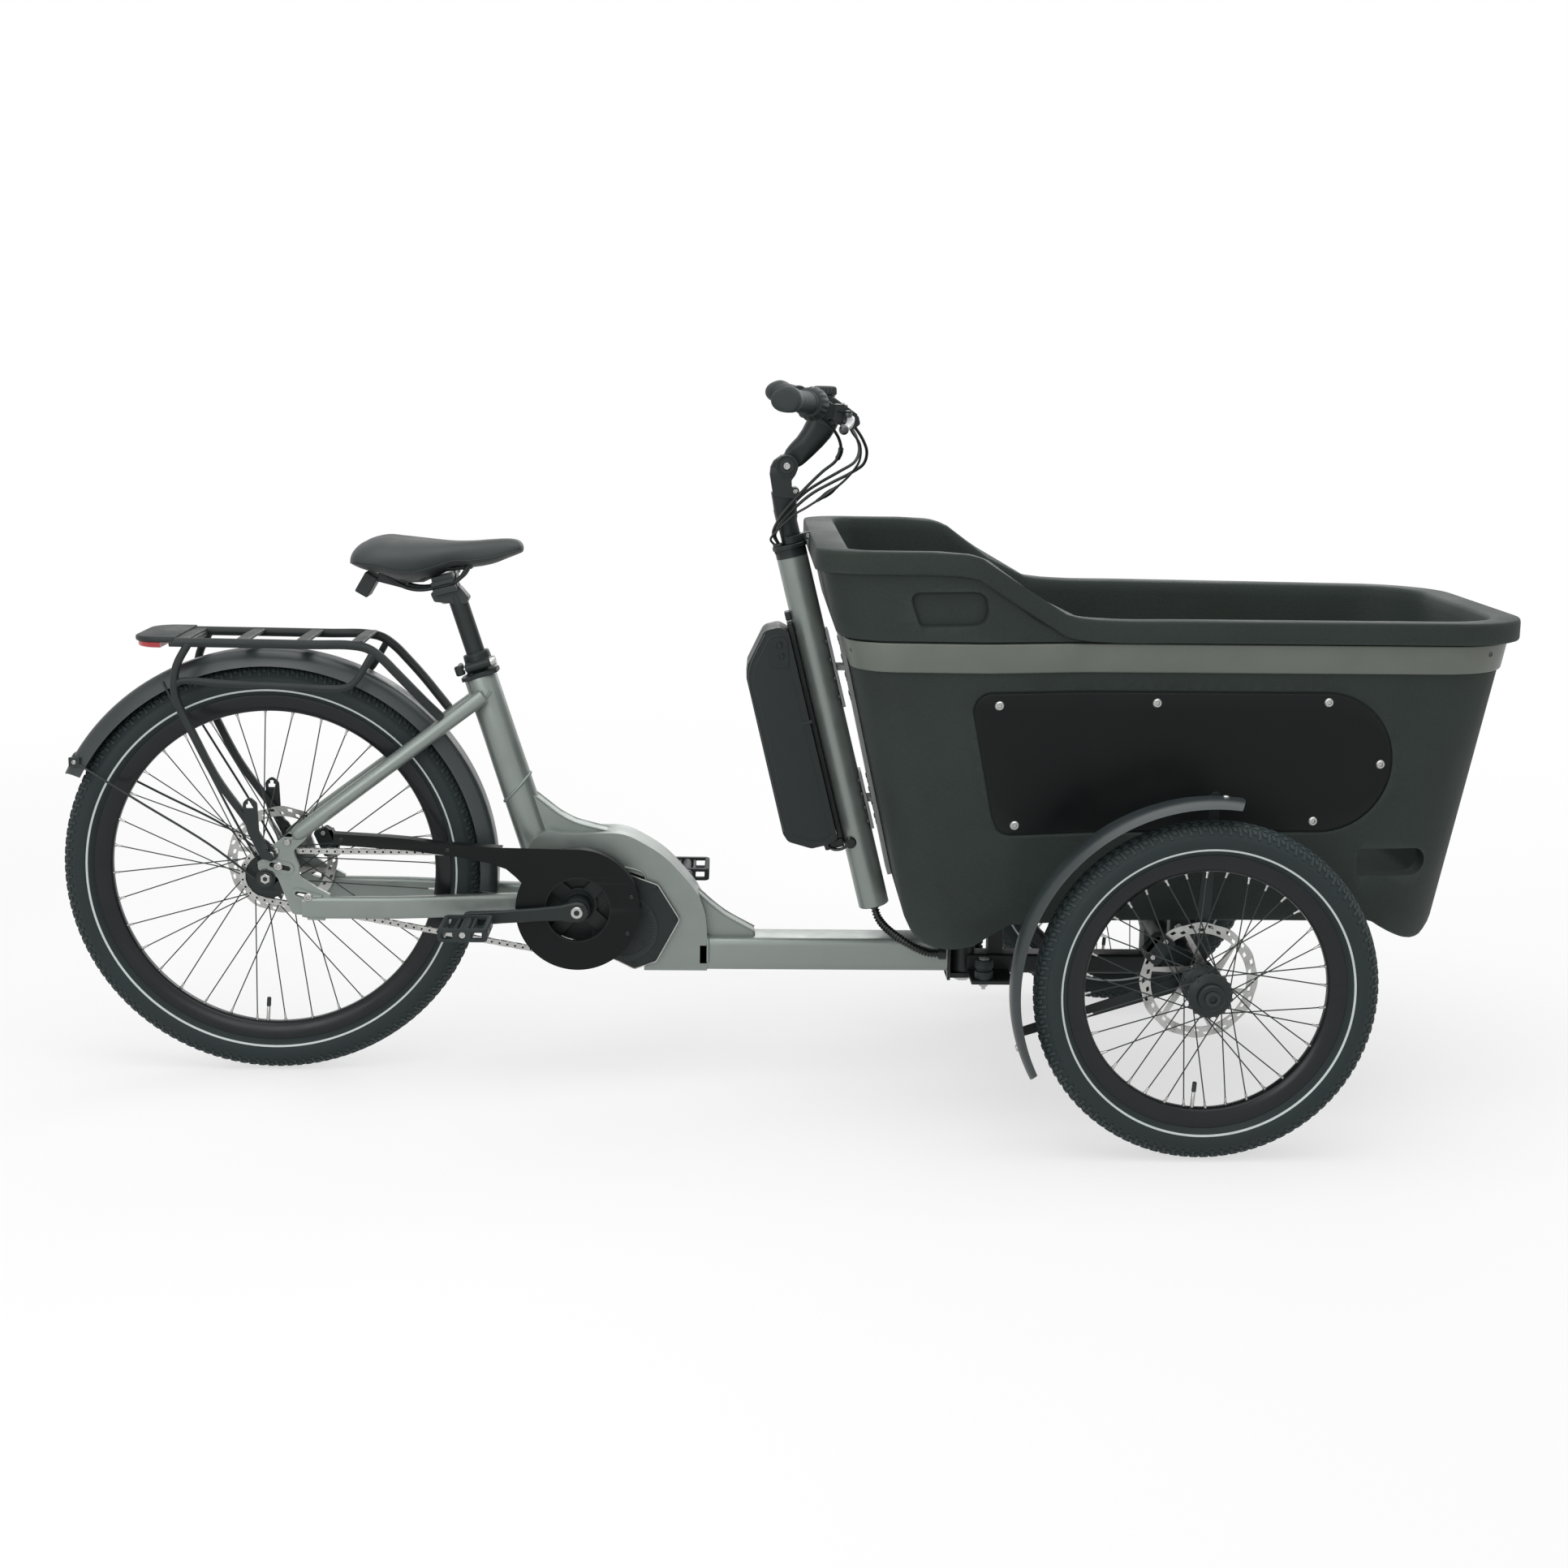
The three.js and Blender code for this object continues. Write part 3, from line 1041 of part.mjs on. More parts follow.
function mainFrame() {
  const tubeFoot = reach(SEAT_TUBE_TOP, [SEAT_DIRECTION, -SEAT_TUBE_LENGTH]);
  const seatTube = rod(tubeFoot, SEAT_TUBE_TOP, SEAT_TUBE_RADIUS, 16);
  const clearRadius = MOTOR_RADIUS + MOTOR_SHELL_CLEARANCE;
  const arch = placed(ARCH_TOP_SHARES, BB_X, BB_Z, ARCH_REACH, ARCH_RISE);
  const motorFront = placed(MOTOR_OUTLINE_SHARES.slice(0, 2), BB_X, BB_Z, MOTOR_REACH, MOTOR_DROP);
  const shellTop = motorFront[0].y + MOTOR_SHELL_CLEARANCE;
  const shellFront = (motorFront[0].y + motorFront[1].y) / 2 + MOTOR_SHELL_CLEARANCE;
  const yokeFront = BB_X - clearRadius;
  const yokeTop = BB_Z - YOKE_DROP + YOKE_HEIGHT;
  const cradleOutline = [
    new THREE.Vector2(yokeFront - YOKE_LENGTH, BB_Z - YOKE_DROP),
    new THREE.Vector2(yokeFront - YOKE_LENGTH, yokeTop),
    ...arch,
    new THREE.Vector2(arch[arch.length - 1].x, BEAM_LOW_Z),
    new THREE.Vector2(BEAM_START_X, BEAM_LOW_Z),
    new THREE.Vector2(BEAM_START_X, shellFront),
    new THREE.Vector2(motorFront[0].x, shellTop),
    ...arcPoints(BB_X, BB_Z, clearRadius, 96, 180, 6),
    new THREE.Vector2(yokeFront, BB_Z - YOKE_DROP),
  ];
  const cradle = plate(cradleOutline, -FRAME_HALF_WIDTH, FRAME_HALF_WIDTH);
  const yoke = block(
    YOKE_LENGTH,
    YOKE_HALF_WIDTH * 2,
    YOKE_HEIGHT,
    at(yokeFront - YOKE_LENGTH / 2, 0, BB_Z - YOKE_DROP + YOKE_HEIGHT / 2),
  );
  const width = FRAME_HALF_WIDTH * 2;
  const height = BEAM_HIGH_Z - BEAM_LOW_Z;
  const middle = (BEAM_HIGH_Z + BEAM_LOW_Z) / 2;
  const beamOuter = roundedRectangle(width, height, BEAM_CORNER, 2);
  const wall = BEAM_WALL * 2;
  const beamInner = roundedRectangle(width - wall, height - wall, BEAM_CORNER - BEAM_WALL, 2);
  const beam = beamAlongX(beamOuter, arch[arch.length - 1].x - BEAM_CORNER, BEAM_END_X, middle);
  const hollow = beamAlongX(beamInner, BEAM_START_X + BEAM_CORNER, BEAM_END_X + CUT_OVERRUN, middle);
  const rearGusset = placed(REAR_GUSSET_SHARES, BB_X, BB_Z, ARCH_REACH, ARCH_RISE);
  const frontGusset = placed(FRONT_GUSSET_SHARES, BB_X, BB_Z, ARCH_REACH, ARCH_RISE);
  const clipEnd = hoseEnd(0);
  const clipStart = hoseEnd(HOSE_CLIP_LENGTH);
  const clipHeight = (HOSE_RADIUS + HOSE_CLIP_WALL) * 2;
  const clip = cut(
    railBlock(
      clipStart.x,
      clipEnd.x - GAP,
      clipEnd.y,
      clipHeight,
      clipEnd.z - clipHeight / 2,
      clipEnd.z + clipHeight / 2,
    ),
    rod(
      reach(clipStart, [FORWARD, -CUT_OVERRUN]),
      reach(clipEnd, [FORWARD, CUT_OVERRUN]),
      HOSE_RADIUS + GAP * 2,
      HOSE_SIDES,
    ),
  );
  const gussets = [rearGusset, frontGusset].map(
    (outline) => plate(outline, -GUSSET_HALF_WIDTH, GUSSET_HALF_WIDTH),
  );
  const boreFoot = reach(SEAT_POST_BASE, [SEAT_DIRECTION, -SEAT_BORE_DEPTH]);
  const boreTop = reach(SEAT_POST_BASE, [SEAT_DIRECTION, CUT_OVERRUN]);
  const bore = rod(boreFoot, boreTop, SEAT_POST_RADIUS + GAP, 16);
  piece('main_frame', cut(join(seatTube, cradle, yoke, beam, clip, ...gussets), hollow, bore), FINISH.frame);
}

function rearTriangle(side, label) {
  const outer = DROPOUT_INNER_Y + DROPOUT_THICKNESS;
  const outline = placed(DROPOUT_OUTLINE_SHARES, 0, REAR_AXLE_Z, DROPOUT_LENGTH, DROPOUT_HEIGHT);
  const slotEnds = placed(DROPOUT_SLOT_SHARES, 0, REAR_AXLE_Z, DROPOUT_LENGTH, DROPOUT_HEIGHT);
  const holes = [circlePoints(0, REAR_AXLE_Z, REAR_AXLE_RADIUS + GAP, 12)];
  const slot = linkOutline(slotEnds[0], DROPOUT_SLOT_RADIUS, slotEnds[1], DROPOUT_SLOT_RADIUS, 4);
  const dropout = plate(outline, side * DROPOUT_INNER_Y, side * outer, [...holes, slot]);
  const stayTop = reach(SEAT_TUBE_TOP, [SEAT_DIRECTION, -SEAT_STAY_TOP_DROP]);
  stayTop.y = side * (SEAT_TUBE_RADIUS + SEAT_STAY_RADIUS + GAP);
  const stayFoot = at(SEAT_STAY_LOW_X, side * SEAT_STAY_LOW_Y, SEAT_STAY_LOW_Z);
  const stay = rod(stayFoot, stayTop, SEAT_STAY_RADIUS, 10);
  const stayRun = BB_X - MOTOR_RADIUS - MOTOR_SHELL_CLEARANCE - YOKE_LENGTH - GAP - CHAINSTAY_REAR_X;
  const outside = CHAINSTAY_OUTER_SHARES.map(([along, y]) => [CHAINSTAY_REAR_X + along * stayRun, y]);
  const inside = outside.map(([x, y], i) => [x, y - CHAINSTAY_WIDTHS[i]]);
  const plan = [...outside, ...inside.reverse()].map(([x, y]) => new THREE.Vector2(x, side * y));
  const chainstay = slab(plan, CHAINSTAY_LOW_Z, CHAINSTAY_LOW_Z + CHAINSTAY_HEIGHT);
  piece(`rear_triangle_${label}`, join(dropout, stay, chainstay), FINISH.frame);
}

// Seat

function seatClamp() {
  const bore = SEAT_POST_RADIUS + GAP;
  const base = reach(SEAT_POST_BASE, [SEAT_DIRECTION, GAP]);
  const collarTop = reach(base, [SEAT_DIRECTION, CLAMP_HEIGHT]);
  const collar = rod(base, collarTop, CLAMP_FOOT_RADIUS, 14, CLAMP_TOP_RADIUS);
  const skewer = reach(base, [SEAT_DIRECTION, CLAMP_SKEWER_HEIGHT], [LEFT, -CLAMP_SKEWER_Y]);
  const rear = reach(skewer, [SEAT_FORWARD, -CLAMP_LUG_REACH]);
  const front = reach(skewer, [SEAT_FORWARD, CLAMP_LUG_REACH]);
  const nutEnd = reach(front, [SEAT_FORWARD, CLAMP_NUT_LENGTH]);
  const lugRear = reach(skewer, [SEAT_FORWARD, CLAMP_LUG_SINK - CLAMP_LUG_REACH]);
  const lug = rod(lugRear, front, CLAMP_LUG_RADIUS, 8);
  const pin = rod(rear, front, CLAMP_SKEWER_RADIUS, 6);
  const nut = rod(front, nutEnd, CLAMP_NUT_RADIUS, 8);
  const web = leaningBlock(
    CLAMP_LUG_REACH * 2 - CLAMP_LUG_RADIUS,
    CLAMP_LUG_RADIUS * 2,
    CLAMP_LUG_RADIUS * 2,
    reach(skewer, [LEFT, CLAMP_LUG_RADIUS]),
    SEAT_DIRECTION,
  );
  const hole = rod(
    reach(base, [SEAT_DIRECTION, -CUT_OVERRUN]),
    reach(base, [SEAT_DIRECTION, CLAMP_HEIGHT + CUT_OVERRUN]),
    bore,
    16,
  );
  piece('seat_clamp', cut(join(collar, web, lug, pin, nut), hole), FINISH.black);
}

function seatClampLever() {
  const start = CLAMP_LUG_REACH + LEVER_CAM_RADIUS + GAP;
  const cam = reach(
    SEAT_POST_BASE,
    [SEAT_DIRECTION, GAP + CLAMP_SKEWER_HEIGHT],
    [LEFT, -CLAMP_SKEWER_Y],
    [SEAT_FORWARD, -start],
  );
  const camBody = rod(
    reach(cam, [SEAT_DIRECTION, -LEVER_CAM_RADIUS]),
    reach(cam, [SEAT_DIRECTION, LEVER_CAM_RADIUS]),
    LEVER_CAM_RADIUS,
    14,
  );
  const blade = leaningBlock(
    LEVER_THICKNESS,
    LEVER_LENGTH,
    LEVER_CAM_RADIUS * 2,
    reach(cam, [LEFT, LEVER_LENGTH / 2], [SEAT_FORWARD, -LEVER_THICKNESS / 2]),
    SEAT_DIRECTION,
  );
  piece('seat_clamp_lever', join(camBody, blade), FINISH.black);
}

const RAIL_Z = SADDLE_LOW_Z + RAIL_STRAIGHT_SHARE * SADDLE_RISE;

function seatPost() {
  const foot = reach(SEAT_POST_BASE, [SEAT_DIRECTION, CLAMP_HEIGHT - SEAT_POST_INSERTION]);
  const top = reach(SEAT_POST_BASE, [SEAT_DIRECTION, SEAT_POST_TOP]);
  const post = rod(foot, top, SEAT_POST_RADIUS, 16);
  const headTop = RAIL_Z - RAIL_RADIUS - GAP;
  const head = block(
    SADDLE_CLAMP_LENGTH,
    SADDLE_CLAMP_WIDTH,
    SADDLE_CLAMP_HEIGHT,
    at(top.x, 0, headTop - SADDLE_CLAMP_HEIGHT / 2),
  );
  const trim = block(
    SADDLE_CLAMP_LENGTH * 2,
    SADDLE_CLAMP_WIDTH * 2,
    SADDLE_CLAMP_HEIGHT * 2,
    at(top.x, 0, headTop + SADDLE_CLAMP_HEIGHT),
  );
  piece('seat_post', cut(join(post, head), trim), FINISH.black);
}

// The cushion: rings across the saddle with a crown on top and sides drawn in below.
function saddle() {
  const count = SADDLE_RING_POINTS;
  const positions = [];
  const indices = [];
  const topAt = [];
  for (const [along, top, bottom, half] of SADDLE_STATION_SHARES) {
    const x = SADDLE_TAIL_X + along * SADDLE_LENGTH;
    const low = SADDLE_LOW_Z + bottom * SADDLE_RISE;
    const high = SADDLE_LOW_Z + top * SADDLE_RISE;
    const edge = low + SADDLE_EDGE_SHARE * (high - low);
    topAt.push((low + high) / 2);
    for (let i = 0; i < count; i++) {
      const angle = (2 * Math.PI * i) / count;
      const across = Math.cos(angle);
      const up = Math.sin(angle);
      const drawnIn = up < 0 ? 1 - (1 - SADDLE_BELLY_SHARE) * up * up : 1;
      const y = half * SADDLE_HALF_WIDTH * Math.sign(across) * Math.abs(across) ** 0.8 * drawnIn;
      const z = up > 0 ? edge + (high - edge) * up ** 0.9 : edge + (edge - low) * up;
      positions.push(x, y, z);
    }
  }
  const rings = SADDLE_STATION_SHARES.length;
  for (let i = 0; i < rings - 1; i++) {
    for (let j = 0; j < count; j++) {
      const a = i * count + j;
      const b = i * count + ((j + 1) % count);
      indices.push(a, b, b + count, a, b + count, a + count);
    }
  }
  [0, rings - 1].forEach((ringIndex) => {
    const centre = positions.length / 3;
    const along = SADDLE_STATION_SHARES[ringIndex][0];
    positions.push(SADDLE_TAIL_X + along * SADDLE_LENGTH, 0, topAt[ringIndex]);
    for (let j = 0; j < count; j++) {
      const a = ringIndex * count + j;
      const b = ringIndex * count + ((j + 1) % count);
      indices.push(...(ringIndex ? [a, b, centre] : [b, a, centre]));
    }
  });
  const geometry = new THREE.BufferGeometry();
  geometry.setAttribute('position', new THREE.Float32BufferAttribute(positions, 3));
  geometry.setIndex(indices);
  piece('saddle', cut(solid(geometry), railChannel()), FINISH.cushion);
}

function railPoints(side) {
  return RAIL_PATH_SHARES.map(([along, up, spread]) => at(
    SADDLE_TAIL_X + along * SADDLE_LENGTH,
    side * spread * RAIL_HALF_SPACING,
    SADDLE_LOW_Z + up * SADDLE_RISE,
  ));
}

function railBody(radius) {
  const sides = [-1, 1].map((side) => pipe(railPoints(side), radius, 6));
  const rear = railPoints(1)[0];
  const front = railPoints(1)[RAIL_PATH_SHARES.length - 1];
  const bars = [rear, front].map((end) => rod(at(end.x, -end.y, end.z), end, radius, 6));
  return join(...sides, ...bars);
}

function railChannel() {
  return railBody(RAIL_RADIUS + GAP);
}

function saddleRails() {
  piece('saddle_rails', railBody(RAIL_RADIUS), FINISH.black);
}

// Rack, fenders and rear light

function rackPoint([along, up], side, extra) {
  const y = side * (RACK_HALF_WIDTH + extra);
  return at(RACK_TAIL_X + along * RACK_LENGTH, y, RACK_FOOT_Z + up * RACK_RISE);
}

function tailPlan(inset) {
  const half = RACK_HALF_WIDTH + RACK_TUBE_RADIUS - inset;
  const corner = RACK_TAIL_CORNER - inset;
  const rear = RACK_TAIL_X + inset;
  const front = RACK_TAIL_X + RACK_TAIL_LENGTH;
  return [
    new THREE.Vector2(front, half),
    ...arcPoints(rear + corner, half - corner, corner, 90, 180, 5),
    ...arcPoints(rear + corner, corner - half, corner, 180, 270, 5),
    new THREE.Vector2(front, -half),
  ];
}

function rearRack() {
  const bodies = [];
  const deckZ = RACK_FOOT_Z + RACK_RISE;
  const plateFront = RACK_TAIL_X + RACK_TAIL_LENGTH;
  for (const side of [-1, 1]) {
    const start = at(plateFront - RACK_TUBE_RADIUS, side * RACK_HALF_WIDTH, deckZ + JOINT_SINK);
    const deck = [start, ...RACK_DECK_SHARES.map((share) => rackPoint(share, side, 0))];
    bodies.push(pipe(deck, RACK_TUBE_RADIUS, 6));
    const leg = RACK_LEG_SHARES.map((share, i) => rackPoint(share, side, i ? RACK_SIDE_Y : 0));
    const foot = leg[leg.length - 1];
    foot.y = side * (DROPOUT_INNER_Y + DROPOUT_THICKNESS + GAP + RACK_LEG_RADIUS);
    bodies.push(pipe(leg, RACK_LEG_RADIUS, 6));
    const loop = RACK_LOOP_SHARES.map((share, i) => rackPoint(share, side, i < 3 ? RACK_SIDE_Y : 0));
    bodies.push(pipe(loop, RACK_LEG_RADIUS, 6));
  }
  const firstSlat = plateFront + RACK_SLAT_LENGTH / 2 - JOINT_SINK;
  const slats = [firstSlat, ...RACK_SLAT_SHARES.map((along) => RACK_TAIL_X + along * RACK_LENGTH)];
  for (const x of slats) {
    const centre = at(x, 0, deckZ + RACK_TUBE_RADIUS - RACK_SLAT_THICKNESS / 2);
    bodies.push(block(RACK_SLAT_LENGTH, RACK_HALF_WIDTH * 2, RACK_SLAT_THICKNESS, centre));
  }
  const tailTop = deckZ + RACK_TUBE_RADIUS + RACK_SLAT_THICKNESS / 2;
  const tail = slab(tailPlan(0), tailTop - RACK_TAIL_THICKNESS, tailTop);
  const stayBlock = seatStayTool();
  piece('rear_rack', cut(join(...bodies, tail), ...stayBlock), FINISH.black);
}

// The seat stays with their clearance, to end the rack's front struts on them.
function seatStayTool() {
  return [-1, 1].map((side) => {
    const top = reach(SEAT_TUBE_TOP, [SEAT_DIRECTION, -SEAT_STAY_TOP_DROP]);
    top.y = side * (SEAT_TUBE_RADIUS + SEAT_STAY_RADIUS + GAP);
    const foot = at(SEAT_STAY_LOW_X, side * SEAT_STAY_LOW_Y, SEAT_STAY_LOW_Z);
    return rod(foot, top, SEAT_STAY_RADIUS + GAP * 2, 10);
  });
}

function rearLight() {
  const tailTop = RACK_FOOT_Z + RACK_RISE + RACK_TUBE_RADIUS + RACK_SLAT_THICKNESS / 2;
  const top = tailTop - RACK_TAIL_THICKNESS - GAP;
  const lens = slab(tailPlan(RACK_TUBE_RADIUS / 2), top - TAIL_LIGHT_HEIGHT, top);
  const cutX = RACK_TAIL_X + TAIL_LIGHT_LENGTH + RACK_LENGTH / 2;
  const tool = block(RACK_LENGTH, RACK_LENGTH, RACK_LENGTH, at(cutX, 0, top));
  piece('rear_light', cut(lens, tool), FINISH.red);
}

// A fender shell: a turned channel cut to the arc that it covers.
function fenderShell(radius, fromAngle, toAngle, centre) {
  const inner = radius - FENDER_THICKNESS;
  const skirt = radius - FENDER_SKIRT;
  const crown = FENDER_CROWN_HALF_WIDTH;
  const half = FENDER_HALF_WIDTH;
  const wall = half - FENDER_THICKNESS;
  const profile = [
    [skirt, half], [radius, crown], [radius, -crown], [skirt, -half],
    [skirt, -wall], [inner, -crown], [inner, crown], [skirt, wall], [skirt, half],
  ];
  const channel = turned(profile, FENDER_SIDES, centre);
  const sweep = arcPoints(centre.x, centre.z, radius * 1.2, fromAngle, toAngle, 8);
  const wedge = [new THREE.Vector2(centre.x, centre.z), ...sweep];
  const keep = plate(wedge, centre.y - half - CUT_OVERRUN, centre.y + half + CUT_OVERRUN);
  return channel.intersect(keep);
}

function rearFender() {
  const centre = at(0, 0, REAR_AXLE_Z);
  const stays = [];
  const feet = placed(REAR_STAY_FOOT_SHARES, 0, REAR_AXLE_Z, DROPOUT_LENGTH, DROPOUT_HEIGHT);
  for (const side of [-1, 1]) {
    FENDER_STAY_ANGLES.forEach((angle, i) => {
      const radius = REAR_FENDER_RADIUS - FENDER_SKIRT + FENDER_STAY_RADIUS;
      const top = arcPoints(0, REAR_AXLE_Z, radius, angle, angle, 1)[0];
      const start = at(top.x, side * (FENDER_HALF_WIDTH - FENDER_THICKNESS), top.y);
      const foot = at(feet[i].x, side * (DROPOUT_INNER_Y - GAP - FENDER_STAY_RADIUS), feet[i].y);
      const elbow = arcPoints(0, REAR_AXLE_Z, ROTOR_RADIUS + FENDER_STAY_ELBOW, angle, angle, 1)[0];
      stays.push(pipe([start, at(elbow.x, foot.y, elbow.y), foot], FENDER_STAY_RADIUS, 5));
    });
  }
  const shell = fenderShell(REAR_FENDER_RADIUS, REAR_FENDER_FROM, REAR_FENDER_TO, centre);
  piece('rear_fender', join(shell, ...stays), FINISH.black);
}

function frontFender(side, label) {
  const centre = at(WHEELBASE, side * FRONT_HALF_TRACK, FRONT_AXLE_Z);
  const shell = fenderShell(FRONT_FENDER_RADIUS, FRONT_FENDER_FROM, FRONT_FENDER_TO, centre);
  const inner = side * (CROSS_BEAM_HALF + UPRIGHT_THICKNESS + GAP);
  const outer = inner + side * FENDER_STRAP_THICKNESS;
  const skirtHalf = (FENDER_HALF_WIDTH + FENDER_CROWN_HALF_WIDTH - FENDER_THICKNESS) / 2;
  const skirtY = side * (FRONT_HALF_TRACK - skirtHalf);
  const root = new THREE.Vector2(WHEELBASE, FRONT_AXLE_Z);
  const straps = FENDER_STRAP_ANGLES.map((angle) => {
    const tip = arcPoints(root.x, root.y, FRONT_FENDER_RADIUS - FENDER_SKIRT / 2, angle, angle, 1)[0];
    return plate(linkOutline(root, FENDER_STRAP_WIDTH / 2, tip, FENDER_STRAP_TURN / 2, 3), inner, outer);
  });
  const turns = FENDER_STRAP_ANGLES.map((angle) => {
    const tip = arcPoints(root.x, root.y, FRONT_FENDER_RADIUS - FENDER_SKIRT / 2, angle, angle, 1)[0];
    return rod(at(tip.x, inner, tip.y), at(tip.x, skirtY, tip.y), FENDER_STRAP_THICKNESS, 8);
  });
  const hole = rod(
    at(WHEELBASE, inner - side * CUT_OVERRUN, FRONT_AXLE_Z),
    at(WHEELBASE, outer + side * CUT_OVERRUN, FRONT_AXLE_Z),
    STUB_AXLE_RADIUS + GAP,
    16,
  );
  piece(`front_fender_${label}`, join(shell, cut(join(...straps), hole), ...turns), FINISH.black);
}

// Brake calipers straddle their rotor and leave a slot for it.
function caliperBody(centreX, centreZ, angle, yInner, yOuter, rotorY) {
  const spot = arcPoints(centreX, centreZ, CALIPER_SEAT_RADIUS, angle, angle, 1)[0];
  const out = at(Math.cos(rad(angle)), 0, Math.sin(rad(angle)));
  const middleY = (yInner + yOuter) / 2;
  const width = Math.abs(yOuter - yInner);
  const body = leaningBlock(CALIPER_LENGTH, width, CALIPER_DEPTH, at(spot.x, middleY, spot.y), out);
  const reachIn = arcPoints(centreX, centreZ, CALIPER_SEAT_RADIUS - CALIPER_DEPTH / 2, angle, angle, 1)[0];
  const depth = ROTOR_RADIUS + CALIPER_SLOT / 2 - CALIPER_SEAT_RADIUS + CALIPER_DEPTH / 2;
  const slot = leaningBlock(
    CALIPER_LENGTH + CUT_OVERRUN,
    CALIPER_SLOT,
    depth * 2,
    at(reachIn.x, rotorY, reachIn.y),
    out,
  );
  return cut(body, slot);
}

function calipers() {
  const rearOuter = DROPOUT_INNER_Y - GAP;
  const rearRotorY = REAR_HUB_DISC_END + GAP + ROTOR_THICKNESS / 2;
  const rear = caliperBody(0, REAR_AXLE_Z, REAR_CALIPER_ANGLE, REAR_CALIPER_INNER_Y, rearOuter, rearRotorY);
  piece('rear_brake_caliper', rear, FINISH.black);
  for (const [side, label] of [[-1, 'right'], [1, 'left']]) {
    const inner = side * (CROSS_BEAM_HALF + UPRIGHT_THICKNESS + GAP);
    const outer = inner + side * FRONT_CALIPER_WIDTH;
    const discY = side * FRONT_ROTOR_Y;
    const body = caliperBody(WHEELBASE, FRONT_AXLE_Z, FRONT_CALIPER_ANGLE, inner, outer, discY);
    piece(`front_brake_caliper_${label}`, body, FINISH.black);
  }
}

// Steering pivot and chassis

function pivotYoke() {
  const plateStart = BEAM_END_X + GAP;
  const plateEnd = plateStart + PIVOT_PLATE_THICKNESS;
  const low = BEAM_LOW_Z - PIVOT_LUG_OVERHANG - PIVOT_LUG_THICKNESS;
  const high = BEAM_HIGH_Z + PIVOT_LUG_OVERHANG + PIVOT_LUG_THICKNESS;
  const wallMiddle = at((plateStart + plateEnd) / 2, 0, (low + high) / 2);
  const wall = block(PIVOT_PLATE_THICKNESS, FRAME_HALF_WIDTH * 2, high - low, wallMiddle);
  const tongue = [
    new THREE.Vector2(plateStart, PIVOT_LUG_RADIUS),
    new THREE.Vector2(plateStart, -PIVOT_LUG_RADIUS),
    ...arcPoints(PIVOT_X, 0, PIVOT_LUG_RADIUS, -90, 90, 5),
  ];
  const upper = slab(tongue, high - PIVOT_LUG_THICKNESS, high);
  const lower = slab(tongue, low, low + PIVOT_LUG_THICKNESS);
  const pinFoot = at(PIVOT_X, 0, low - PIVOT_HEAD_HEIGHT);
  const pinTop = at(PIVOT_X, 0, high + PIVOT_HEAD_HEIGHT);
  const pin = rod(pinFoot, pinTop, PIVOT_PIN_RADIUS, 12);
  const heads = [low - PIVOT_HEAD_HEIGHT, high].map((z) => rod(
    at(PIVOT_X, 0, z),
    at(PIVOT_X, 0, z + PIVOT_HEAD_HEIGHT),
    PIVOT_HEAD_RADIUS,
    6,
  ));
  piece('pivot_yoke', join(wall, upper, lower, pin, ...heads), FINISH.black);
}

function railBlock(fromX, toX, y, width, lowZ, highZ) {
  return block(toX - fromX, width, highZ - lowZ, at((fromX + toX) / 2, y, (lowZ + highZ) / 2));
}

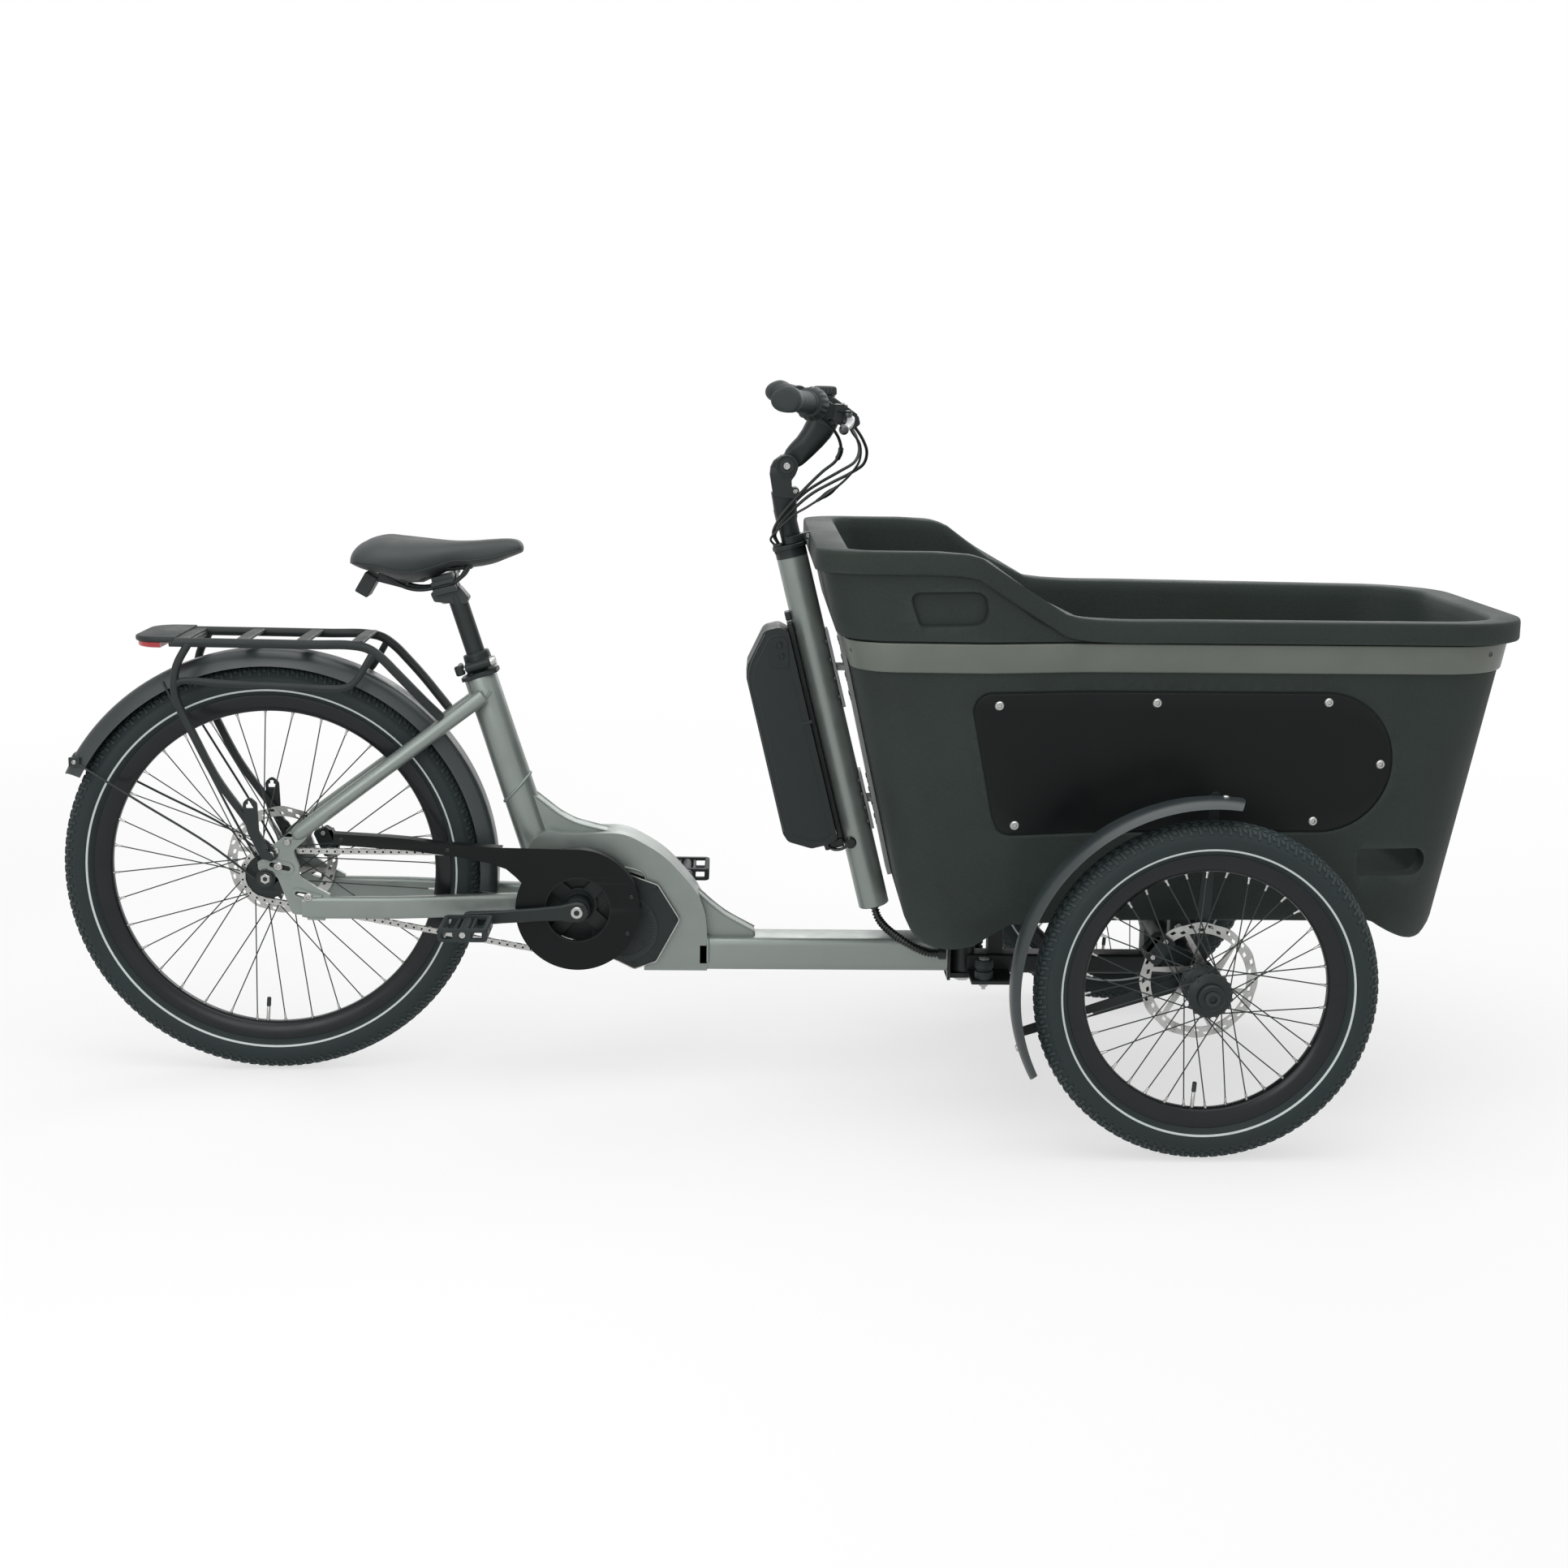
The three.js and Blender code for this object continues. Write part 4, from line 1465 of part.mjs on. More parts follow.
function chassis() {
  const barrelLow = BEAM_LOW_Z - PIVOT_LUG_OVERHANG + GAP;
  const barrelHigh = BEAM_HIGH_Z + PIVOT_LUG_OVERHANG - GAP;
  const barrel = rod(at(PIVOT_X, 0, barrelLow), at(PIVOT_X, 0, barrelHigh), PIVOT_BARREL_RADIUS, 12);
  const spineLow = barrelLow;
  const spineHigh = spineLow + SPINE_HEIGHT;
  const spine = railBlock(PIVOT_X, WHEELBASE + CROSS_BEAM_RADIUS, 0, SPINE_WIDTH, spineLow, spineHigh);
  const barrelBore = rod(
    at(PIVOT_X, 0, barrelLow - CUT_OVERRUN),
    at(PIVOT_X, 0, barrelHigh + CUT_OVERRUN),
    PIVOT_PIN_RADIUS + RUNNING_GAP,
    12,
  );
  const spineTrim = railBlock(
    PIVOT_X - SPINE_WIDTH,
    PIVOT_X,
    0,
    SPINE_WIDTH * 2,
    spineLow - CUT_OVERRUN,
    spineHigh + CUT_OVERRUN,
  );
  const railTop = BOX_LOW_Z + BOX_BOTTOM_SHARES[5][1] * BOX_HEIGHT - GAP;
  const railLow = railTop - CHASSIS_RAIL_HEIGHT;
  const beamRight = at(WHEELBASE, -CROSS_BEAM_HALF, FRONT_AXLE_Z);
  const beamLeft = at(WHEELBASE, CROSS_BEAM_HALF, FRONT_AXLE_Z);
  const crossBeam = rod(beamRight, beamLeft, CROSS_BEAM_RADIUS, 10);
  const riser = railBlock(
    WHEELBASE - RISER_WIDTH / 2,
    WHEELBASE + RISER_WIDTH / 2,
    0,
    SPINE_WIDTH,
    spineLow,
    FRONT_AXLE_Z,
  );
  const half = CHASSIS_RAIL_WIDTH / 2;
  const railFrame = cut(
    railBlock(
      CHASSIS_RAIL_REAR_X - half,
      CHASSIS_RAIL_FRONT_X + half,
      0,
      (CHASSIS_RAIL_Y + half) * 2,
      railLow,
      railTop,
    ),
    railBlock(
      CHASSIS_RAIL_REAR_X + half,
      CHASSIS_RAIL_FRONT_X - half,
      0,
      (CHASSIS_RAIL_Y - half) * 2,
      railLow - CUT_OVERRUN,
      railTop + CUT_OVERRUN,
    ),
  );
  const bodies = [spine, crossBeam, riser, railFrame];
  bodies.push(railBlock(
    CHASSIS_RAIL_REAR_X - CHASSIS_RAIL_WIDTH / 2,
    CHASSIS_RAIL_REAR_X + CHASSIS_RAIL_WIDTH / 2,
    0,
    CHASSIS_POST_WIDTH,
    spineLow,
    railTop,
  ));
  for (const side of [-1, 1]) {
    const y = side * CHASSIS_RAIL_Y;
    bodies.push(railBlock(
      WHEELBASE - CHASSIS_POST_WIDTH / 2,
      WHEELBASE + CHASSIS_POST_WIDTH / 2,
      y,
      CHASSIS_RAIL_WIDTH,
      FRONT_AXLE_Z,
      railTop,
    ));
    const inner = side * CROSS_BEAM_HALF;
    const outer = inner + side * UPRIGHT_THICKNESS;
    const root = new THREE.Vector2(WHEELBASE, FRONT_AXLE_Z);
    const lean = FRONT_CALIPER_ANGLE;
    const tip = arcPoints(root.x, root.y, CALIPER_SEAT_RADIUS, lean, lean, 1)[0];
    const upright = linkOutline(root, UPRIGHT_RADIUS, tip, UPRIGHT_ARM_WIDTH / 2, 3);
    bodies.push(plate(upright, inner - side * GAP, outer));
    const stubEnd = side * (FRONT_HUB_END_Y - FRONT_HUB_CAP_THICKNESS - RUNNING_GAP);
    const stubRoot = at(WHEELBASE, inner, FRONT_AXLE_Z);
    bodies.push(rod(stubRoot, at(WHEELBASE, stubEnd, FRONT_AXLE_Z), STUB_AXLE_RADIUS, 10));
    const bushLow = spineLow + BUSH_BRACKET_THICKNESS;
    const bush = at(CHASSIS_RAIL_REAR_X - CHASSIS_RAIL_WIDTH, y, bushLow);
    bush.y = side * BUSH_Y;
    bodies.push(rod(bush, reach(bush, [UP, BUSH_HEIGHT]), BUSH_RADIUS, 10));
    const boltFoot = reach(bush, [UP, -BUSH_BRACKET_THICKNESS - BUSH_BOLT_LENGTH]);
    bodies.push(rod(boltFoot, bush, BUSH_BOLT_RADIUS, 6));
    const bracketEnd = CHASSIS_RAIL_REAR_X + CHASSIS_RAIL_WIDTH / 2;
    const bracketWidth = BUSH_Y + BUSH_RADIUS * 2;
    const bracketStart = bush.x - BUSH_RADIUS;
    const bracket = railBlock(bracketStart, bracketEnd, side * BUSH_Y / 2, bracketWidth, spineLow, bushLow);
    bodies.push(bracket);
  }
  const trimmed = cut(join(...bodies), spineTrim);
  piece('chassis', cut(join(trimmed, barrel), barrelBore), FINISH.black);
}

// Cargo box

// Plan outline of the box at one height: rear corners, shoulders, waist and front corners.
function boxPlan(rearX, frontX, widthShare, inset) {
  const length = frontX - rearX;
  const rearHalf = BOX_HALF_WIDTH_REAR * widthShare - inset;
  const middleHalf = BOX_HALF_WIDTH_MIDDLE * widthShare - inset;
  const frontHalf = BOX_HALF_WIDTH_FRONT * widthShare - inset;
  const rear = rearX + inset;
  const front = frontX - inset;
  const rearCorner = Math.max(BOX_REAR_CORNER - inset, BOX_WALL);
  const frontCorner = Math.max(BOX_FRONT_CORNER - inset, BOX_WALL);
  const half = [
    ...arcPoints(rear + rearCorner, rearHalf - rearCorner, rearCorner, 180, 90, CORNER_STEPS),
    new THREE.Vector2(rearX + BOX_SHOULDER_SHARE * length, rearHalf),
    new THREE.Vector2(rearX + BOX_WAIST_SHARE * length, middleHalf),
    ...arcPoints(front - frontCorner, frontHalf - frontCorner, frontCorner, 90, 0, CORNER_STEPS),
  ];
  const mirrored = half.slice().reverse().map((point) => new THREE.Vector2(point.x, -point.y));
  return [...half, ...mirrored].reverse();
}

// A body whose plan changes evenly from a lower to an upper outline.
function loft(lowerPlan, lowZ, upperPlan, highZ) {
  const count = lowerPlan.length;
  const positions = [];
  for (const [plan, z] of [[lowerPlan, lowZ], [upperPlan, highZ]]) {
    for (const point of plan) {
      positions.push(point.x, point.y, z);
    }
  }
  const indices = [];
  for (let i = 0; i < count; i++) {
    const next = (i + 1) % count;
    indices.push(i, next, next + count, i, next + count, i + count);
  }
  for (const [a, b, c] of THREE.ShapeUtils.triangulateShape(lowerPlan, [])) {
    indices.push(c, b, a);
  }
  for (const [a, b, c] of THREE.ShapeUtils.triangulateShape(upperPlan, [])) {
    indices.push(a + count, b + count, c + count);
  }
  const geometry = new THREE.BufferGeometry();
  geometry.setAttribute('position', new THREE.Float32BufferAttribute(positions, 3));
  geometry.setIndex(indices);
  return solid(geometry);
}

// The box's walls, grown outwards by a negative inset or inwards by a positive one.
function boxWalls(inset) {
  const footRear = BOX_REAR_X + BOX_REAR_LEAN;
  const footFront = BOX_FRONT_X - BOX_FRONT_LEAN;
  const lower = boxPlan(footRear, footFront, BOX_FOOT_HALF_SHARE, inset);
  const upper = boxPlan(BOX_REAR_X, BOX_FRONT_X, 1, inset);
  return loft(lower, BOX_LOW_Z, upper, BOX_HIGH_Z);
}

function sideRegion(outline, closeZ) {
  const first = outline[0];
  const last = outline[outline.length - 1];
  const points = [...outline, new THREE.Vector2(last.x, closeZ), new THREE.Vector2(first.x, closeZ)];
  const half = BOX_HALF_WIDTH_REAR * 2;
  return plate(points, -half, half);
}

function panelOutline() {
  const radius = (PANEL_TOP_Z - PANEL_LOW_Z) / 2;
  const corner = PANEL_CORNER_SHARE * (PANEL_TOP_Z - PANEL_LOW_Z);
  const lower = arcPoints(PANEL_LEFT_LOW_X + corner, PANEL_LOW_Z + corner, corner, 188, 270, 3);
  const upper = arcPoints(PANEL_LEFT_TOP_X + corner, PANEL_TOP_Z - corner, corner, 90, 188, 3);
  const round = arcPoints(PANEL_ROUND_X, PANEL_LOW_Z + radius, radius, -90, 90, 9);
  return [...lower, ...round, ...upper];
}

function handSlotOutline() {
  const radius = HAND_SLOT_HEIGHT / 2;
  const rear = HAND_SLOT_X - HAND_SLOT_LENGTH / 2;
  const front = HAND_SLOT_X + HAND_SLOT_LENGTH / 2 - radius;
  return [
    new THREE.Vector2(rear, HAND_SLOT_Z + radius),
    new THREE.Vector2(rear, HAND_SLOT_Z - radius),
    ...arcPoints(front, HAND_SLOT_Z, radius, -90, 90, 4),
  ];
}

function cargoBox() {
  const topLine = placed(BOX_TOP_SHARES, BOX_RIM_REAR_X, BOX_LOW_Z, BOX_LENGTH, BOX_HEIGHT);
  const above = sideRegion(topLine, BOX_HIGH_Z + BOX_HEIGHT);
  const bottomLine = placed(BOX_BOTTOM_SHARES, BOX_RIM_REAR_X, BOX_LOW_Z, BOX_LENGTH, BOX_HEIGHT);
  const below = sideRegion(bottomLine, BOX_LOW_Z - BOX_HEIGHT);
  const spread = BOX_RIM_OVERHANG / 2;
  const rimPlan = boxPlan(BOX_RIM_REAR_X + spread, BOX_RIM_FRONT_X - spread, 1, -spread);
  const rimLine = topLine.map((point) => new THREE.Vector2(point.x, point.y - BOX_RIM_DEPTH));
  const belowRim = sideRegion(rimLine, BOX_LOW_Z - BOX_HEIGHT);
  const rim = cut(slab(rimPlan, BOX_LOW_Z, BOX_HIGH_Z), belowRim);
  const floorZ = BOX_LOW_Z + BOX_BOTTOM_SHARES[5][1] * BOX_HEIGHT + BOX_FLOOR;
  const walls = boxWalls(0);
  const widePlan = boxPlan(BOX_RIM_REAR_X, BOX_RIM_FRONT_X, 1, -BOX_WALL);
  const everything = slab(widePlan, floorZ, BOX_HIGH_Z + BOX_HEIGHT);
  const hollow = boxWalls(BOX_WALL).intersect(everything);
  const mouthPlan = boxPlan(BOX_REAR_X, BOX_FRONT_X, 1, BOX_WALL);
  const lid = slab(mouthPlan, BOX_HIGH_Z - GAP, BOX_HIGH_Z + CUT_OVERRUN);
  const slots = plate(handSlotOutline(), -BOX_HALF_WIDTH_REAR * 2, BOX_HALF_WIDTH_REAR * 2);
  const body = cut(join(walls, rim), above, below, hollow, lid, slots);
  piece('cargo_box', body, FINISH.foam);
}

// A grey band that goes round the box, just outside its wall.
function boxBand() {
  const outer = boxWalls(-BAND_THICKNESS - GAP);
  const inner = boxWalls(-GAP);
  const high = BOX_HALF_WIDTH_REAR * 3;
  const layerMiddle = at((BOX_REAR_X + BOX_FRONT_X) / 2, 0, (BAND_LOW_Z + BAND_HIGH_Z) / 2);
  const layer = block(high * 2, high, BAND_HIGH_Z - BAND_LOW_Z, layerMiddle);
  piece('box_band', cut(outer, inner).intersect(layer), FINISH.band);
}

function sidePanel(side, label) {
  const outer = boxWalls(-PANEL_THICKNESS - GAP);
  const inner = boxWalls(-GAP);
  const far = side * BOX_HALF_WIDTH_REAR * 2;
  const region = plate(panelOutline(), 0, far);
  let body = cut(outer, inner).intersect(region);
  const length = PANEL_ROUND_X - PANEL_LEFT_TOP_X + (PANEL_TOP_Z - PANEL_LOW_Z) / 2;
  const spots = placed(PANEL_SCREW_SHARES, PANEL_LEFT_TOP_X, PANEL_LOW_Z, length, PANEL_TOP_Z - PANEL_LOW_Z);
  const proud = cut(boxWalls(-PANEL_THICKNESS - GAP - PANEL_SCREW_HEIGHT), boxWalls(-PANEL_THICKNESS));
  for (const spot of spots) {
    body = join(body, plate(circlePoints(spot.x, spot.y, PANEL_SCREW_RADIUS, 6), 0, far).intersect(proud));
  }
  piece(`side_panel_${label}`, body, FINISH.panel);
}

// Steering tube and what it carries

const TUBE_TOP = at(TUBE_TOP_X, 0, TUBE_TOP_Z);
const TUBE_FOOT = reach(TUBE_TOP, [TUBE_DIRECTION, -TUBE_LENGTH]);
const HANDLE_AXIS_TOP = reach(TUBE_TOP, [TUBE_BACK, -HANDLE_POST_OFFSET]);
const CABLE_PORT = reach(TUBE_TOP, [TUBE_BACK, TUBE_RADIUS - CABLE_PORT_RADIUS]);

function tubePoint(up, back) {
  return reach(TUBE_FOOT, [TUBE_DIRECTION, up], [TUBE_BACK, back]);
}

function steeringTube() {
  const shell = rod(TUBE_FOOT, TUBE_TOP, TUBE_RADIUS, 14);
  const capFoot = reach(TUBE_TOP, [TUBE_DIRECTION, -TUBE_CAP_HEIGHT]);
  const cap = rod(capFoot, reach(TUBE_TOP, [TUBE_DIRECTION, TUBE_CAP_LIP]), TUBE_RADIUS + TUBE_CAP_LIP, 14);
  const over = TUBE_CAP_LIP + CUT_OVERRUN;
  const bore = rod(
    reach(HANDLE_AXIS_TOP, [TUBE_DIRECTION, -TUBE_BORE_DEPTH]),
    reach(HANDLE_AXIS_TOP, [TUBE_DIRECTION, over]),
    HANDLE_POST_RADIUS + GAP,
    14,
  );
  const port = leaningBlock(
    CABLE_PORT_RADIUS * 2,
    CABLE_PORT_RADIUS * 3,
    CABLE_PORT_DEPTH * 2,
    reach(CABLE_PORT, [TUBE_DIRECTION, over], [TUBE_BACK, -CABLE_PORT_RADIUS / 2]),
    TUBE_DIRECTION,
  );
  const railStart = BATTERY_START;
  const railBack = TUBE_RADIUS + BATTERY_RAIL_THICKNESS / 2 - JOINT_SINK;
  const railMiddle = tubePoint(railStart + BATTERY_LENGTH / 2, railBack);
  const railDepth = BATTERY_RAIL_THICKNESS + JOINT_SINK * 2;
  const rail = leaningBlock(railDepth, BATTERY_RAIL_WIDTH, BATTERY_LENGTH, railMiddle, TUBE_DIRECTION);
  const catchBack = TUBE_RADIUS + (BATTERY_RAIL_THICKNESS + BATTERY_CATCH_DEPTH) / 2;
  const catchMiddle = tubePoint(railStart - BATTERY_CATCH_LENGTH / 2 - GAP, catchBack - JOINT_SINK);
  const catchBlock = leaningBlock(
    BATTERY_RAIL_THICKNESS + BATTERY_CATCH_DEPTH,
    BATTERY_RAIL_WIDTH,
    BATTERY_CATCH_LENGTH,
    catchMiddle,
    TUBE_DIRECTION,
  );
  const socket = rod(
    reach(TUBE_FOOT, [TUBE_DIRECTION, -CUT_OVERRUN]),
    reach(TUBE_FOOT, [TUBE_DIRECTION, HOSE_SOCKET_DEPTH]),
    HOSE_RADIUS + GAP * 4,
    HOSE_SIDES,
  );
  const brackets = BRACKET_HEIGHTS.map((up) => {
    const start = tubePoint(up, 0);
    const low = start.z - BRACKET_HEIGHT / 2;
    return railBlock(start.x, start.x + BOX_WALL * 4, 0, BRACKET_WIDTH, low, low + BRACKET_HEIGHT);
  });
  const wallCut = boxWalls(-GAP);
  const body = cut(join(shell, cap, rail, catchBlock, ...brackets), bore, port, socket, wallCut);
  piece('steering_tube', body, FINISH.frame);
}

function battery() {
  const front = TUBE_RADIUS + BATTERY_RAIL_THICKNESS + GAP;
  const points = BATTERY_OUTLINE_SHARES.map(([along, back]) => {
    const spot = tubePoint(BATTERY_START + along * BATTERY_LENGTH, front + back * BATTERY_DEPTH);
    return new THREE.Vector2(spot.x, spot.z);
  });
  piece('battery', plate(points, -BATTERY_HALF_WIDTH, BATTERY_HALF_WIDTH), FINISH.black);
}

// A point on the hose's last stretch along the beam, a given distance behind its end.
function hoseEnd(back) {
  const y = -FRAME_HALF_WIDTH - HOSE_SIDE_GAP - HOSE_RADIUS;
  return at(BEAM_END_X - HOSE_CLIP_WALL - back, y, HOSE_CLIP_Z);
}

// A ribbed hose: an outer skin of crests and grooves and an open bore.
function cableConduit() {
  const points = [
    reach(TUBE_FOOT, [TUBE_DIRECTION, HOSE_SOCKET_DEPTH - GAP]),
    reach(TUBE_FOOT, [TUBE_DIRECTION, GAP - HOSE_RADIUS]),
    ...HOSE_ROUTE.map(([x, y, z]) => at(x, y, z)),
    hoseEnd(HOSE_CLIP_LENGTH + HOSE_RADIUS * 2),
    hoseEnd(0),
  ];
  const curve = new THREE.CatmullRomCurve3(points, false, 'centripetal');
  const ribs = Math.floor(curve.getLength() / HOSE_RIB_PITCH);
  const ringStops = [0];
  const skin = [];
  const bore = [];
  const end = 0.5 / ribs;
  skin.push([0, HOSE_RADIUS - HOSE_GROOVE]);
  for (let i = 0; i < ribs; i++) {
    skin.push([(i + 0.3) / ribs, HOSE_RADIUS]);
    skin.push([(i + 0.8) / ribs, HOSE_RADIUS - HOSE_GROOVE]);
    if (i && i % HOSE_BORE_STEP === 0) {
      ringStops.push(i / ribs);
    }
  }
  skin.push([1, HOSE_RADIUS - HOSE_GROOVE]);
  ringStops.push(1);
  ringStops.forEach((stop) => bore.push([stop, HOSE_BORE]));
  const rings = [...skin, ...bore.reverse()];
  const positions = [];
  for (const [stop, radius] of rings) {
    const centre = curve.getPointAt(stop);
    const ahead = curve.getTangentAt(THREE.MathUtils.clamp(stop, end, 1 - end));
    const across = ahead.clone().cross(LEFT).normalize();
    const side = ahead.clone().cross(across).normalize();
    for (let j = 0; j < HOSE_SIDES; j++) {
      const angle = (2 * Math.PI * j) / HOSE_SIDES;
      const point = reach(centre, [across, radius * Math.cos(angle)], [side, radius * Math.sin(angle)]);
      positions.push(point.x, point.y, point.z);
    }
  }
  const indices = [];
  for (let i = 0; i < rings.length; i++) {
    const nextRing = (i + 1) % rings.length;
    for (let j = 0; j < HOSE_SIDES; j++) {
      const next = (j + 1) % HOSE_SIDES;
      const a = i * HOSE_SIDES + j;
      const b = i * HOSE_SIDES + next;
      const c = nextRing * HOSE_SIDES + next;
      const d = nextRing * HOSE_SIDES + j;
      indices.push(a, b, c, a, c, d);
    }
  }
  const geometry = new THREE.BufferGeometry();
  geometry.setAttribute('position', new THREE.Float32BufferAttribute(positions, 3));
  geometry.setIndex(indices);
  piece('cable_conduit', solid(geometry), FINISH.black);
}

// Handlebar

const TILT = at(TILT_X, 0, TILT_Z);

function handlebarPost() {
  const foot = reach(HANDLE_AXIS_TOP, [TUBE_DIRECTION, -HANDLE_POST_INSERTION]);
  const neckTop = reach(TILT, [TUBE_DIRECTION, -TILT_RADIUS - TILT_NECK_LENGTH]);
  const axisUp = neckTop.clone().sub(HANDLE_AXIS_TOP).dot(TUBE_DIRECTION);
  const postTop = reach(HANDLE_AXIS_TOP, [TUBE_DIRECTION, axisUp]);
  const post = rod(foot, postTop, HANDLE_POST_RADIUS, 14);
  const halfFork = TILT_CENTRE_HALF + GAP + TILT_LUG_THICKNESS;
  const lugs = plate(circlePoints(TILT_X, TILT_Z, TILT_RADIUS, 12), -halfFork, halfFork);
  const root = new THREE.Vector2(postTop.x, postTop.z - HANDLE_POST_RADIUS / 2);
  const neck = plate(
    linkOutline(root, HANDLE_POST_RADIUS, new THREE.Vector2(TILT_X, TILT_Z), TILT_RADIUS, 4),
    -halfFork,
    halfFork,
  );
  const throat = rod(
    at(TILT_X, -TILT_CENTRE_HALF - GAP, TILT_Z),
    at(TILT_X, TILT_CENTRE_HALF + GAP, TILT_Z),
    TILT_RADIUS + RUNNING_GAP * 3,
    12,
  );
  const front = block(
    TILT_RADIUS * 2,
    (TILT_CENTRE_HALF + GAP) * 2,
    TILT_RADIUS * 2,
    at(TILT_X, 0, TILT_Z + TILT_RADIUS),
  );
  const pin = rod(at(TILT_X, -halfFork, TILT_Z), at(TILT_X, halfFork, TILT_Z), TILT_PIN_RADIUS, 12);
  const body = join(cut(join(lugs, neck), throat, front), post, pin);
  piece('handlebar_post', body, FINISH.black);
}

function stem() {
  const discOutline = circlePoints(TILT_X, TILT_Z, TILT_RADIUS, 12);
  const centreDisc = plate(discOutline, -TILT_CENTRE_HALF, TILT_CENTRE_HALF);
  const arm = plate(
    linkOutline(
      new THREE.Vector2(TILT_X, TILT_Z),
      STEM_ROOT_RADIUS,
      new THREE.Vector2(BAR_CLAMP_X, BAR_CLAMP_Z),
      BAR_CLAMP_RADIUS,
      5,
    ),
    -TILT_CENTRE_HALF,
    TILT_CENTRE_HALF,
  );
  const clampRight = at(BAR_CLAMP_X, -BAR_CLAMP_HALF, BAR_CLAMP_Z);
  const clampLeft = at(BAR_CLAMP_X, BAR_CLAMP_HALF, BAR_CLAMP_Z);
  const clamp = rod(clampRight, clampLeft, BAR_CLAMP_RADIUS, 14);
  const pinHole = rod(
    at(TILT_X, -TILT_CENTRE_HALF * 2, TILT_Z),
    at(TILT_X, TILT_CENTRE_HALF * 2, TILT_Z),
    TILT_PIN_RADIUS + RUNNING_GAP,
    12,
  );
  const barHole = rod(
    at(BAR_CLAMP_X, -BAR_CLAMP_HALF * 2, BAR_CLAMP_Z),
    at(BAR_CLAMP_X, BAR_CLAMP_HALF * 2, BAR_CLAMP_Z),
    BAR_RADIUS + BAR_RADIUS / 2 + GAP,
    14,
  );
  piece('stem', cut(join(centreDisc, arm, clamp), pinHole, barHole), FINISH.black);
}

function barCurve() {
  const points = [];
  const half = BAR_PATH_SHARES.map(
    ([along, back, up]) => [along * BAR_REACH_Y, back * BAR_SWEEP_BACK, up * BAR_RISE],
  );
  for (const [y, back, up] of half.slice(1).reverse()) {
    points.push(at(BAR_CLAMP_X - back, -y, BAR_CLAMP_Z + up));
  }
  for (const [y, back, up] of half) {
    points.push(at(BAR_CLAMP_X - back, y, BAR_CLAMP_Z + up));
  }
  return new THREE.CatmullRomCurve3(points, false, 'centripetal');
}

// Place and heading on the bar, counted from its middle out to one grip.
function onBar(side, share) {
  const curve = barCurve();
  const t = 0.5 + (side * share) / 2;
  return { spot: curve.getPointAt(t), heading: curve.getTangentAt(t).multiplyScalar(side) };
}

function handlebar() {
  const curve = barCurve();
  const section = new THREE.Shape(circlePoints(0, 0, BAR_RADIUS, BAR_SIDES));
  const options = { steps: BAR_STEPS, extrudePath: curve, bevelEnabled: false };
  const bar = solid(new THREE.ExtrudeGeometry(section, options));
  const sleeve = rod(
    at(BAR_CLAMP_X, -BAR_CLAMP_HALF * 1.6, BAR_CLAMP_Z),
    at(BAR_CLAMP_X, BAR_CLAMP_HALF * 1.6, BAR_CLAMP_Z),
    BAR_RADIUS + BAR_RADIUS / 2,
    14,
  );
  piece('handlebar', join(bar, sleeve), FINISH.black);
}

// The bar's clearance body, cut from everything that is clamped on the bar.
function barTool() {
  const curve = barCurve();
  const section = new THREE.Shape(circlePoints(0, 0, BAR_RADIUS + GAP * 1.4, BAR_SIDES));
  const options = { steps: BAR_STEPS, extrudePath: curve, bevelEnabled: false };
  return solid(new THREE.ExtrudeGeometry(section, options));
}

function gripPlace(side) {
  const barLength = barCurve().getLength() / 2;
  const { spot, heading } = onBar(side, 1 - GRIP_LENGTH / barLength);
  return { start: spot, heading, barLength };
}

function grip(side, label) {
  const { start } = gripPlace(side);
  const end = onBar(side, 1);
  const outer = reach(end.spot, [end.heading, GRIP_END]);
  const body = rod(start, outer, GRIP_RADIUS, 12);
  piece(`grip_${label}`, cut(body, barTool()), FINISH.rubber);
}

function gearShifter() {
  const { barLength } = gripPlace(-1);
  const outer = onBar(-1, 1 - (GRIP_LENGTH + SHIFTER_GAP) / barLength).spot;
  const inner = onBar(-1, 1 - (GRIP_LENGTH + SHIFTER_LENGTH) / barLength).spot;
  const outward = outer.clone().sub(inner).normalize();
  const bore = rod(
    reach(inner, [outward, -CUT_OVERRUN]),
    reach(outer, [outward, CUT_OVERRUN]),
    BAR_RADIUS + SHIFTER_CLEARANCE,
    14,
  );
  piece('gear_shifter', cut(rod(inner, outer, SHIFTER_RADIUS, 14), bore), FINISH.black);
}

function masterFrame(side) {
  const { spot, heading } = onBar(side, MASTER_SHARE);
  const ahead = at(Math.cos(rad(MASTER_FORWARD_LEAN)), 0, -Math.sin(rad(MASTER_FORWARD_LEAN)));
  return { spot, heading, ahead };
}

function brakeMaster(side, label) {
  const { spot, heading, ahead } = masterFrame(side);
  const clamp = rod(
    reach(spot, [heading, -MASTER_CLAMP_LENGTH / 2]),
    reach(spot, [heading, MASTER_CLAMP_LENGTH / 2]),
    MASTER_CLAMP_RADIUS,
    10,
  );
  const nose = reach(spot, [ahead, MASTER_REACH - MASTER_RADIUS]);
  const arm = rod(reach(spot, [ahead, MASTER_CLAMP_RADIUS / 2]), nose, MASTER_RADIUS * 0.8, 6);
  const cylinderInner = reach(nose, [LEFT, -side * MASTER_REACH * 0.6], [UP, MASTER_RADIUS / 2]);
  const cylinderOuter = reach(nose, [LEFT, side * MASTER_RADIUS]);
  const cylinder = rod(cylinderInner, cylinderOuter, MASTER_RADIUS, 8);
  piece(`brake_master_${label}`, cut(join(clamp, arm, cylinder), barTool()), FINISH.black);
}

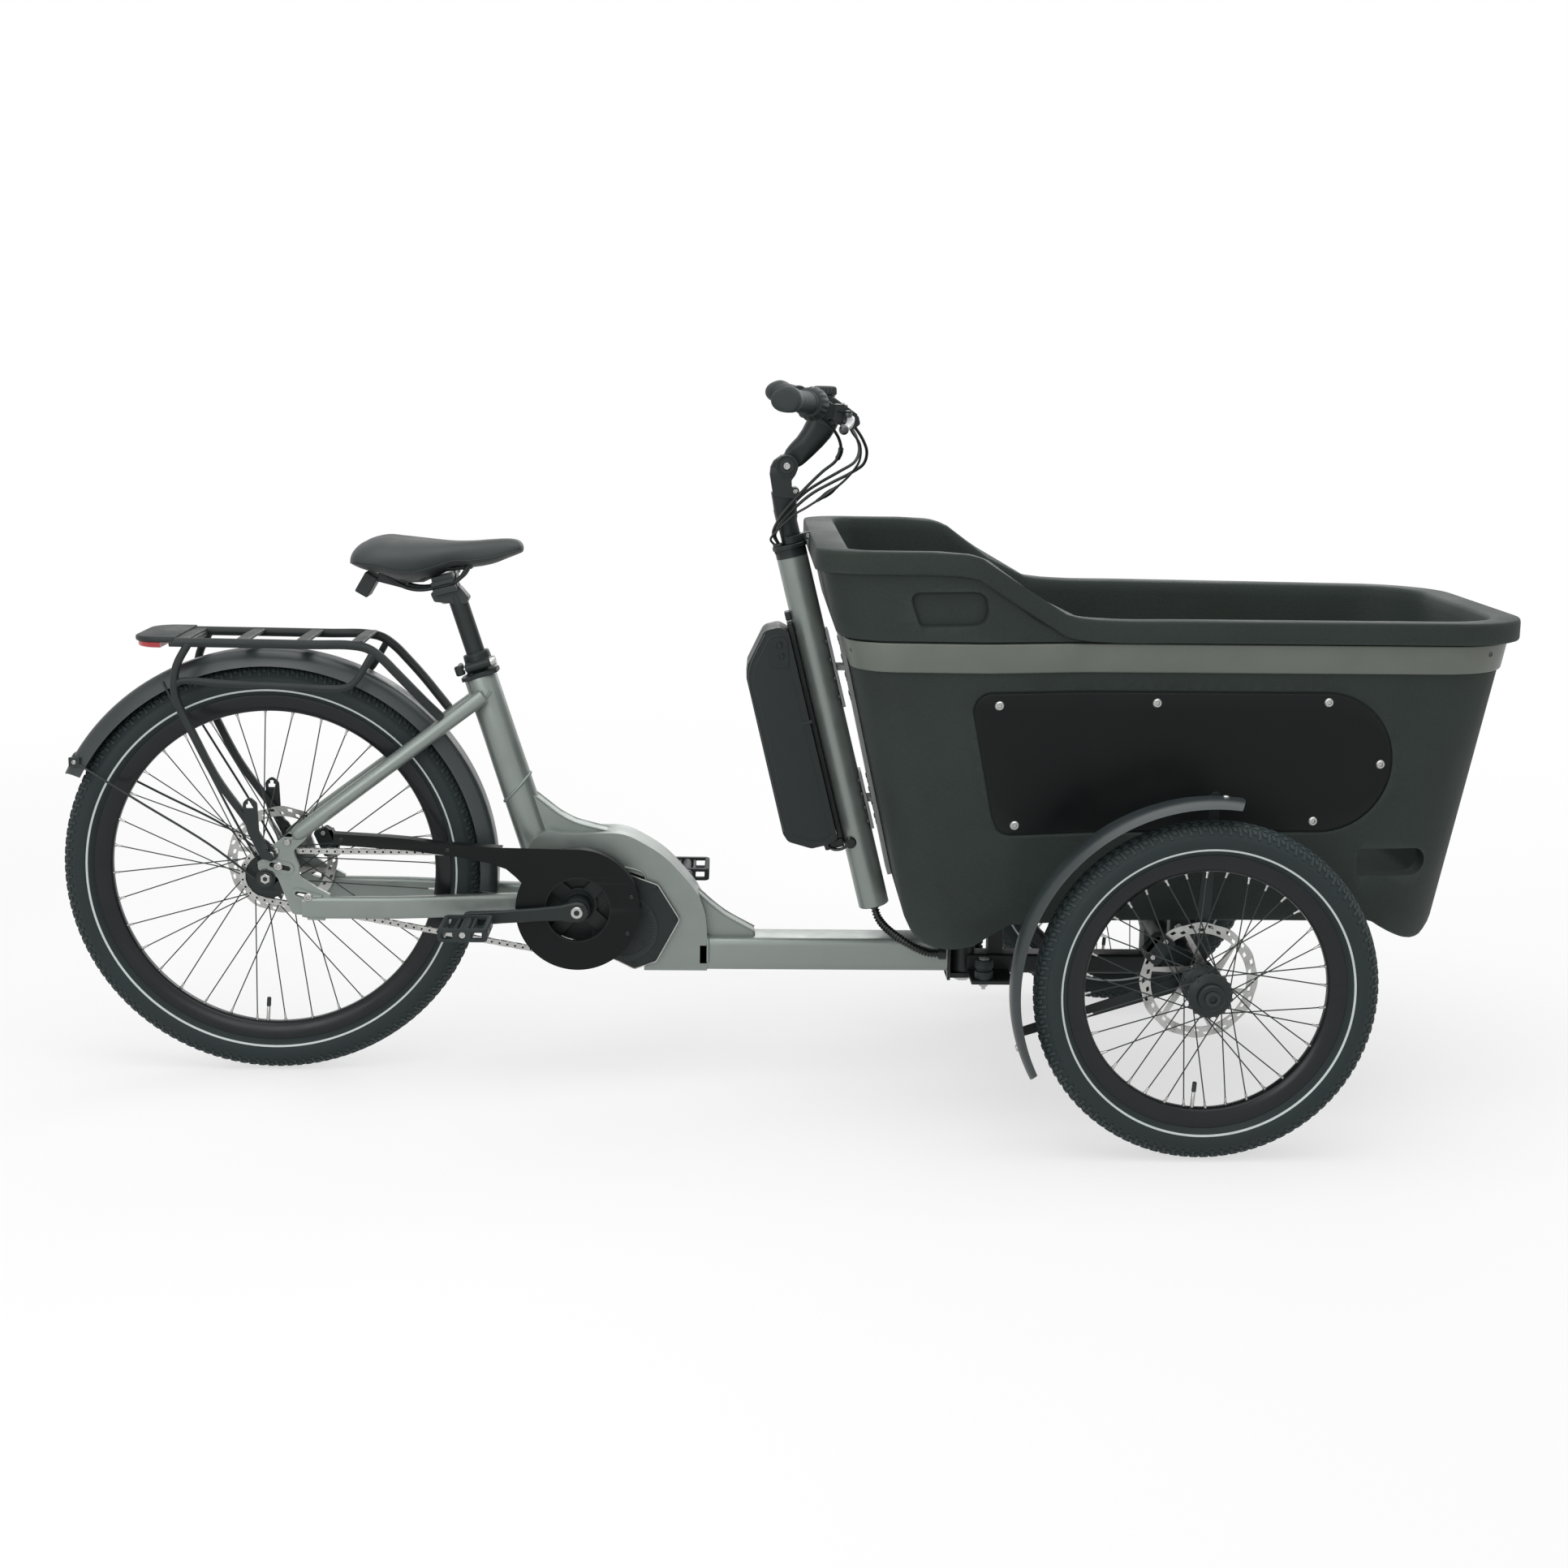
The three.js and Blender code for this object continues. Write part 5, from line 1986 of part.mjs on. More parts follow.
function leverPivot(side) {
  const { spot, ahead } = masterFrame(side);
  return reach(
    spot,
    [ahead, MASTER_REACH - MASTER_RADIUS],
    [LEFT, side * (MASTER_RADIUS + LEVER_GAP + LEVER_BLADE_WIDTH / 2)],
  );
}

function brakeLever(side, label) {
  const pivot = leverPivot(side);
  const tip = reach(
    pivot,
    [LEFT, side * LEVER_BLADE_LENGTH],
    [FORWARD, -LEVER_BLADE_WIDTH],
    [UP, -LEVER_BLADE_THICKNESS],
  );
  const hub = rod(
    reach(pivot, [UP, -LEVER_BLADE_THICKNESS]),
    reach(pivot, [UP, LEVER_BLADE_THICKNESS]),
    LEVER_BLADE_WIDTH / 2,
    8,
  );
  const blade = rod(pivot, tip, LEVER_BLADE_THICKNESS / 2, 6);
  piece(`brake_lever_${label}`, join(hub, blade, ball(tip, LEVER_BALL_RADIUS)), FINISH.silver);
}

function bell() {
  const { spot, heading } = onBar(-1, BELL_SHARE);
  const clamp = rod(
    reach(spot, [heading, -BELL_CLAMP_LENGTH / 2]),
    reach(spot, [heading, BELL_CLAMP_LENGTH / 2]),
    BELL_CLAMP_RADIUS,
    8,
  );
  const base = reach(spot, [UP, BELL_CLAMP_RADIUS]);
  const neckTop = reach(base, [UP, BELL_HEIGHT / 3]);
  const neck = rod(reach(spot, [UP, BAR_RADIUS]), neckTop, BELL_CLAMP_LENGTH / 2, 8);
  const dome = turnedAlong([
    [0, 0],
    [BELL_RADIUS, 0],
    [BELL_RADIUS, BELL_HEIGHT * 0.4],
    [BELL_RADIUS * 0.75, BELL_HEIGHT * 0.8],
    [0, BELL_HEIGHT],
  ], 8, reach(base, [UP, BELL_HEIGHT / 3]), UP);
  piece('bell', cut(join(clamp, neck, dome), barTool()), FINISH.black);
}

function bellLever() {
  const { spot } = onBar(-1, BELL_SHARE);
  const height = BELL_CLAMP_RADIUS + BELL_HEIGHT / 3 - GAP - BELL_LEVER_WIDTH / 4;
  const root = reach(spot, [UP, height], [FORWARD, -BELL_CLAMP_LENGTH / 2 - GAP - BELL_LEVER_WIDTH / 2]);
  const tip = reach(root, [FORWARD, -BELL_LEVER_LENGTH]);
  const half = BELL_LEVER_WIDTH / 4;
  const outline = linkOutline(
    new THREE.Vector2(root.x, root.y),
    BELL_LEVER_WIDTH / 2,
    new THREE.Vector2(tip.x, tip.y),
    BELL_LEVER_WIDTH / 2,
    5,
  );
  piece('bell_lever', slab(outline, root.z - half, root.z + half), FINISH.black);
}

function controlCables() {
  const back = TUBE_RADIUS - CABLE_PORT_RADIUS - GAP * 3;
  const mouth = reach(TUBE_TOP, [TUBE_BACK, back]);
  const cables = CABLE_ROUTES.map((route, i) => {
    const points = route.map(([x, y, z]) => at(x, y, z));
    points.push(reach(mouth, [LEFT, CABLE_ENDS_Y[i]], [TUBE_DIRECTION, CABLE_BOOT_HEIGHT / 4]));
    return tube(points, CABLE_RADIUS, CABLE_SIDES, CABLE_STEPS);
  });
  const boot = leaningBlock(CABLE_BOOT_DEPTH, CABLE_BOOT_WIDTH, CABLE_BOOT_HEIGHT, mouth, TUBE_DIRECTION);
  piece('control_cables', join(...cables, boot), FINISH.black);
}

mainFrame();
rearTriangle(-1, 'right');
rearTriangle(1, 'left');
motor();
chainGuard();
chain();
rearRack();
rearFender();
rearLight();
seatClamp();
calipers();
rearAxle();
pivotYoke();
seatClampLever();
rearWheel();
sprocketAndChainring();
crankArm(-1, 'right');
crankArm(1, 'left');
pedal(-1, 'right');
pedal(1, 'left');
seatPost();
saddle();
saddleRails();
cargoBox();
boxBand();
sidePanel(-1, 'right');
sidePanel(1, 'left');
chassis();
steeringTube();
frontFender(-1, 'right');
frontFender(1, 'left');
cableConduit();
battery();
frontWheel(-1, 'right');
frontWheel(1, 'left');
handlebarPost();
stem();
handlebar();
grip(1, 'left');
grip(-1, 'right');
gearShifter();
brakeMaster(-1, 'right');
brakeMaster(1, 'left');
brakeLever(-1, 'right');
brakeLever(1, 'left');
bell();
bellLever();
controlCables();

// The origin: on the ground, under the middle of the whole.
const bounds = new THREE.Box3().setFromObject(bike);
bike.position.set(-(bounds.min.x + bounds.max.x) / 2, -(bounds.min.y + bounds.max.y) / 2, -bounds.min.z);

const tricycle = new THREE.Group();
tricycle.add(bike);

export default tricycle;
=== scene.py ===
import json
import math

import bpy
from mathutils import Matrix, Vector
from mathutils.geometry import tessellate_polygon


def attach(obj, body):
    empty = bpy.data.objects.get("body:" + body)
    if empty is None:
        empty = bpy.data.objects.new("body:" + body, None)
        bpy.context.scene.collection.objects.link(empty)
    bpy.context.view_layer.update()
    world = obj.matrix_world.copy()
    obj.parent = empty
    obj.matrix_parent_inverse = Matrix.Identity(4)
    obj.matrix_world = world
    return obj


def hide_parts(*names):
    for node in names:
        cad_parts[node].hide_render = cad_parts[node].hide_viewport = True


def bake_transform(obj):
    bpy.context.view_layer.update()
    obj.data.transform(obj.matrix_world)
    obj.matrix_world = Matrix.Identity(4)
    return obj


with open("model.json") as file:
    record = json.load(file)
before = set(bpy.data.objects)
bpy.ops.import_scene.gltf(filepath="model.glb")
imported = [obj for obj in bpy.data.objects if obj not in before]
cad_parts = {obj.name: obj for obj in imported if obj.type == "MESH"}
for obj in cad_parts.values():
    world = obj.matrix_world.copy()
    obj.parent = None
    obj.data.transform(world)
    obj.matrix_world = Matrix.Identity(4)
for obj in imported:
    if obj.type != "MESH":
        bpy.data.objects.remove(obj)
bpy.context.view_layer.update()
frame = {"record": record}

# All sizes are in millimetres, X counts forward from the rear axle, and Y to the rider's left.
# Names and values that the part's source also has are the same as there.
MM = 0.001
joints = {joint["name"]: joint for joint in frame["record"]["behaviour"]["joints"]}
REAR_AXLE = Vector(joints["rear_wheel_spin"]["pos_m"])
ORIGIN_X = REAR_AXLE.x / MM
TAU = 2 * math.pi
SIDES = ((-1, "right"), (1, "left"))
X = Vector((1, 0, 0))
Y = Vector((0, 1, 0))
Z = Vector((0, 0, 1))


def to_frame(point):
    return Vector(((point[0] + ORIGIN_X) * MM, point[1] * MM, point[2] * MM))


# Materials

def noise_node(nodes, links, coordinates, scale, detail=3.0):
    node = nodes.new("ShaderNodeTexNoise")
    node.inputs["Scale"].default_value = scale
    node.inputs["Detail"].default_value = detail
    links.new(coordinates, node.inputs["Vector"])
    return node.outputs["Fac"]


def mapped(nodes, links, value, low, high, start=0.35, end=0.65):
    node = nodes.new("ShaderNodeMapRange")
    node.inputs["From Min"].default_value = start
    node.inputs["From Max"].default_value = end
    node.inputs["To Min"].default_value = low
    node.inputs["To Max"].default_value = high
    links.new(value, node.inputs["Value"])
    return node.outputs["Result"]


def surface(name, colour, roughness, metallic=0.0, change=0.12, patch=18.0, grain=900.0,
            bump=0.05, cells=0.0, cell_bump=0.0, rub=0.0, coat=0.0, specular=0.5, light=0.0):
    """A finish with large soft patches, a fine grain and rubbed edges, all from noise."""
    material = bpy.data.materials.new(name)
    material.use_nodes = True
    nodes, links = material.node_tree.nodes, material.node_tree.links
    shader = nodes["Principled BSDF"]
    place = nodes.new("ShaderNodeTexCoord").outputs["Object"]
    patches = noise_node(nodes, links, place, patch)
    fine = noise_node(nodes, links, place, grain, 2.0)
    mix = nodes.new("ShaderNodeMix")
    mix.data_type = "RGBA"
    mix.inputs["A"].default_value = (*[c * (1 - change) for c in colour], 1)
    mix.inputs["B"].default_value = (*[min(1, c * (1 + change)) for c in colour], 1)
    blend = nodes.new("ShaderNodeMath")
    blend.operation = "ADD"
    links.new(mapped(nodes, links, patches, 0, 0.6), blend.inputs[0])
    links.new(mapped(nodes, links, fine, 0, 0.4), blend.inputs[1])
    links.new(blend.outputs[0], mix.inputs["Factor"])
    colour_out = mix.outputs["Result"]
    if rub:
        edges = nodes.new("ShaderNodeNewGeometry").outputs["Pointiness"]
        worn = nodes.new("ShaderNodeMix")
        worn.data_type = "RGBA"
        worn.inputs["B"].default_value = (*[min(1, c * (1 + rub) + rub * 0.02) for c in colour], 1)
        links.new(colour_out, worn.inputs["A"])
        links.new(mapped(nodes, links, edges, 0, 0.8, 0.52, 0.6), worn.inputs["Factor"])
        colour_out = worn.outputs["Result"]
    links.new(colour_out, shader.inputs["Base Color"])
    rough = mapped(nodes, links, patches, max(0.05, roughness - 0.06), min(1, roughness + 0.06))
    links.new(rough, shader.inputs["Roughness"])
    shader.inputs["Metallic"].default_value = metallic
    shader.inputs["Coat Weight"].default_value = coat
    shader.inputs["Coat Roughness"].default_value = 0.2
    shader.inputs["Specular IOR Level"].default_value = specular
    height = nodes.new("ShaderNodeBump")
    height.inputs["Strength"].default_value = bump
    height.inputs["Distance"].default_value = 0.0004
    links.new(fine, height.inputs["Height"])
    if cells:
        beads = nodes.new("ShaderNodeTexVoronoi")
        beads.inputs["Scale"].default_value = cells
        links.new(place, beads.inputs["Vector"])
        dents = nodes.new("ShaderNodeBump")
        dents.inputs["Strength"].default_value = cell_bump
        dents.inputs["Distance"].default_value = 0.0006
        dents.invert = True
        links.new(beads.outputs["Distance"], dents.inputs["Height"])
        links.new(height.outputs["Normal"], dents.inputs["Normal"])
        height = dents
    links.new(height.outputs["Normal"], shader.inputs["Normal"])
    if light:
        shader.inputs["Emission Color"].default_value = (*colour, 1)
        shader.inputs["Emission Strength"].default_value = light
    return material


FINISHES = {
    "frame": ("frame_paint", surface(
        "satin_frame_paint", (0.222, 0.252, 0.236), 0.38, 0.5, 0.05, 30, 2600, 0.04, coat=0.2, rub=0.15)),
    "black": ("black_metal", surface(
        "satin_black_coating", (0.013, 0.018, 0.0175), 0.42, 0.1, 0.15, 25, 2200, 0.08, rub=0.6,
                                     specular=0.32)),
    "bright": ("bright_metal", surface(
        "brushed_bright_steel", (0.44, 0.445, 0.43), 0.3, 0.95, 0.14, 60, 1500, 0.1)),
    "rim": ("rim_black", surface(
        "anodised_rim", (0.007, 0.0095, 0.0105), 0.3, 0.25, 0.15, 20, 1800, 0.03, coat=0.1, specular=0.32)),
    "tyre": ("tyre_rubber", surface(
        "tyre_rubber", (0.016, 0.024, 0.025), 0.62, 0, 0.16, 14, 1100, 0.25, rub=0.5, specular=0.28)),
    "stripe": ("tyre_rubber", surface(
        "reflecting_stripe", (0.55, 0.60, 0.60), 0.4, 0, 0.06, 40, 2500, 0.15)),
    "foam": ("box_foam", surface(
        "bead_foam", (0.020, 0.0285, 0.0245), 0.68, 0, 0.24, 7, 500, 0.35, 380, 0.4, rub=0.6,
                                 specular=0.26)),
    "band": ("band_plastic", surface(
        "band_plastic", (0.113, 0.126, 0.107), 0.45, 0.1, 0.1, 12, 1500, 0.06)),
    "panel": ("panel_plastic", surface(
        "panel_sheet", (0.0045, 0.006, 0.0062), 0.4, 0, 0.14, 9, 1600, 0.1, rub=0.5, specular=0.16)),
    "plastic": ("black_plastic", surface(
        "moulded_black", (0.014, 0.019, 0.0185), 0.5, 0, 0.15, 20, 1500, 0.18, rub=0.6, specular=0.32)),
    "fender": ("black_plastic", surface(
        "fender_moulding", (0.025, 0.033, 0.0345), 0.36, 0, 0.1, 10, 1800, 0.05, rub=0.5)),
    "red": ("red_lens", surface(
        "red_lens", (0.35, 0.012, 0.02), 0.18, 0, 0.2, 90, 900, 0.2, 160, 0.5, coat=0.4, light=0.15)),
    "cover": ("saddle_cover", surface(
        "saddle_cover", (0.018, 0.024, 0.0235), 0.48, 0, 0.16, 16, 700, 0.2, 900, 0.5, rub=0.4)),
    "grip": ("grip_rubber", surface(
        "grip_rubber", (0.017, 0.023, 0.0235), 0.6, 0, 0.15, 30, 1400, 0.25, rub=0.4, specular=0.35)),
    "hinge": ("bright_metal", surface(
        "hinge_plate_metal", (0.19, 0.195, 0.195), 0.5, 0.6, 0.15, 30, 1200, 0.1, rub=0.4)),
    "lever": ("bright_metal", surface(
        "dark_lever_metal", (0.06, 0.066, 0.07), 0.34, 0.8, 0.12, 60, 1800, 0.05, coat=0.2)),
    "cable": ("cable_rubber", surface(
        "cable_sheath", (0.009, 0.012, 0.012), 0.32, 0, 0.15, 50, 2000, 0.08, specular=0.5)),
}


# Shapes: lists of points in millimetres and faces

class Shape:
    def __init__(self, points=(), faces=()):
        self.points = [Vector(p) for p in points]
        self.faces = [tuple(f) for f in faces]

    def add(self, *others):
        for other in others:
            start = len(self.points)
            self.points += other.points
            self.faces += [tuple(i + start for i in face) for face in other.faces]
        return self

    def changed(self, change):
        return Shape([change(p) for p in self.points], self.faces)


def skin(rows, around=True, ends=True, ring=False):
    """Quads between rows of points. ring joins the last row to the first, and ends closes both."""
    count = len(rows[0])
    points = [p for row in rows for p in row]
    faces = []
    last = len(rows) if ring else len(rows) - 1
    for i in range(last):
        for j in range(count if around else count - 1):
            a, b = i * count + j, i * count + (j + 1) % count
            c, d = ((i + 1) % len(rows)) * count + (j + 1) % count, ((i + 1) % len(rows)) * count + j
            faces.append((a, b, c, d))
    if ends and around and not ring:
        faces.append(tuple(reversed(range(count))))
        faces.append(tuple(range((len(rows) - 1) * count, len(rows) * count)))
    return Shape(points, faces)


def side_axes(direction):
    direction = direction.normalized()
    helper = Y if abs(direction.y) < 0.9 else X
    first = direction.cross(helper).normalized()
    return first, direction.cross(first)


def tube(points, radius, sides=16):
    """A round body along points; radius may be one value or one for each point."""
    points = [Vector(p) for p in points]
    radii = radius if isinstance(radius, (list, tuple)) else [radius] * len(points)
    rows = []
    first, second = side_axes(points[1] - points[0])
    for i, point in enumerate(points):
        ahead = (points[min(i + 1, len(points) - 1)] - points[max(i - 1, 0)]).normalized()
        first = (first - ahead * first.dot(ahead)).normalized()
        second = ahead.cross(first)
        rows.append([
            point + radii[i] * (first * math.cos(a) + second * math.sin(a))
            for a in (TAU * k / sides for k in range(sides))
        ])
    return skin(rows)


def lathe(profile, centre, axis=Y, sides=48, ring=False, ends=True):
    """Turns a profile of (radius, height) about the axis through centre."""
    centre, axis = Vector(centre), Vector(axis).normalized()
    first, second = side_axes(axis)
    rows = []
    for radius, height in profile:
        rows.append([
            centre + axis * height + radius * (first * math.cos(a) + second * math.sin(a))
            for a in (TAU * k / sides for k in range(sides))
        ])
    return skin(rows, True, ends, ring)


def disc(radius, near, far, centre, axis=Y, edge=0.8, sides=32):
    """A turned body with rounded edges, from near to far along the axis."""
    profile = [(0.01, near), (radius - edge, near), (radius - edge * 0.3, near + edge * 0.3),
               (radius, near + edge), (radius, far - edge), (radius - edge * 0.3, far - edge * 0.3),
               (radius - edge, far), (0.01, far)]
    return lathe(profile, centre, axis, sides)


def arc(x, z, radius, start, end, steps):
    angles = [math.radians(start + (end - start) * i / steps) for i in range(steps + 1)]
    return [(x + radius * math.cos(a), z + radius * math.sin(a)) for a in angles]


def polar(centre, radius, degrees, y):
    """The point at that radius and angle round the centre, at that y."""
    angle = math.radians(degrees)
    return Vector((centre[0] + radius * math.cos(angle), y, centre[2] + radius * math.sin(angle)))


def circle(x, z, radius, sides=32):
    return arc(x, z, radius, 0, 360 - 360 / sides, sides - 1)


def rounded(outline, radius, steps=6):
    """The outline with each corner turned into an arc, smaller where the sides are short."""
    result = []
    count = len(outline)
    for i in range(count):
        corner = Vector(outline[i])
        before, after = Vector(outline[i - 1]) - corner, Vector(outline[(i + 1) % count]) - corner
        size = radius[i] if isinstance(radius, (list, tuple)) else radius
        half = before.angle(after) / 2
        if size <= 0 or half > math.radians(89):
            result.append(tuple(corner))
            continue
        cut = min(size / math.tan(half), before.length * 0.48, after.length * 0.48)
        start, end = corner + before.normalized() * cut, corner + after.normalized() * cut
        for k in range(steps + 1):
            t = k / steps
            result.append(tuple(start * (1 - t) ** 2 + corner * 2 * t * (1 - t) + end * t * t))
    return result


def placed(shares, x, z, length, height):
    return [(x + along * length, z + up * height) for along, up in shares]


def outline_area(outline):
    return sum(a[0] * b[1] - b[0] * a[1] for a, b in zip(outline, outline[1:] + outline[:1])) / 2


def plate(outline, near, far, holes=()):
    """A flat body with holes between two Y values, from outlines of (x, z)."""
    loops = [list(outline)] + [list(hole) for hole in holes]
    loops = [loop if (outline_area(loop) > 0) == (i == 0) else loop[::-1] for i, loop in enumerate(loops)]
    flat = [[Vector((x, z, 0)) for x, z in loop] for loop in loops]
    triangles = tessellate_polygon(flat)
    corners = [p for loop in flat for p in loop]
    count = len(corners)
    points = [(p.x, y, p.y) for y in (near, far) for p in corners]
    faces = []
    for a, b, c in triangles:
        faces += [(a, b, c), (a + count, c + count, b + count)]
    start = 0
    for loop in loops:
        for i in range(len(loop)):
            a, b = start + i, start + (i + 1) % len(loop)
            faces.append((a, b, b + count, a + count))
        start += len(loop)
    return Shape(points, faces)


def side_plate(side, outline, near, far, holes=()):
    """The same on the side of the bike that side stands for."""
    return plate(outline, *sorted((side * near, side * far)), holes)


def inset(outline, distance):
    """The outline moved inwards by a distance, corner by corner."""
    count, result = len(outline), []
    sign = 1 if outline_area(outline) > 0 else -1
    for i in range(count):
        here = Vector(outline[i])
        before, after = (here - Vector(outline[i - 1])), (Vector(outline[(i + 1) % count]) - here)
        normal = (before.normalized() + after.normalized()).normalized()
        result.append((here.x - sign * normal.y * distance, here.y + sign * normal.x * distance))
    return result


def smooth_route(points, steps=6):
    """A smooth curve through given points, of the same kind as the part's own curves."""
    points = [Vector(p) for p in points]
    ends = [points[0] * 2 - points[1]] + points + [points[-1] * 2 - points[-2]]
    result = []
    for p0, p1, p2, p3 in zip(ends, ends[1:], ends[2:], ends[3:]):
        before, here, after = ((b - a).length ** 0.5 for a, b in ((p0, p1), (p1, p2), (p2, p3)))
        way_in = ((p1 - p0) / before - (p2 - p0) / (before + here) + (p2 - p1) / here) * here
        way_out = ((p2 - p1) / here - (p3 - p1) / (here + after) + (p3 - p2) / after) * here
        for k in range(steps):
            t = k / steps
            result.append(p1 + way_in * t + (p2 * 3 - p1 * 3 - way_in * 2 - way_out) * t * t
                          + (p1 * 2 - p2 * 2 + way_in + way_out) * t ** 3)
    return result + [points[-1]]


def box(size, centre, axes=None):
    """A block of that size; axes are its own three directions."""
    axes = axes or (X, Y, Z)
    corners = [(-1, -1, -1), (1, -1, -1), (1, 1, -1), (-1, 1, -1), (-1, -1, 1), (1, -1, 1), (1, 1, 1),
               (-1, 1, 1)]
    points = [
        Vector(centre) + sum((axes[k] * (size[k] / 2 * corner[k]) for k in range(3)), Vector())
        for corner in corners
    ]
    faces = [(0, 3, 2, 1), (4, 5, 6, 7), (0, 1, 5, 4), (1, 2, 6, 5), (2, 3, 7, 6), (3, 0, 4, 7)]
    return Shape(points, faces)


def bolt(centre, axis, radius=5, height=3, sides=24):
    """A round screw head with a six-sided socket."""
    profile = [(radius, 0), (radius, height * 0.55), (radius * 0.8, height), (radius * 0.5, height)]
    head = lathe(profile, centre, axis, sides, ends=False)
    socket = lathe([(radius * 0.5, height), (radius * 0.46, height * 0.3), (0.01, height * 0.3)],
                   centre, axis, 6, ends=False)
    return head.add(socket)


def piece(name, shape, body, finish, nodes=(), bevel=0.0, steps=3, sharp=38):
    """A Blender object from a shape, in metres in the frame, riding on its body."""
    mesh = bpy.data.meshes.new(name)
    mesh.from_pydata([to_frame(p) for p in shape.points], [], shape.faces)
    mesh.validate()
    obj = bpy.data.objects.new(name, mesh)
    bpy.context.scene.collection.objects.link(obj)
    tidy_normals(mesh)
    for polygon in mesh.polygons:
        polygon.use_smooth = True
    if bevel:
        rounding = obj.modifiers.new("edges", "BEVEL")
        rounding.width = bevel * MM
        rounding.segments = steps
        rounding.limit_method = "ANGLE"
        rounding.angle_limit = math.radians(30)
        rounding.harden_normals = True
        mesh.set_sharp_from_angle(angle=math.radians(60))
    else:
        mesh.set_sharp_from_angle(angle=math.radians(sharp))
    slot, material = FINISHES[finish]
    mesh.materials.append(material)
    if body:
        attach(obj, body)
    if nodes:
        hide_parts(*nodes)
    return obj


def tidy_normals(mesh):
    import bmesh
    work = bmesh.new()
    work.from_mesh(mesh)
    bmesh.ops.remove_doubles(work, verts=work.verts, dist=0.00002)
    bmesh.ops.recalc_face_normals(work, faces=work.faces)
    work.to_mesh(mesh)
    work.free()


def weld(points, radius=3.2, pitch=2.6):
    """A weld bead: a row of small scales along a line."""
    route = smooth_route(points, 12) if len(points) > 2 else [Vector(points[0]), Vector(points[1])]
    length = route_length(route)
    count = max(3, int(length / pitch))
    samples, radii = [], []
    for i in range(count * 4 + 1):
        distance = length * i / (count * 4)
        samples.append(point_along(route, distance))
        radii.append(radius * (0.78 + 0.22 * abs(math.sin(math.pi * i / 4))))
    return tube(samples, radii, 8)


def route_length(route):
    return sum((b - a).length for a, b in zip(route, route[1:]))


def point_along(route, distance):
    for a, b in zip(route, route[1:]):
        step = (b - a).length
        if distance <= step or b is route[-1]:
            return a.lerp(b, min(1, distance / max(step, 1e-9)))
        distance -= step
    return route[-1]


# Wheels

TYRE_RADIUS = 27.5
TREAD_HEIGHT = 1.8
TREAD_PITCH = 15.5
STRIPE_INSET = 40.5
SPOKE_COUNT = 36
RIM_DEPTH = 22
VALVE_ANGLE = -94


def tyre_shape(centre, bead):
    """Turned carcass with a row of tread blocks round it."""
    middle = bead + TYRE_RADIUS
    carcass_radius = TYRE_RADIUS - TREAD_HEIGHT
    profile = []
    for i in range(45):
        angle = math.radians(-138 + 276 * i / 44)
        radius = carcass_radius if abs(angle) < math.radians(70) else TYRE_RADIUS - 0.6
        profile.append((middle + radius * math.cos(angle), radius * math.sin(angle)))
    profile += [(bead + 3, 11), (bead + 8, 8), (bead + 8, -8), (bead + 3, -11)]
    shape = lathe(profile, centre, sides=180, ring=True)
    count = round(TAU * (middle + TYRE_RADIUS) / TREAD_PITCH)
    rows = [(-9, 9, 0.0, 0.62, 0.16), (13, 31, 0.5, 0.6, 0.3), (35, 52, 0.1, 0.5, -0.25),
            (35, 66, 0.6, 0.36, -0.2)]
    for k in range(count):
        for low, high, shift, share, skew in rows:
            for side in ((1, -1) if low > 0 else (1,)):
                start = k + shift + (0.25 if side < 0 else 0)
                shape.add(tread_block(centre, middle, low * side, high * side, start, share, skew, count))
    return shape


def tread_block(centre, middle, low, high, start, share, skew, count):
    rows = []
    for i in range(4):
        across = math.radians(low + (high - low) * i / 3)
        row = []
        for lift, place in ((-0.6, 0), (TREAD_HEIGHT * 0.9, 0.06), (TREAD_HEIGHT * 0.9, share - 0.06),
                            (-0.6, share)):
            radius = TYRE_RADIUS - TREAD_HEIGHT + lift
            drop = 0.5 if i in (0, 3) and lift > 0 else 0
            turn = TAU * (start + place + skew * i / 3) / count
            out = middle + (radius - drop) * math.cos(across)
            row.append(Vector((
                centre[0] + out * math.cos(turn),
                centre[1] + (radius - drop) * math.sin(across),
                centre[2] + out * math.sin(turn))))
        rows.append(row)
    return skin(rows)


def stripe_shape(centre, bead):
    middle = bead + TYRE_RADIUS
    target = bead + 2 * TYRE_RADIUS - STRIPE_INSET
    angle = math.acos((target - middle) / (TYRE_RADIUS - 0.4))
    shape = Shape()
    for side in (1, -1):
        profile = []
        for lift, turn in ((-1, -0.075), (0.15, -0.06), (0.35, 0), (0.15, 0.06), (-1, 0.075)):
            radius = TYRE_RADIUS - 0.5 + lift
            profile.append((middle + radius * math.cos(angle + turn),
                            side * radius * math.sin(angle + turn)))
        shape.add(lathe(profile, centre, sides=160, ring=True))
    return shape


def rim_shape(centre, bead):
    half = [(bead + 5, 15), (bead + 4, 15.2), (bead - 4, 14.6), (bead - 12, 12.5), (bead - 18, 9.5),
            (bead - 21.4, 6), (bead - RIM_DEPTH, 3)]
    inner = [(bead - 16, 0), (bead - 2, 7), (bead + 2, 11.8), (bead + 5, 12.4)]
    profile = half + [(r, -w) for r, w in reversed(half)]
    profile += [(r, -w) for r, w in reversed(inner)] + inner[1:]
    return lathe(profile, centre, sides=160, ring=True)


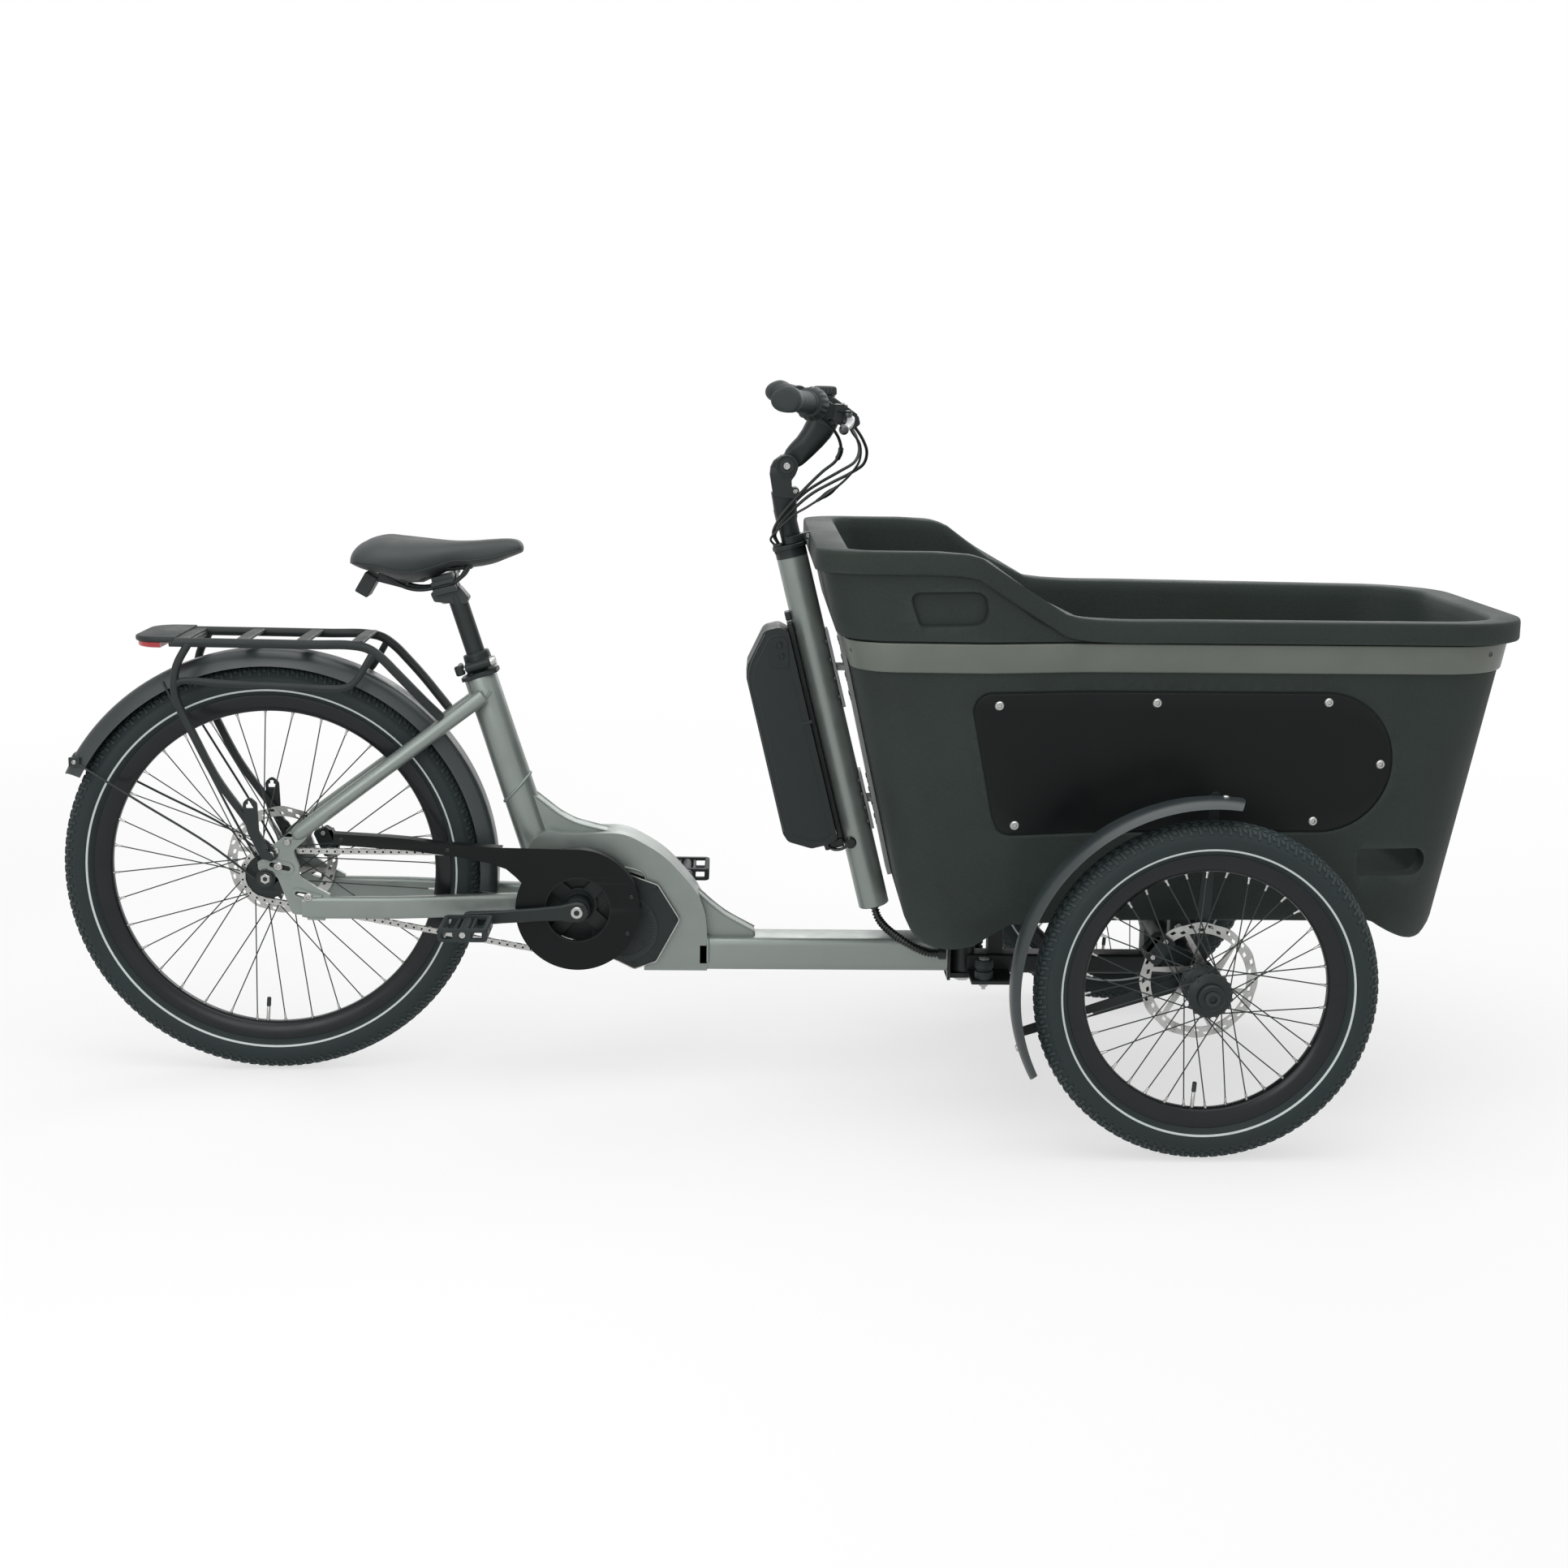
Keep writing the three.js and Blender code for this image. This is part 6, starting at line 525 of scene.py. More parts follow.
def spokes_and_nipples(centre, bead, flange_offsets, flange_radius):
    spokes, nipples = Shape(), Shape()
    x, y, z = centre
    for k in range(SPOKE_COUNT):
        side = k % 2
        rim_angle = TAU * k / SPOKE_COUNT + 0.04
        lean = math.radians(62) * (1 if k % 4 < 2 else -1)
        hub_angle = rim_angle + lean
        offset = flange_offsets[side]
        lift = 1.6 if k % 4 < 2 else -1.6
        start = Vector((x + flange_radius * math.cos(hub_angle), offset + lift,
                        z + flange_radius * math.sin(hub_angle)))
        rim_y = y + (2.5 if offset > y else -2.5)
        reach = bead - RIM_DEPTH + 1
        end = Vector((x + reach * math.cos(rim_angle), rim_y, z + reach * math.sin(rim_angle)))
        along = (end - start).normalized()
        spokes.add(tube([start, end - along * 8], 1.0, 8))
        nipples.add(tube([end - along * 11, end - along * 10.6, end - along * 4, end - along * 3.6,
                          end + along],
                         [1.4, 1.8, 1.8, 2.6, 2.6], 10))
        spokes.add(disc(2.1, -0.9, 0.9, start + Vector((0, lift * 0.8, 0)), sides=12, edge=0.4))
    return spokes, nipples


def rotor_shape(centre, y):
    """Brake disc: waved ring with slots, on leaning arms."""
    x, z = centre[0], centre[2]
    outer = []
    for i in range(144):
        angle = TAU * i / 144
        radius = 89 + 0.9 * math.cos(12 * angle)
        outer.append((x + radius * math.cos(angle), z + radius * math.sin(angle)))
    holes = [circle(x, z, 73, 96)]
    for i in range(36):
        middle = 10 * i
        low, high = (76, 80.5) if i % 2 else (81.5, 86)
        slot = arc(x, z, low, middle - 3, middle + 2, 3) + arc(x, z, high, middle + 3.6, middle - 1.4, 3)
        holes.append(slot)
    ring = plate(outer, y - 0.9, y + 0.9, holes)
    for i in range(6):
        base = 60 * i + 15
        root, tip = arc(x, z, 23, base, base, 1)[0], arc(x, z, 75, base + 32, base + 32, 1)[0]
        heading = (Vector(tip) - Vector(root)).normalized()
        across = Vector((-heading.y, heading.x)) * 3.4
        outline = [tuple(Vector(root) - across * 1.6), tuple(Vector(tip) - across),
                   tuple(Vector(tip) + across), tuple(Vector(root) + across * 1.6)]
        ring.add(plate(outline, y - 0.85, y + 0.85))
    ring.add(plate(circle(x, z, 27, 40), y - 0.95, y + 0.95, [circle(x, z, 17, 24)]))
    for i in range(6):
        spot = arc(x, z, 22, 60 * i, 60 * i, 1)[0]
        for way in (1, -1):
            ring.add(bolt(Vector((spot[0], y + way * 0.9, spot[1])), (0, way, 0), 3.4, 2.2, 16))
    return ring


def valve(centre, bead, name, body):
    turn = math.radians(VALVE_ANGLE)
    out = Vector((math.cos(turn), 0, math.sin(turn)))
    base = Vector(centre) + out * (bead - RIM_DEPTH)
    stem = tube([base, base - out * 22, base - out * 22.5, base - out * 24], [3, 3, 2.6, 2.6], 14)
    piece(name + "_valve", stem, body, "bright")
    cap = tube([base - out * 24, base - out * 24.6, base - out * 38, base - out * 39], [3.1, 3.6, 3.4, 2.4],
               14)
    piece(name + "_valve_cap", cap, body, "plastic")


def wheel(name, suffix, centre, bead, body, hub, flanges, flange_radius, rotor_y):
    def node(part):
        return f"{name}_{part}{suffix}"

    piece(node("tyre") + "_tread", tyre_shape(centre, bead), body, "tyre", [node("tyre")], sharp=30)
    piece(node("tyre") + "_stripe", stripe_shape(centre, bead), body, "stripe")
    piece(node("rim") + "_turned", rim_shape(centre, bead), body, "rim", [node("rim")], sharp=50)
    spokes, nipples = spokes_and_nipples(centre, bead, flanges, flange_radius)
    piece(node("hub_spokes") + "_wires", spokes, body, "black", [node("hub_spokes")])
    piece(node("hub_spokes") + "_nipples", nipples, body, "bright")
    piece(node("hub_spokes") + "_shell", hub, body, "black")
    piece(node("brake_rotor") + "_cut", rotor_shape(centre, rotor_y), body, "bright", [node("brake_rotor")],
          sharp=30)
    valve(centre, bead, name + suffix, body)


WHEELBASE = 1441
FRONT_HALF_TRACK = 412
REAR_BEAD = 279.5
FRONT_BEAD = 203
REAR_AXLE_Z = 334.5
FRONT_AXLE_Z = 258


def rear_wheel():
    centre = (0, 0, REAR_AXLE_Z)
    profile = [(7, -50), (14, -50), (14.5, -46), (30, -32), (31, -30), (31, -26), (29, -24), (27, -22),
               (26, 0),
               (27, 22), (29, 24), (31, 26), (31, 30), (28, 32), (19, 44), (18, 53), (7, 55.5)]
    hub = lathe(profile, centre, sides=64, ends=False)
    for i in range(6):
        hub.add(tube([polar(centre, 24, 60 * i, y) for y in (-33, 33)], 3, 10))
    wheel("rear", "", centre, REAR_BEAD, "rear_wheel", hub, (-28, 28), 28, 57)


def front_wheel(side):
    suffix = "_left" if side > 0 else "_right"
    centre = (WHEELBASE, side * FRONT_HALF_TRACK, FRONT_AXLE_Z)
    profile = [(9, 362), (22, 362), (23, 366), (24, 380), (31, 383), (32, 385), (32, 388), (26, 391),
               (20, 398),
               (20, 426), (26, 433), (32, 436), (33, 438), (33, 441), (31, 443), (21, 446), (20, 455),
               (18, 457),
               (12, 457.5), (11.5, 461), (6, 462), (5.5, 459), (0.01, 459)]
    hub = lathe([(r, side * y) for r, y in profile], (WHEELBASE, 0, FRONT_AXLE_Z), sides=64, ends=False)
    for i in range(18):
        hub.add(tube([polar(centre, 31.5, 20 * (i + 0.5), side * y) for y in (436, 442.5)], 3.4, 12))
    flanges = (side * 386, side * 440)
    wheel("front", suffix, centre, FRONT_BEAD, "front_wheel" + suffix, hub, flanges, 29, side * 359)


# Frame, motor and drive

BB_X, BB_Z = 493, 289
ARCH = (278, 170)
LEAN = math.radians(18)
SEAT_UP = Vector((-math.sin(LEAN), 0, math.cos(LEAN)))
SEAT_AHEAD = Vector((math.cos(LEAN), 0, math.sin(LEAN)))
SEAT_TOP = Vector((332, 0, 653))
POST_BASE = SEAT_TOP + SEAT_AHEAD * 5
BEAM_LOW, BEAM_HIGH, BEAM_END = 176, 230, 1094


def around_bb(shares, length, height):
    return placed(shares, BB_X, BB_Z, length, height)


def link(start, start_radius, end, end_radius, steps=16):
    """The outline round two circles."""
    heading = math.degrees(math.atan2(end[1] - start[1], end[0] - start[0]))
    span = math.hypot(end[0] - start[0], end[1] - start[1])
    open_angle = math.degrees(math.acos((start_radius - end_radius) / span))
    return (arc(*start, start_radius, heading + open_angle, heading + 360 - open_angle, steps)
            + arc(*end, end_radius, heading - open_angle, heading + open_angle, steps))


def rectangle(width, height, corner, steps=5):
    w, h = width / 2, height / 2
    return rounded([(-w, -h), (w, -h), (w, h), (-w, h)], corner, steps)


def sweep(points, sections, side=Y):
    """Outlines of (side, up) set across a route; one outline for all or one for each point."""
    points = [Vector(p) for p in points]
    rows = []
    for i, point in enumerate(points):
        ahead = (points[min(i + 1, len(points) - 1)] - points[max(i - 1, 0)]).normalized()
        across = (side - ahead * side.dot(ahead)).normalized()
        up = ahead.cross(across)
        outline = sections[i] if isinstance(sections[0], list) else sections
        rows.append([point + across * u + up * v for u, v in outline])
    return skin(rows)


def main_frame():
    tube_foot = SEAT_TOP - SEAT_UP * 300
    profile = [(27.5, 0), (27.2, 90), (26.5, 200), (26.5, 297), (25.5, 299.5), (16, 300), (16, 280)]
    seat_tube = lathe(profile, tube_foot, SEAT_UP, 64)
    piece("frame_seat_tube", seat_tube, "frame", "frame", ["main_frame"])
    arch = around_bb([(-0.325, 0.42), (-0.27, 0.6), (-0.191, 0.69), (-0.1, 0.672), (0.0, 0.668),
                      (0.12, 0.676),
                      (0.255, 0.665), (0.375, 0.575), (0.493, 0.447), (0.6, 0.265), (0.687, 0.082),
                      (0.73, -0.1),
                      (0.745, -0.35)], *ARCH)
    arch = [tuple(p) for p in (q.to_2d() for q in smooth_route([(x, z, 0) for x, z in arch], 4))]
    clear = 61.3
    low = [(arch[-1][0], BEAM_LOW), (597.5, BEAM_LOW), (597.5, 332), (572, 341)]
    yoke_front = BB_X - clear
    cradle = arch + low + arc(BB_X, BB_Z, clear, 96, 180, 14) + [
        (yoke_front, BB_Z - 27), (yoke_front - 29, BB_Z - 27), (yoke_front - 29, BB_Z + 21)]
    piece("frame_arch", plate(cradle, -36, 36), "frame", "frame", bevel=9, steps=6)
    yoke = box((29, 92, 48), (yoke_front - 14.5, 0, BB_Z - 3))
    piece("frame_yoke", yoke, "frame", "frame", bevel=6, steps=4)
    outer = rectangle(72, BEAM_HIGH - BEAM_LOW, 12)
    middle = (BEAM_HIGH + BEAM_LOW) / 2
    start = arch[-1][0] - 12
    beam = sweep([(start, 0, middle), ((start + BEAM_END) / 2, 0, middle), (BEAM_END, 0, middle)], outer)
    piece("frame_beam", beam, "frame", "frame")
    rear = around_bb([(-0.335, 1.006), (-0.262, 1.01), (-0.2, 0.93), (-0.12, 0.83), (-0.032, 0.755),
                      (0.09, 0.7),
                      (0.2, 0.66), (-0.191, 0.535)], *ARCH)
    front = around_bb([(0.6, 0.19), (0.66, 0.105), (0.709, 0.04), (0.759, -0.035), (0.85, -0.15),
                       (1.02, -0.305),
                       (1.03, -0.371), (0.644, -0.4)], *ARCH)
    gussets = plate(rear, -16, 16).add(plate(front, -16, 16))
    piece("frame_gussets", gussets, "frame", "frame", bevel=3, steps=3)
    beads = Shape()
    for side in (-1, 1):
        line = [Vector((x, side * 35.3, z)) for x, z in arch[:9]]
        beads.add(weld([(x, side * 16.5, z) for x, z in rear[1:7]], 1.8))
        beads.add(weld([(x, side * 16.5, z) for x, z in front[1:6]], 1.8))
        corner = [(arch[-1][0] + 1, side * y, z) for y,
                  z in ((20, 230.5), (32, 228), (36.4, 220), (36.4, 190))]
        beads.add(weld(corner, 2.6))
        shell = [(599, 200), (599, 300), (596, 334), (570, 345), (530, 347), (490, 350)]
        beads.add(weld([(x + 1, side * 36.4, z + 2) for x, z in shell], 2.2))
        beads.add(weld([POST_BASE - SEAT_UP * 28 + Vector((x, side * y, z))
                        for x, y, z in ((-20, 20, -30), (-6, 27, -14), (6, 26, 4))], 2.2))
    ring = [tube_foot + SEAT_UP * (110 + 16 * math.cos(a)) + SEAT_AHEAD * 27 * math.cos(a) + Y * 27 * math.sin(a)
            for a in (TAU * k / 24 for k in range(25))]
    beads.add(weld(ring, 2.6))
    piece("frame_welds", beads, "frame", "frame", sharp=80)
    end = (BEAM_END - 3.5, -43.4, 210)
    clip = lathe([(7.6, -12), (10.5, -12), (10.5, -0.3), (7.6, -0.3)], end, (1, 0, 0), 28, ring=True)
    clip.add(box((11.7, 4, 15), (end[0] - 6.2, -37.6, 210)))
    piece("frame_hose_clip", clip, "frame", "black", bevel=0.6)


def rear_triangle(side, label):
    name = "rear_triangle_" + label
    corners = [(29, 402), (47, 415), (66, 400), (43, 379), (52, 353), (51, 338), (76, 321), (100, 308),
               (100, 271),
               (40, 276), (18, 336), (-12, 348), (-13, 362), (6, 367), (5, 382), (18, 393)]
    outline = rounded(corners, [5, 5, 5, 9, 9, 9, 8, 2, 2, 9, 9, 6, 6, 3, 6, 4])
    slots = [((10, 356.5), (35, 350.5)), ((49, 309.5), (79, 299.5))]
    shape = side_plate(side, outline, 66, 74, [link(a, 4, b, 4, 8) for a, b in slots])
    for a, b in slots:
        shape.add(side_plate(side, link(a, 9.5, b, 9.5, 12), 74, 76, [link(a, 4, b, 4, 8)]))
    piece(name + "_dropout", shape, "frame", "frame", [name], bevel=1.0)
    slider = Shape()
    for radius, x, lift, end_radius in ((15, 26, 16, 13), (13, 44, -16, 11)):
        arm = link((0, REAR_AXLE_Z), radius, (x, REAR_AXLE_Z + lift), end_radius, 14)
        slider.add(side_plate(side, arm, 66.4, 71, [circle(0, REAR_AXLE_Z, 6.3, 24)]))
    piece(name + "_slider", slider, "frame", "black", bevel=0.6)
    top = SEAT_TOP - SEAT_UP * 28 + Y * side * 39.3
    foot = Vector((46, side * 71, 403))
    shape = lathe([(0.01, -3), (7, -2), (10.5, 3), (12.5, 12), (12.5, (top - foot).length - 1),
                   (12, (top - foot).length)], foot, top - foot, 40)
    run = BB_X - 61.3 - 29.3 - 62
    route, sections = [], []
    for t, out, width in ((-0.02, 78, 12), (0.02, 78, 16), (0.2, 77, 16.5), (0.41, 75, 17),
                          (0.56, 68.5, 18.5),
                          (0.7, 60, 20), (0.85, 52, 20), (1, 46, 20)):
        route.append((62 + t * run, side * (out - width / 2), 286 + (1 - t) * 0.5))
        sections.append(rectangle(width, 36 if t > 0 else 30, min(width, 16) / 2.3))
    shape.add(sweep(route, sections))
    piece(name + "_stays", shape, "frame", "frame", sharp=50)
    beads = Shape()
    y = side * 74.5
    for a, b in (((30, 395), (62, 409)), ((64, 303), (88, 306)), ((64, 269), (92, 268))):
        beads.add(weld([(a[0], y, a[1]), (b[0], y, b[1])], 2.4))
    piece(name + "_welds", beads, "frame", "frame", sharp=80)
    screws = Shape()
    for x, z, reach, radius in ((35, 393, 74, 5.5), (17, 379, 74, 5), (20, 354, 76, 7), (66, 304, 76, 7)):
        screws.add(bolt((x, side * reach, z), (0, side, 0), radius, 3.4))
    piece(name + "_screws", screws, "frame", "bright", sharp=30)


def rear_axle():
    nuts = Shape()
    core = Shape()
    for side in (-1, 1):
        nuts.add(lathe([(15, 74.3), (15, 76), (13.5, 77), (12.4, 77), (12.2, 80), (0.01, 80)],
                       (0, 0, REAR_AXLE_Z), (0, side, 0), 40))
        core.add(lathe([(8.4, 79.5), (8.4, 81), (7.6, 81.8), (4, 81.8), (4, 79), (0.01, 79)],
                       (0, 0, REAR_AXLE_Z), (0, side, 0), 6))
    nuts.add(lathe([(5.9, -75), (5.9, 75)], (0, 0, REAR_AXLE_Z), Y, 24))
    piece("rear_axle_nuts", nuts, "frame", "black", ["rear_axle"])
    piece("rear_axle_core", core, "frame", "bright", sharp=20)


def motor():
    shares = [(0.485, 0.459), (0.779, 0.303), (1, -0.229), (0.767, -0.881), (0.546, -1)]
    front = around_bb(shares, 163, 109)
    outline = rounded(arc(BB_X, BB_Z, 60, 100, 260, 24) + front[::-1], [0] * 25 + [10, 9, 9, 9, 12])
    piece("motor_body", plate(inset(outline, 1.2), -45.4, 45.4), "frame", "black", ["motor"], bevel=2.4,
          steps=4)
    edges = Shape()
    for side in (-1, 1):
        edges.add(side_plate(side, outline, 43.2, 46.4, [inset(outline, 1.6)]))
    piece("motor_edge", edges, "frame", "bright", bevel=0.5)
    cover_x, cover_z = around_bb([(0.454, -0.376)], 163, 109)[0]
    spot = (cover_x, 0, cover_z)
    cover = lathe([(0.01, 45), (54, 45), (54, 46.4), (53, 47.3), (50, 47.5), (44, 46.6), (0.01, 46.6)],
                  spot, (0, -1, 0), 72)
    for k in range(40):
        turn = math.radians(-80 + 4.5 * k) - math.radians(60)
        heading = Vector((math.cos(turn), 0, math.sin(turn)))
        cover.add(box((9, 2.2, 2.0), Vector(spot) + heading * 48 + Y * -46.9,
                      (heading, Y, heading.cross(Y))))
    piece("motor_cover", cover, "frame", "plastic", sharp=30)
    screws = Shape()
    for x, z in inset(outline, 8)[::7]:
        screws.add(bolt((x, -45.4, z), (0, -1, 0), 3.6, 1.6, 16))
    for k in range(5):
        screws.add(bolt(polar(spot, 38, 72 * k + math.degrees(0.6), -46.6), (0, -1, 0), 3.2, 1.4, 16))
    piece("motor_screws", screws, "frame", "black", sharp=30)


PITCH = 12.7
CHAIN_Y = -54
SPROCKET_TEETH, CHAINRING_TEETH = 20, 42
CRANK_LENGTH = 170
CRANK_ANGLE = 184.2


def pitch_radius(teeth):
    return PITCH / (2 * math.sin(math.pi / teeth))


def belt():
    """The closed chain line: two arcs with their tangents."""
    rear, front = pitch_radius(SPROCKET_TEETH), pitch_radius(CHAINRING_TEETH)
    span = math.hypot(BB_X, BB_Z - REAR_AXLE_Z)
    slope = math.degrees(math.atan2(BB_Z - REAR_AXLE_Z, BB_X))
    lean = math.degrees(math.acos((rear - front) / span))
    return (arc(BB_X, BB_Z, front, slope - lean, slope + lean, 60)
            + arc(0, REAR_AXLE_Z, rear, slope + lean, slope - lean + 360, 40))


def chain():
    line = [Vector((x, CHAIN_Y, z)) for x, z in belt()]
    line.append(line[0])
    length = route_length(line)
    count = 2 * round(length / PITCH / 2)
    pins = [point_along(line, length * i / count) for i in range(count)]
    plates, rollers = Shape(), Shape()
    for i, pin in enumerate(pins):
        after = pins[(i + 1) % count]
        reach = 3.1 if i % 2 else 1.9
        outline = link((pin.x, pin.z), 4.2, (after.x, after.z), 4.2, 4)
        waist = (pin + after) / 2
        pulled = [(x, z) if math.hypot(x - waist.x, z - waist.z) > 5 else
                  (x + (waist.x - x) * 0.3, z + (waist.z - z) * 0.3) for x, z in outline]
        for side in (-1, 1):
            near, far = sorted((CHAIN_Y + side * reach, CHAIN_Y + side * (reach + 0.9)))
            plates.add(plate(pulled, near, far))
        rollers.add(lathe([(3.9, -1.9), (3.9, 1.9)], pin, Y, 10))
        rollers.add(lathe([(1.8, -4), (1.8, 4)], pin, Y, 8))
    piece("chain_links", plates, "frame", "bright", ["chain"], sharp=30)
    piece("chain_rollers", rollers, "frame", "bright", sharp=30)


def toothed(x, z, teeth, bore, near, far, windows=()):
    outline = []
    base = pitch_radius(teeth)
    for k in range(teeth):
        for shift, lift in ((-0.27, -3.4), (-0.1, 3.2), (0.1, 3.2), (0.27, -3.4)):
            turn = TAU * (k + 0.5 + shift) / teeth
            outline.append((x + (base + lift) * math.cos(turn), z + (base + lift) * math.sin(turn)))
    return plate(outline, near, far, [circle(x, z, bore, 32), *windows])


def sprocket_and_chainring():
    sprocket = toothed(0, REAR_AXLE_Z, SPROCKET_TEETH, 16, CHAIN_Y - 1.2, CHAIN_Y + 1.2)
    piece("rear_sprocket_teeth", sprocket, "sprocket", "black", ["rear_sprocket"], bevel=0.3)
    inner = pitch_radius(CHAINRING_TEETH) - 14
    windows = []
    for k in range(4):
        middle = CRANK_ANGLE + 90 * k
        windows.append(arc(BB_X, BB_Z, inner, middle - 36, middle + 36, 16)
                       + arc(BB_X, BB_Z, 29, middle + 20, middle - 20, 8))
    ring = toothed(BB_X, BB_Z, CHAINRING_TEETH, 12.3, CHAIN_Y - 1.4, CHAIN_Y + 1.4, windows)
    piece("chainring_teeth", ring, "crank", "black", ["chainring"], bevel=0.4)
    hub = lathe([(13, 55), (25, 55), (25, 60), (21, 63), (19, 88), (13, 88)], (BB_X, 0, BB_Z), (0, -1, 0),
                48, ring=True)
    for k in range(4):
        hub.add(bolt(polar((BB_X, 0, BB_Z), 68, CRANK_ANGLE + 45 + 90 * k, CHAIN_Y - 1.4), (0, -1, 0), 5.5,
                     3))
    piece("chainring_hub", hub, "crank", "black")


def crank_angle(side):
    """Where the crank of that side points to, in degrees."""
    return CRANK_ANGLE + (180 if side > 0 else 0)


def crank(side, label):
    angle = math.radians(crank_angle(side))
    tip = polar((BB_X, 0, BB_Z), CRANK_LENGTH, crank_angle(side), 0)
    name = "crank_arm_" + label
    rows = []
    heading = Vector((math.cos(angle), 0, math.sin(angle)))
    across = Vector((-math.sin(angle), 0, math.cos(angle)))
    for t, half in ((-17, 5), (-15, 10), (-10, 14.5), (0, 17), (10, 15.5), (26, 12.5), (60, 11),
                    (120, 10.4),
                    (155, 11), (170, 12), (177, 10), (181, 5)):
        thick = 5.6 if 20 < t < 150 else 6.4
        centre = Vector((BB_X, side * 97.5, BB_Z)) + heading * t
        rows.append([centre + across * half * u + Y * thick * v for u, v in
                     ((-1, -0.55), (-0.8, -1), (0.8, -1), (1, -0.55), (1, 0.55), (0.8, 1), (0.25, 1),
                      (0.2, 0.82),
                      (-0.2, 0.82), (-0.25, 1), (-0.8, 1), (-1, 0.55))])
    piece(name + "_forged", skin(rows), "crank", "black", [name], bevel=0.8)
    bits = lathe([(9.5, 103), (9.5, 105.2), (8.4, 106.2), (4.6, 106.2), (4.4, 103.5), (0.01, 103.5)],
                 (BB_X, 0, BB_Z), (0, side, 0), 32)
    piece(name + "_bolt", bits, "crank", "bright", sharp=30)
    axle = lathe([(5, 91), (5, 108)], tip, (0, side, 0), 24)
    axle.add(lathe([(7.5, 103.6), (7.5, 109.5)], tip, (0, side, 0), 6))
    axle.add(lathe([(4.9, 108), (4.9, 200)], tip, (0, side, 0), 20))
    piece(name + "_pedal_axle", axle, "crank", "bright", sharp=30)
    if side > 0:
        spindle = lathe([(12, -103.5), (12, 103.5)], (BB_X, 0, BB_Z), Y, 32)
        piece("crank_spindle", spindle, "crank", "bright")


def pedal(side, label):
    x, _, z = polar((BB_X, 0, BB_Z), CRANK_LENGTH, crank_angle(side), 0)
    name = "pedal_" + label
    cage = Shape()
    near, far = sorted((side * 111, side * 203))
    windows = [[(u + shift, v) for u, v in rectangle(18, 10, 3)] for shift in (-23, 23)]
    for low, high in ((near, near + 9), (far - 9, far)):
        shape = plate(rectangle(76, 20, 7), low, high, [circle(0, 0, 6, 16)] + windows)
        cage.add(shape.changed(lambda p: Vector((p.x + x, p.y, p.z + z))))

    def rail(shift, outline):
        ys = (near + 4, (near + far) / 2, far - 4)
        cage.add(sweep([(x + shift, y, z) for y in ys], outline, X))

    for shift in (-34, 34):
        rail(shift, rectangle(8, 20, 3))
        for k in range(6):
            y = near + 14 + (far - near - 28) * k / 5
            for way in (-1, 1):
                cage.add(box((5, 3.5, 2.2), (x + shift, y, z + way * 9.2)))
    for shift in (-12.5, 12.5):
        rail(shift, rectangle(5, 15, 2))
    cage.add(lathe([(6, near + 5), (10, near + 5), (8.6, near + 30), (8.6, far - 12), (9.5, far - 6),
                    (6, far - 6)],
                   (x, 0, z), Y, 28, ring=True))
    piece(name + "_cage", cage, label + "_pedal", "grip", [name], bevel=0.9)
    glow = Shape()
    for shift in (-38, 38):
        for k in (0.3, 0.7):
            glow.add(box((1.4, 16, 8), (x + shift * 0.985, near + (far - near) * k, z)))
    piece(name + "_reflectors", glow, label + "_pedal", "fender", bevel=0.6)


def chain_guard():
    def spots(*places):
        return placed(places, BB_X, BB_Z, 1, 1)

    arm = spots((-384, 120.9), (-300, 116.5), (-265, 113.5), (-215, 106), (-120, 100.5), (-40, 99.2))
    ring = arc(BB_X, BB_Z, 99, 90, -206, 90)
    back = spots((-98, 53), (-113, 66), (-140, 75.5), (-192, 85.5), (-268.8, 95), (-384, 102.9))
    outline = arm + ring + back
    guard = plate(outline, -86, -83.2, [circle(BB_X, BB_Z, 53, 64)])
    piece("chain_guard_plate", guard, "frame", "panel", ["chain_guard"], bevel=0.9)
    rim = lathe([(99, -86), (99, -62), (96.4, -62), (96.4, -84)], (BB_X, 0, BB_Z), Y, 96, ring=True)
    rim.add(lathe([(53, -86), (53, -79), (51.2, -79), (51.2, -86)], (BB_X, 0, BB_Z), Y, 72, ring=True))
    lip = [Vector((x, -74, z)) for x, z in arm[:-1]]
    rim.add(sweep([p + Vector((0, 0, -1.4)) for p in lip], rectangle(23, 2.4, 1)))
    for angle in (0, -48):
        rim.add(lathe([(4, -84), (4, -47.8)], polar((BB_X, 0, BB_Z), 97, angle, 0), Y, 20))
    piece("chain_guard_rim", rim, "frame", "panel", sharp=40)
    screws = Shape()
    for x, z in spots((-372, 111.5), (-205, 96), (80, -38), (86, 22)):
        screws.add(bolt((x, -86, z), (0, -1, 0), 3.6, 1.8, 16))
    piece("chain_guard_screws", screws, "frame", "black", sharp=30)


# Seat

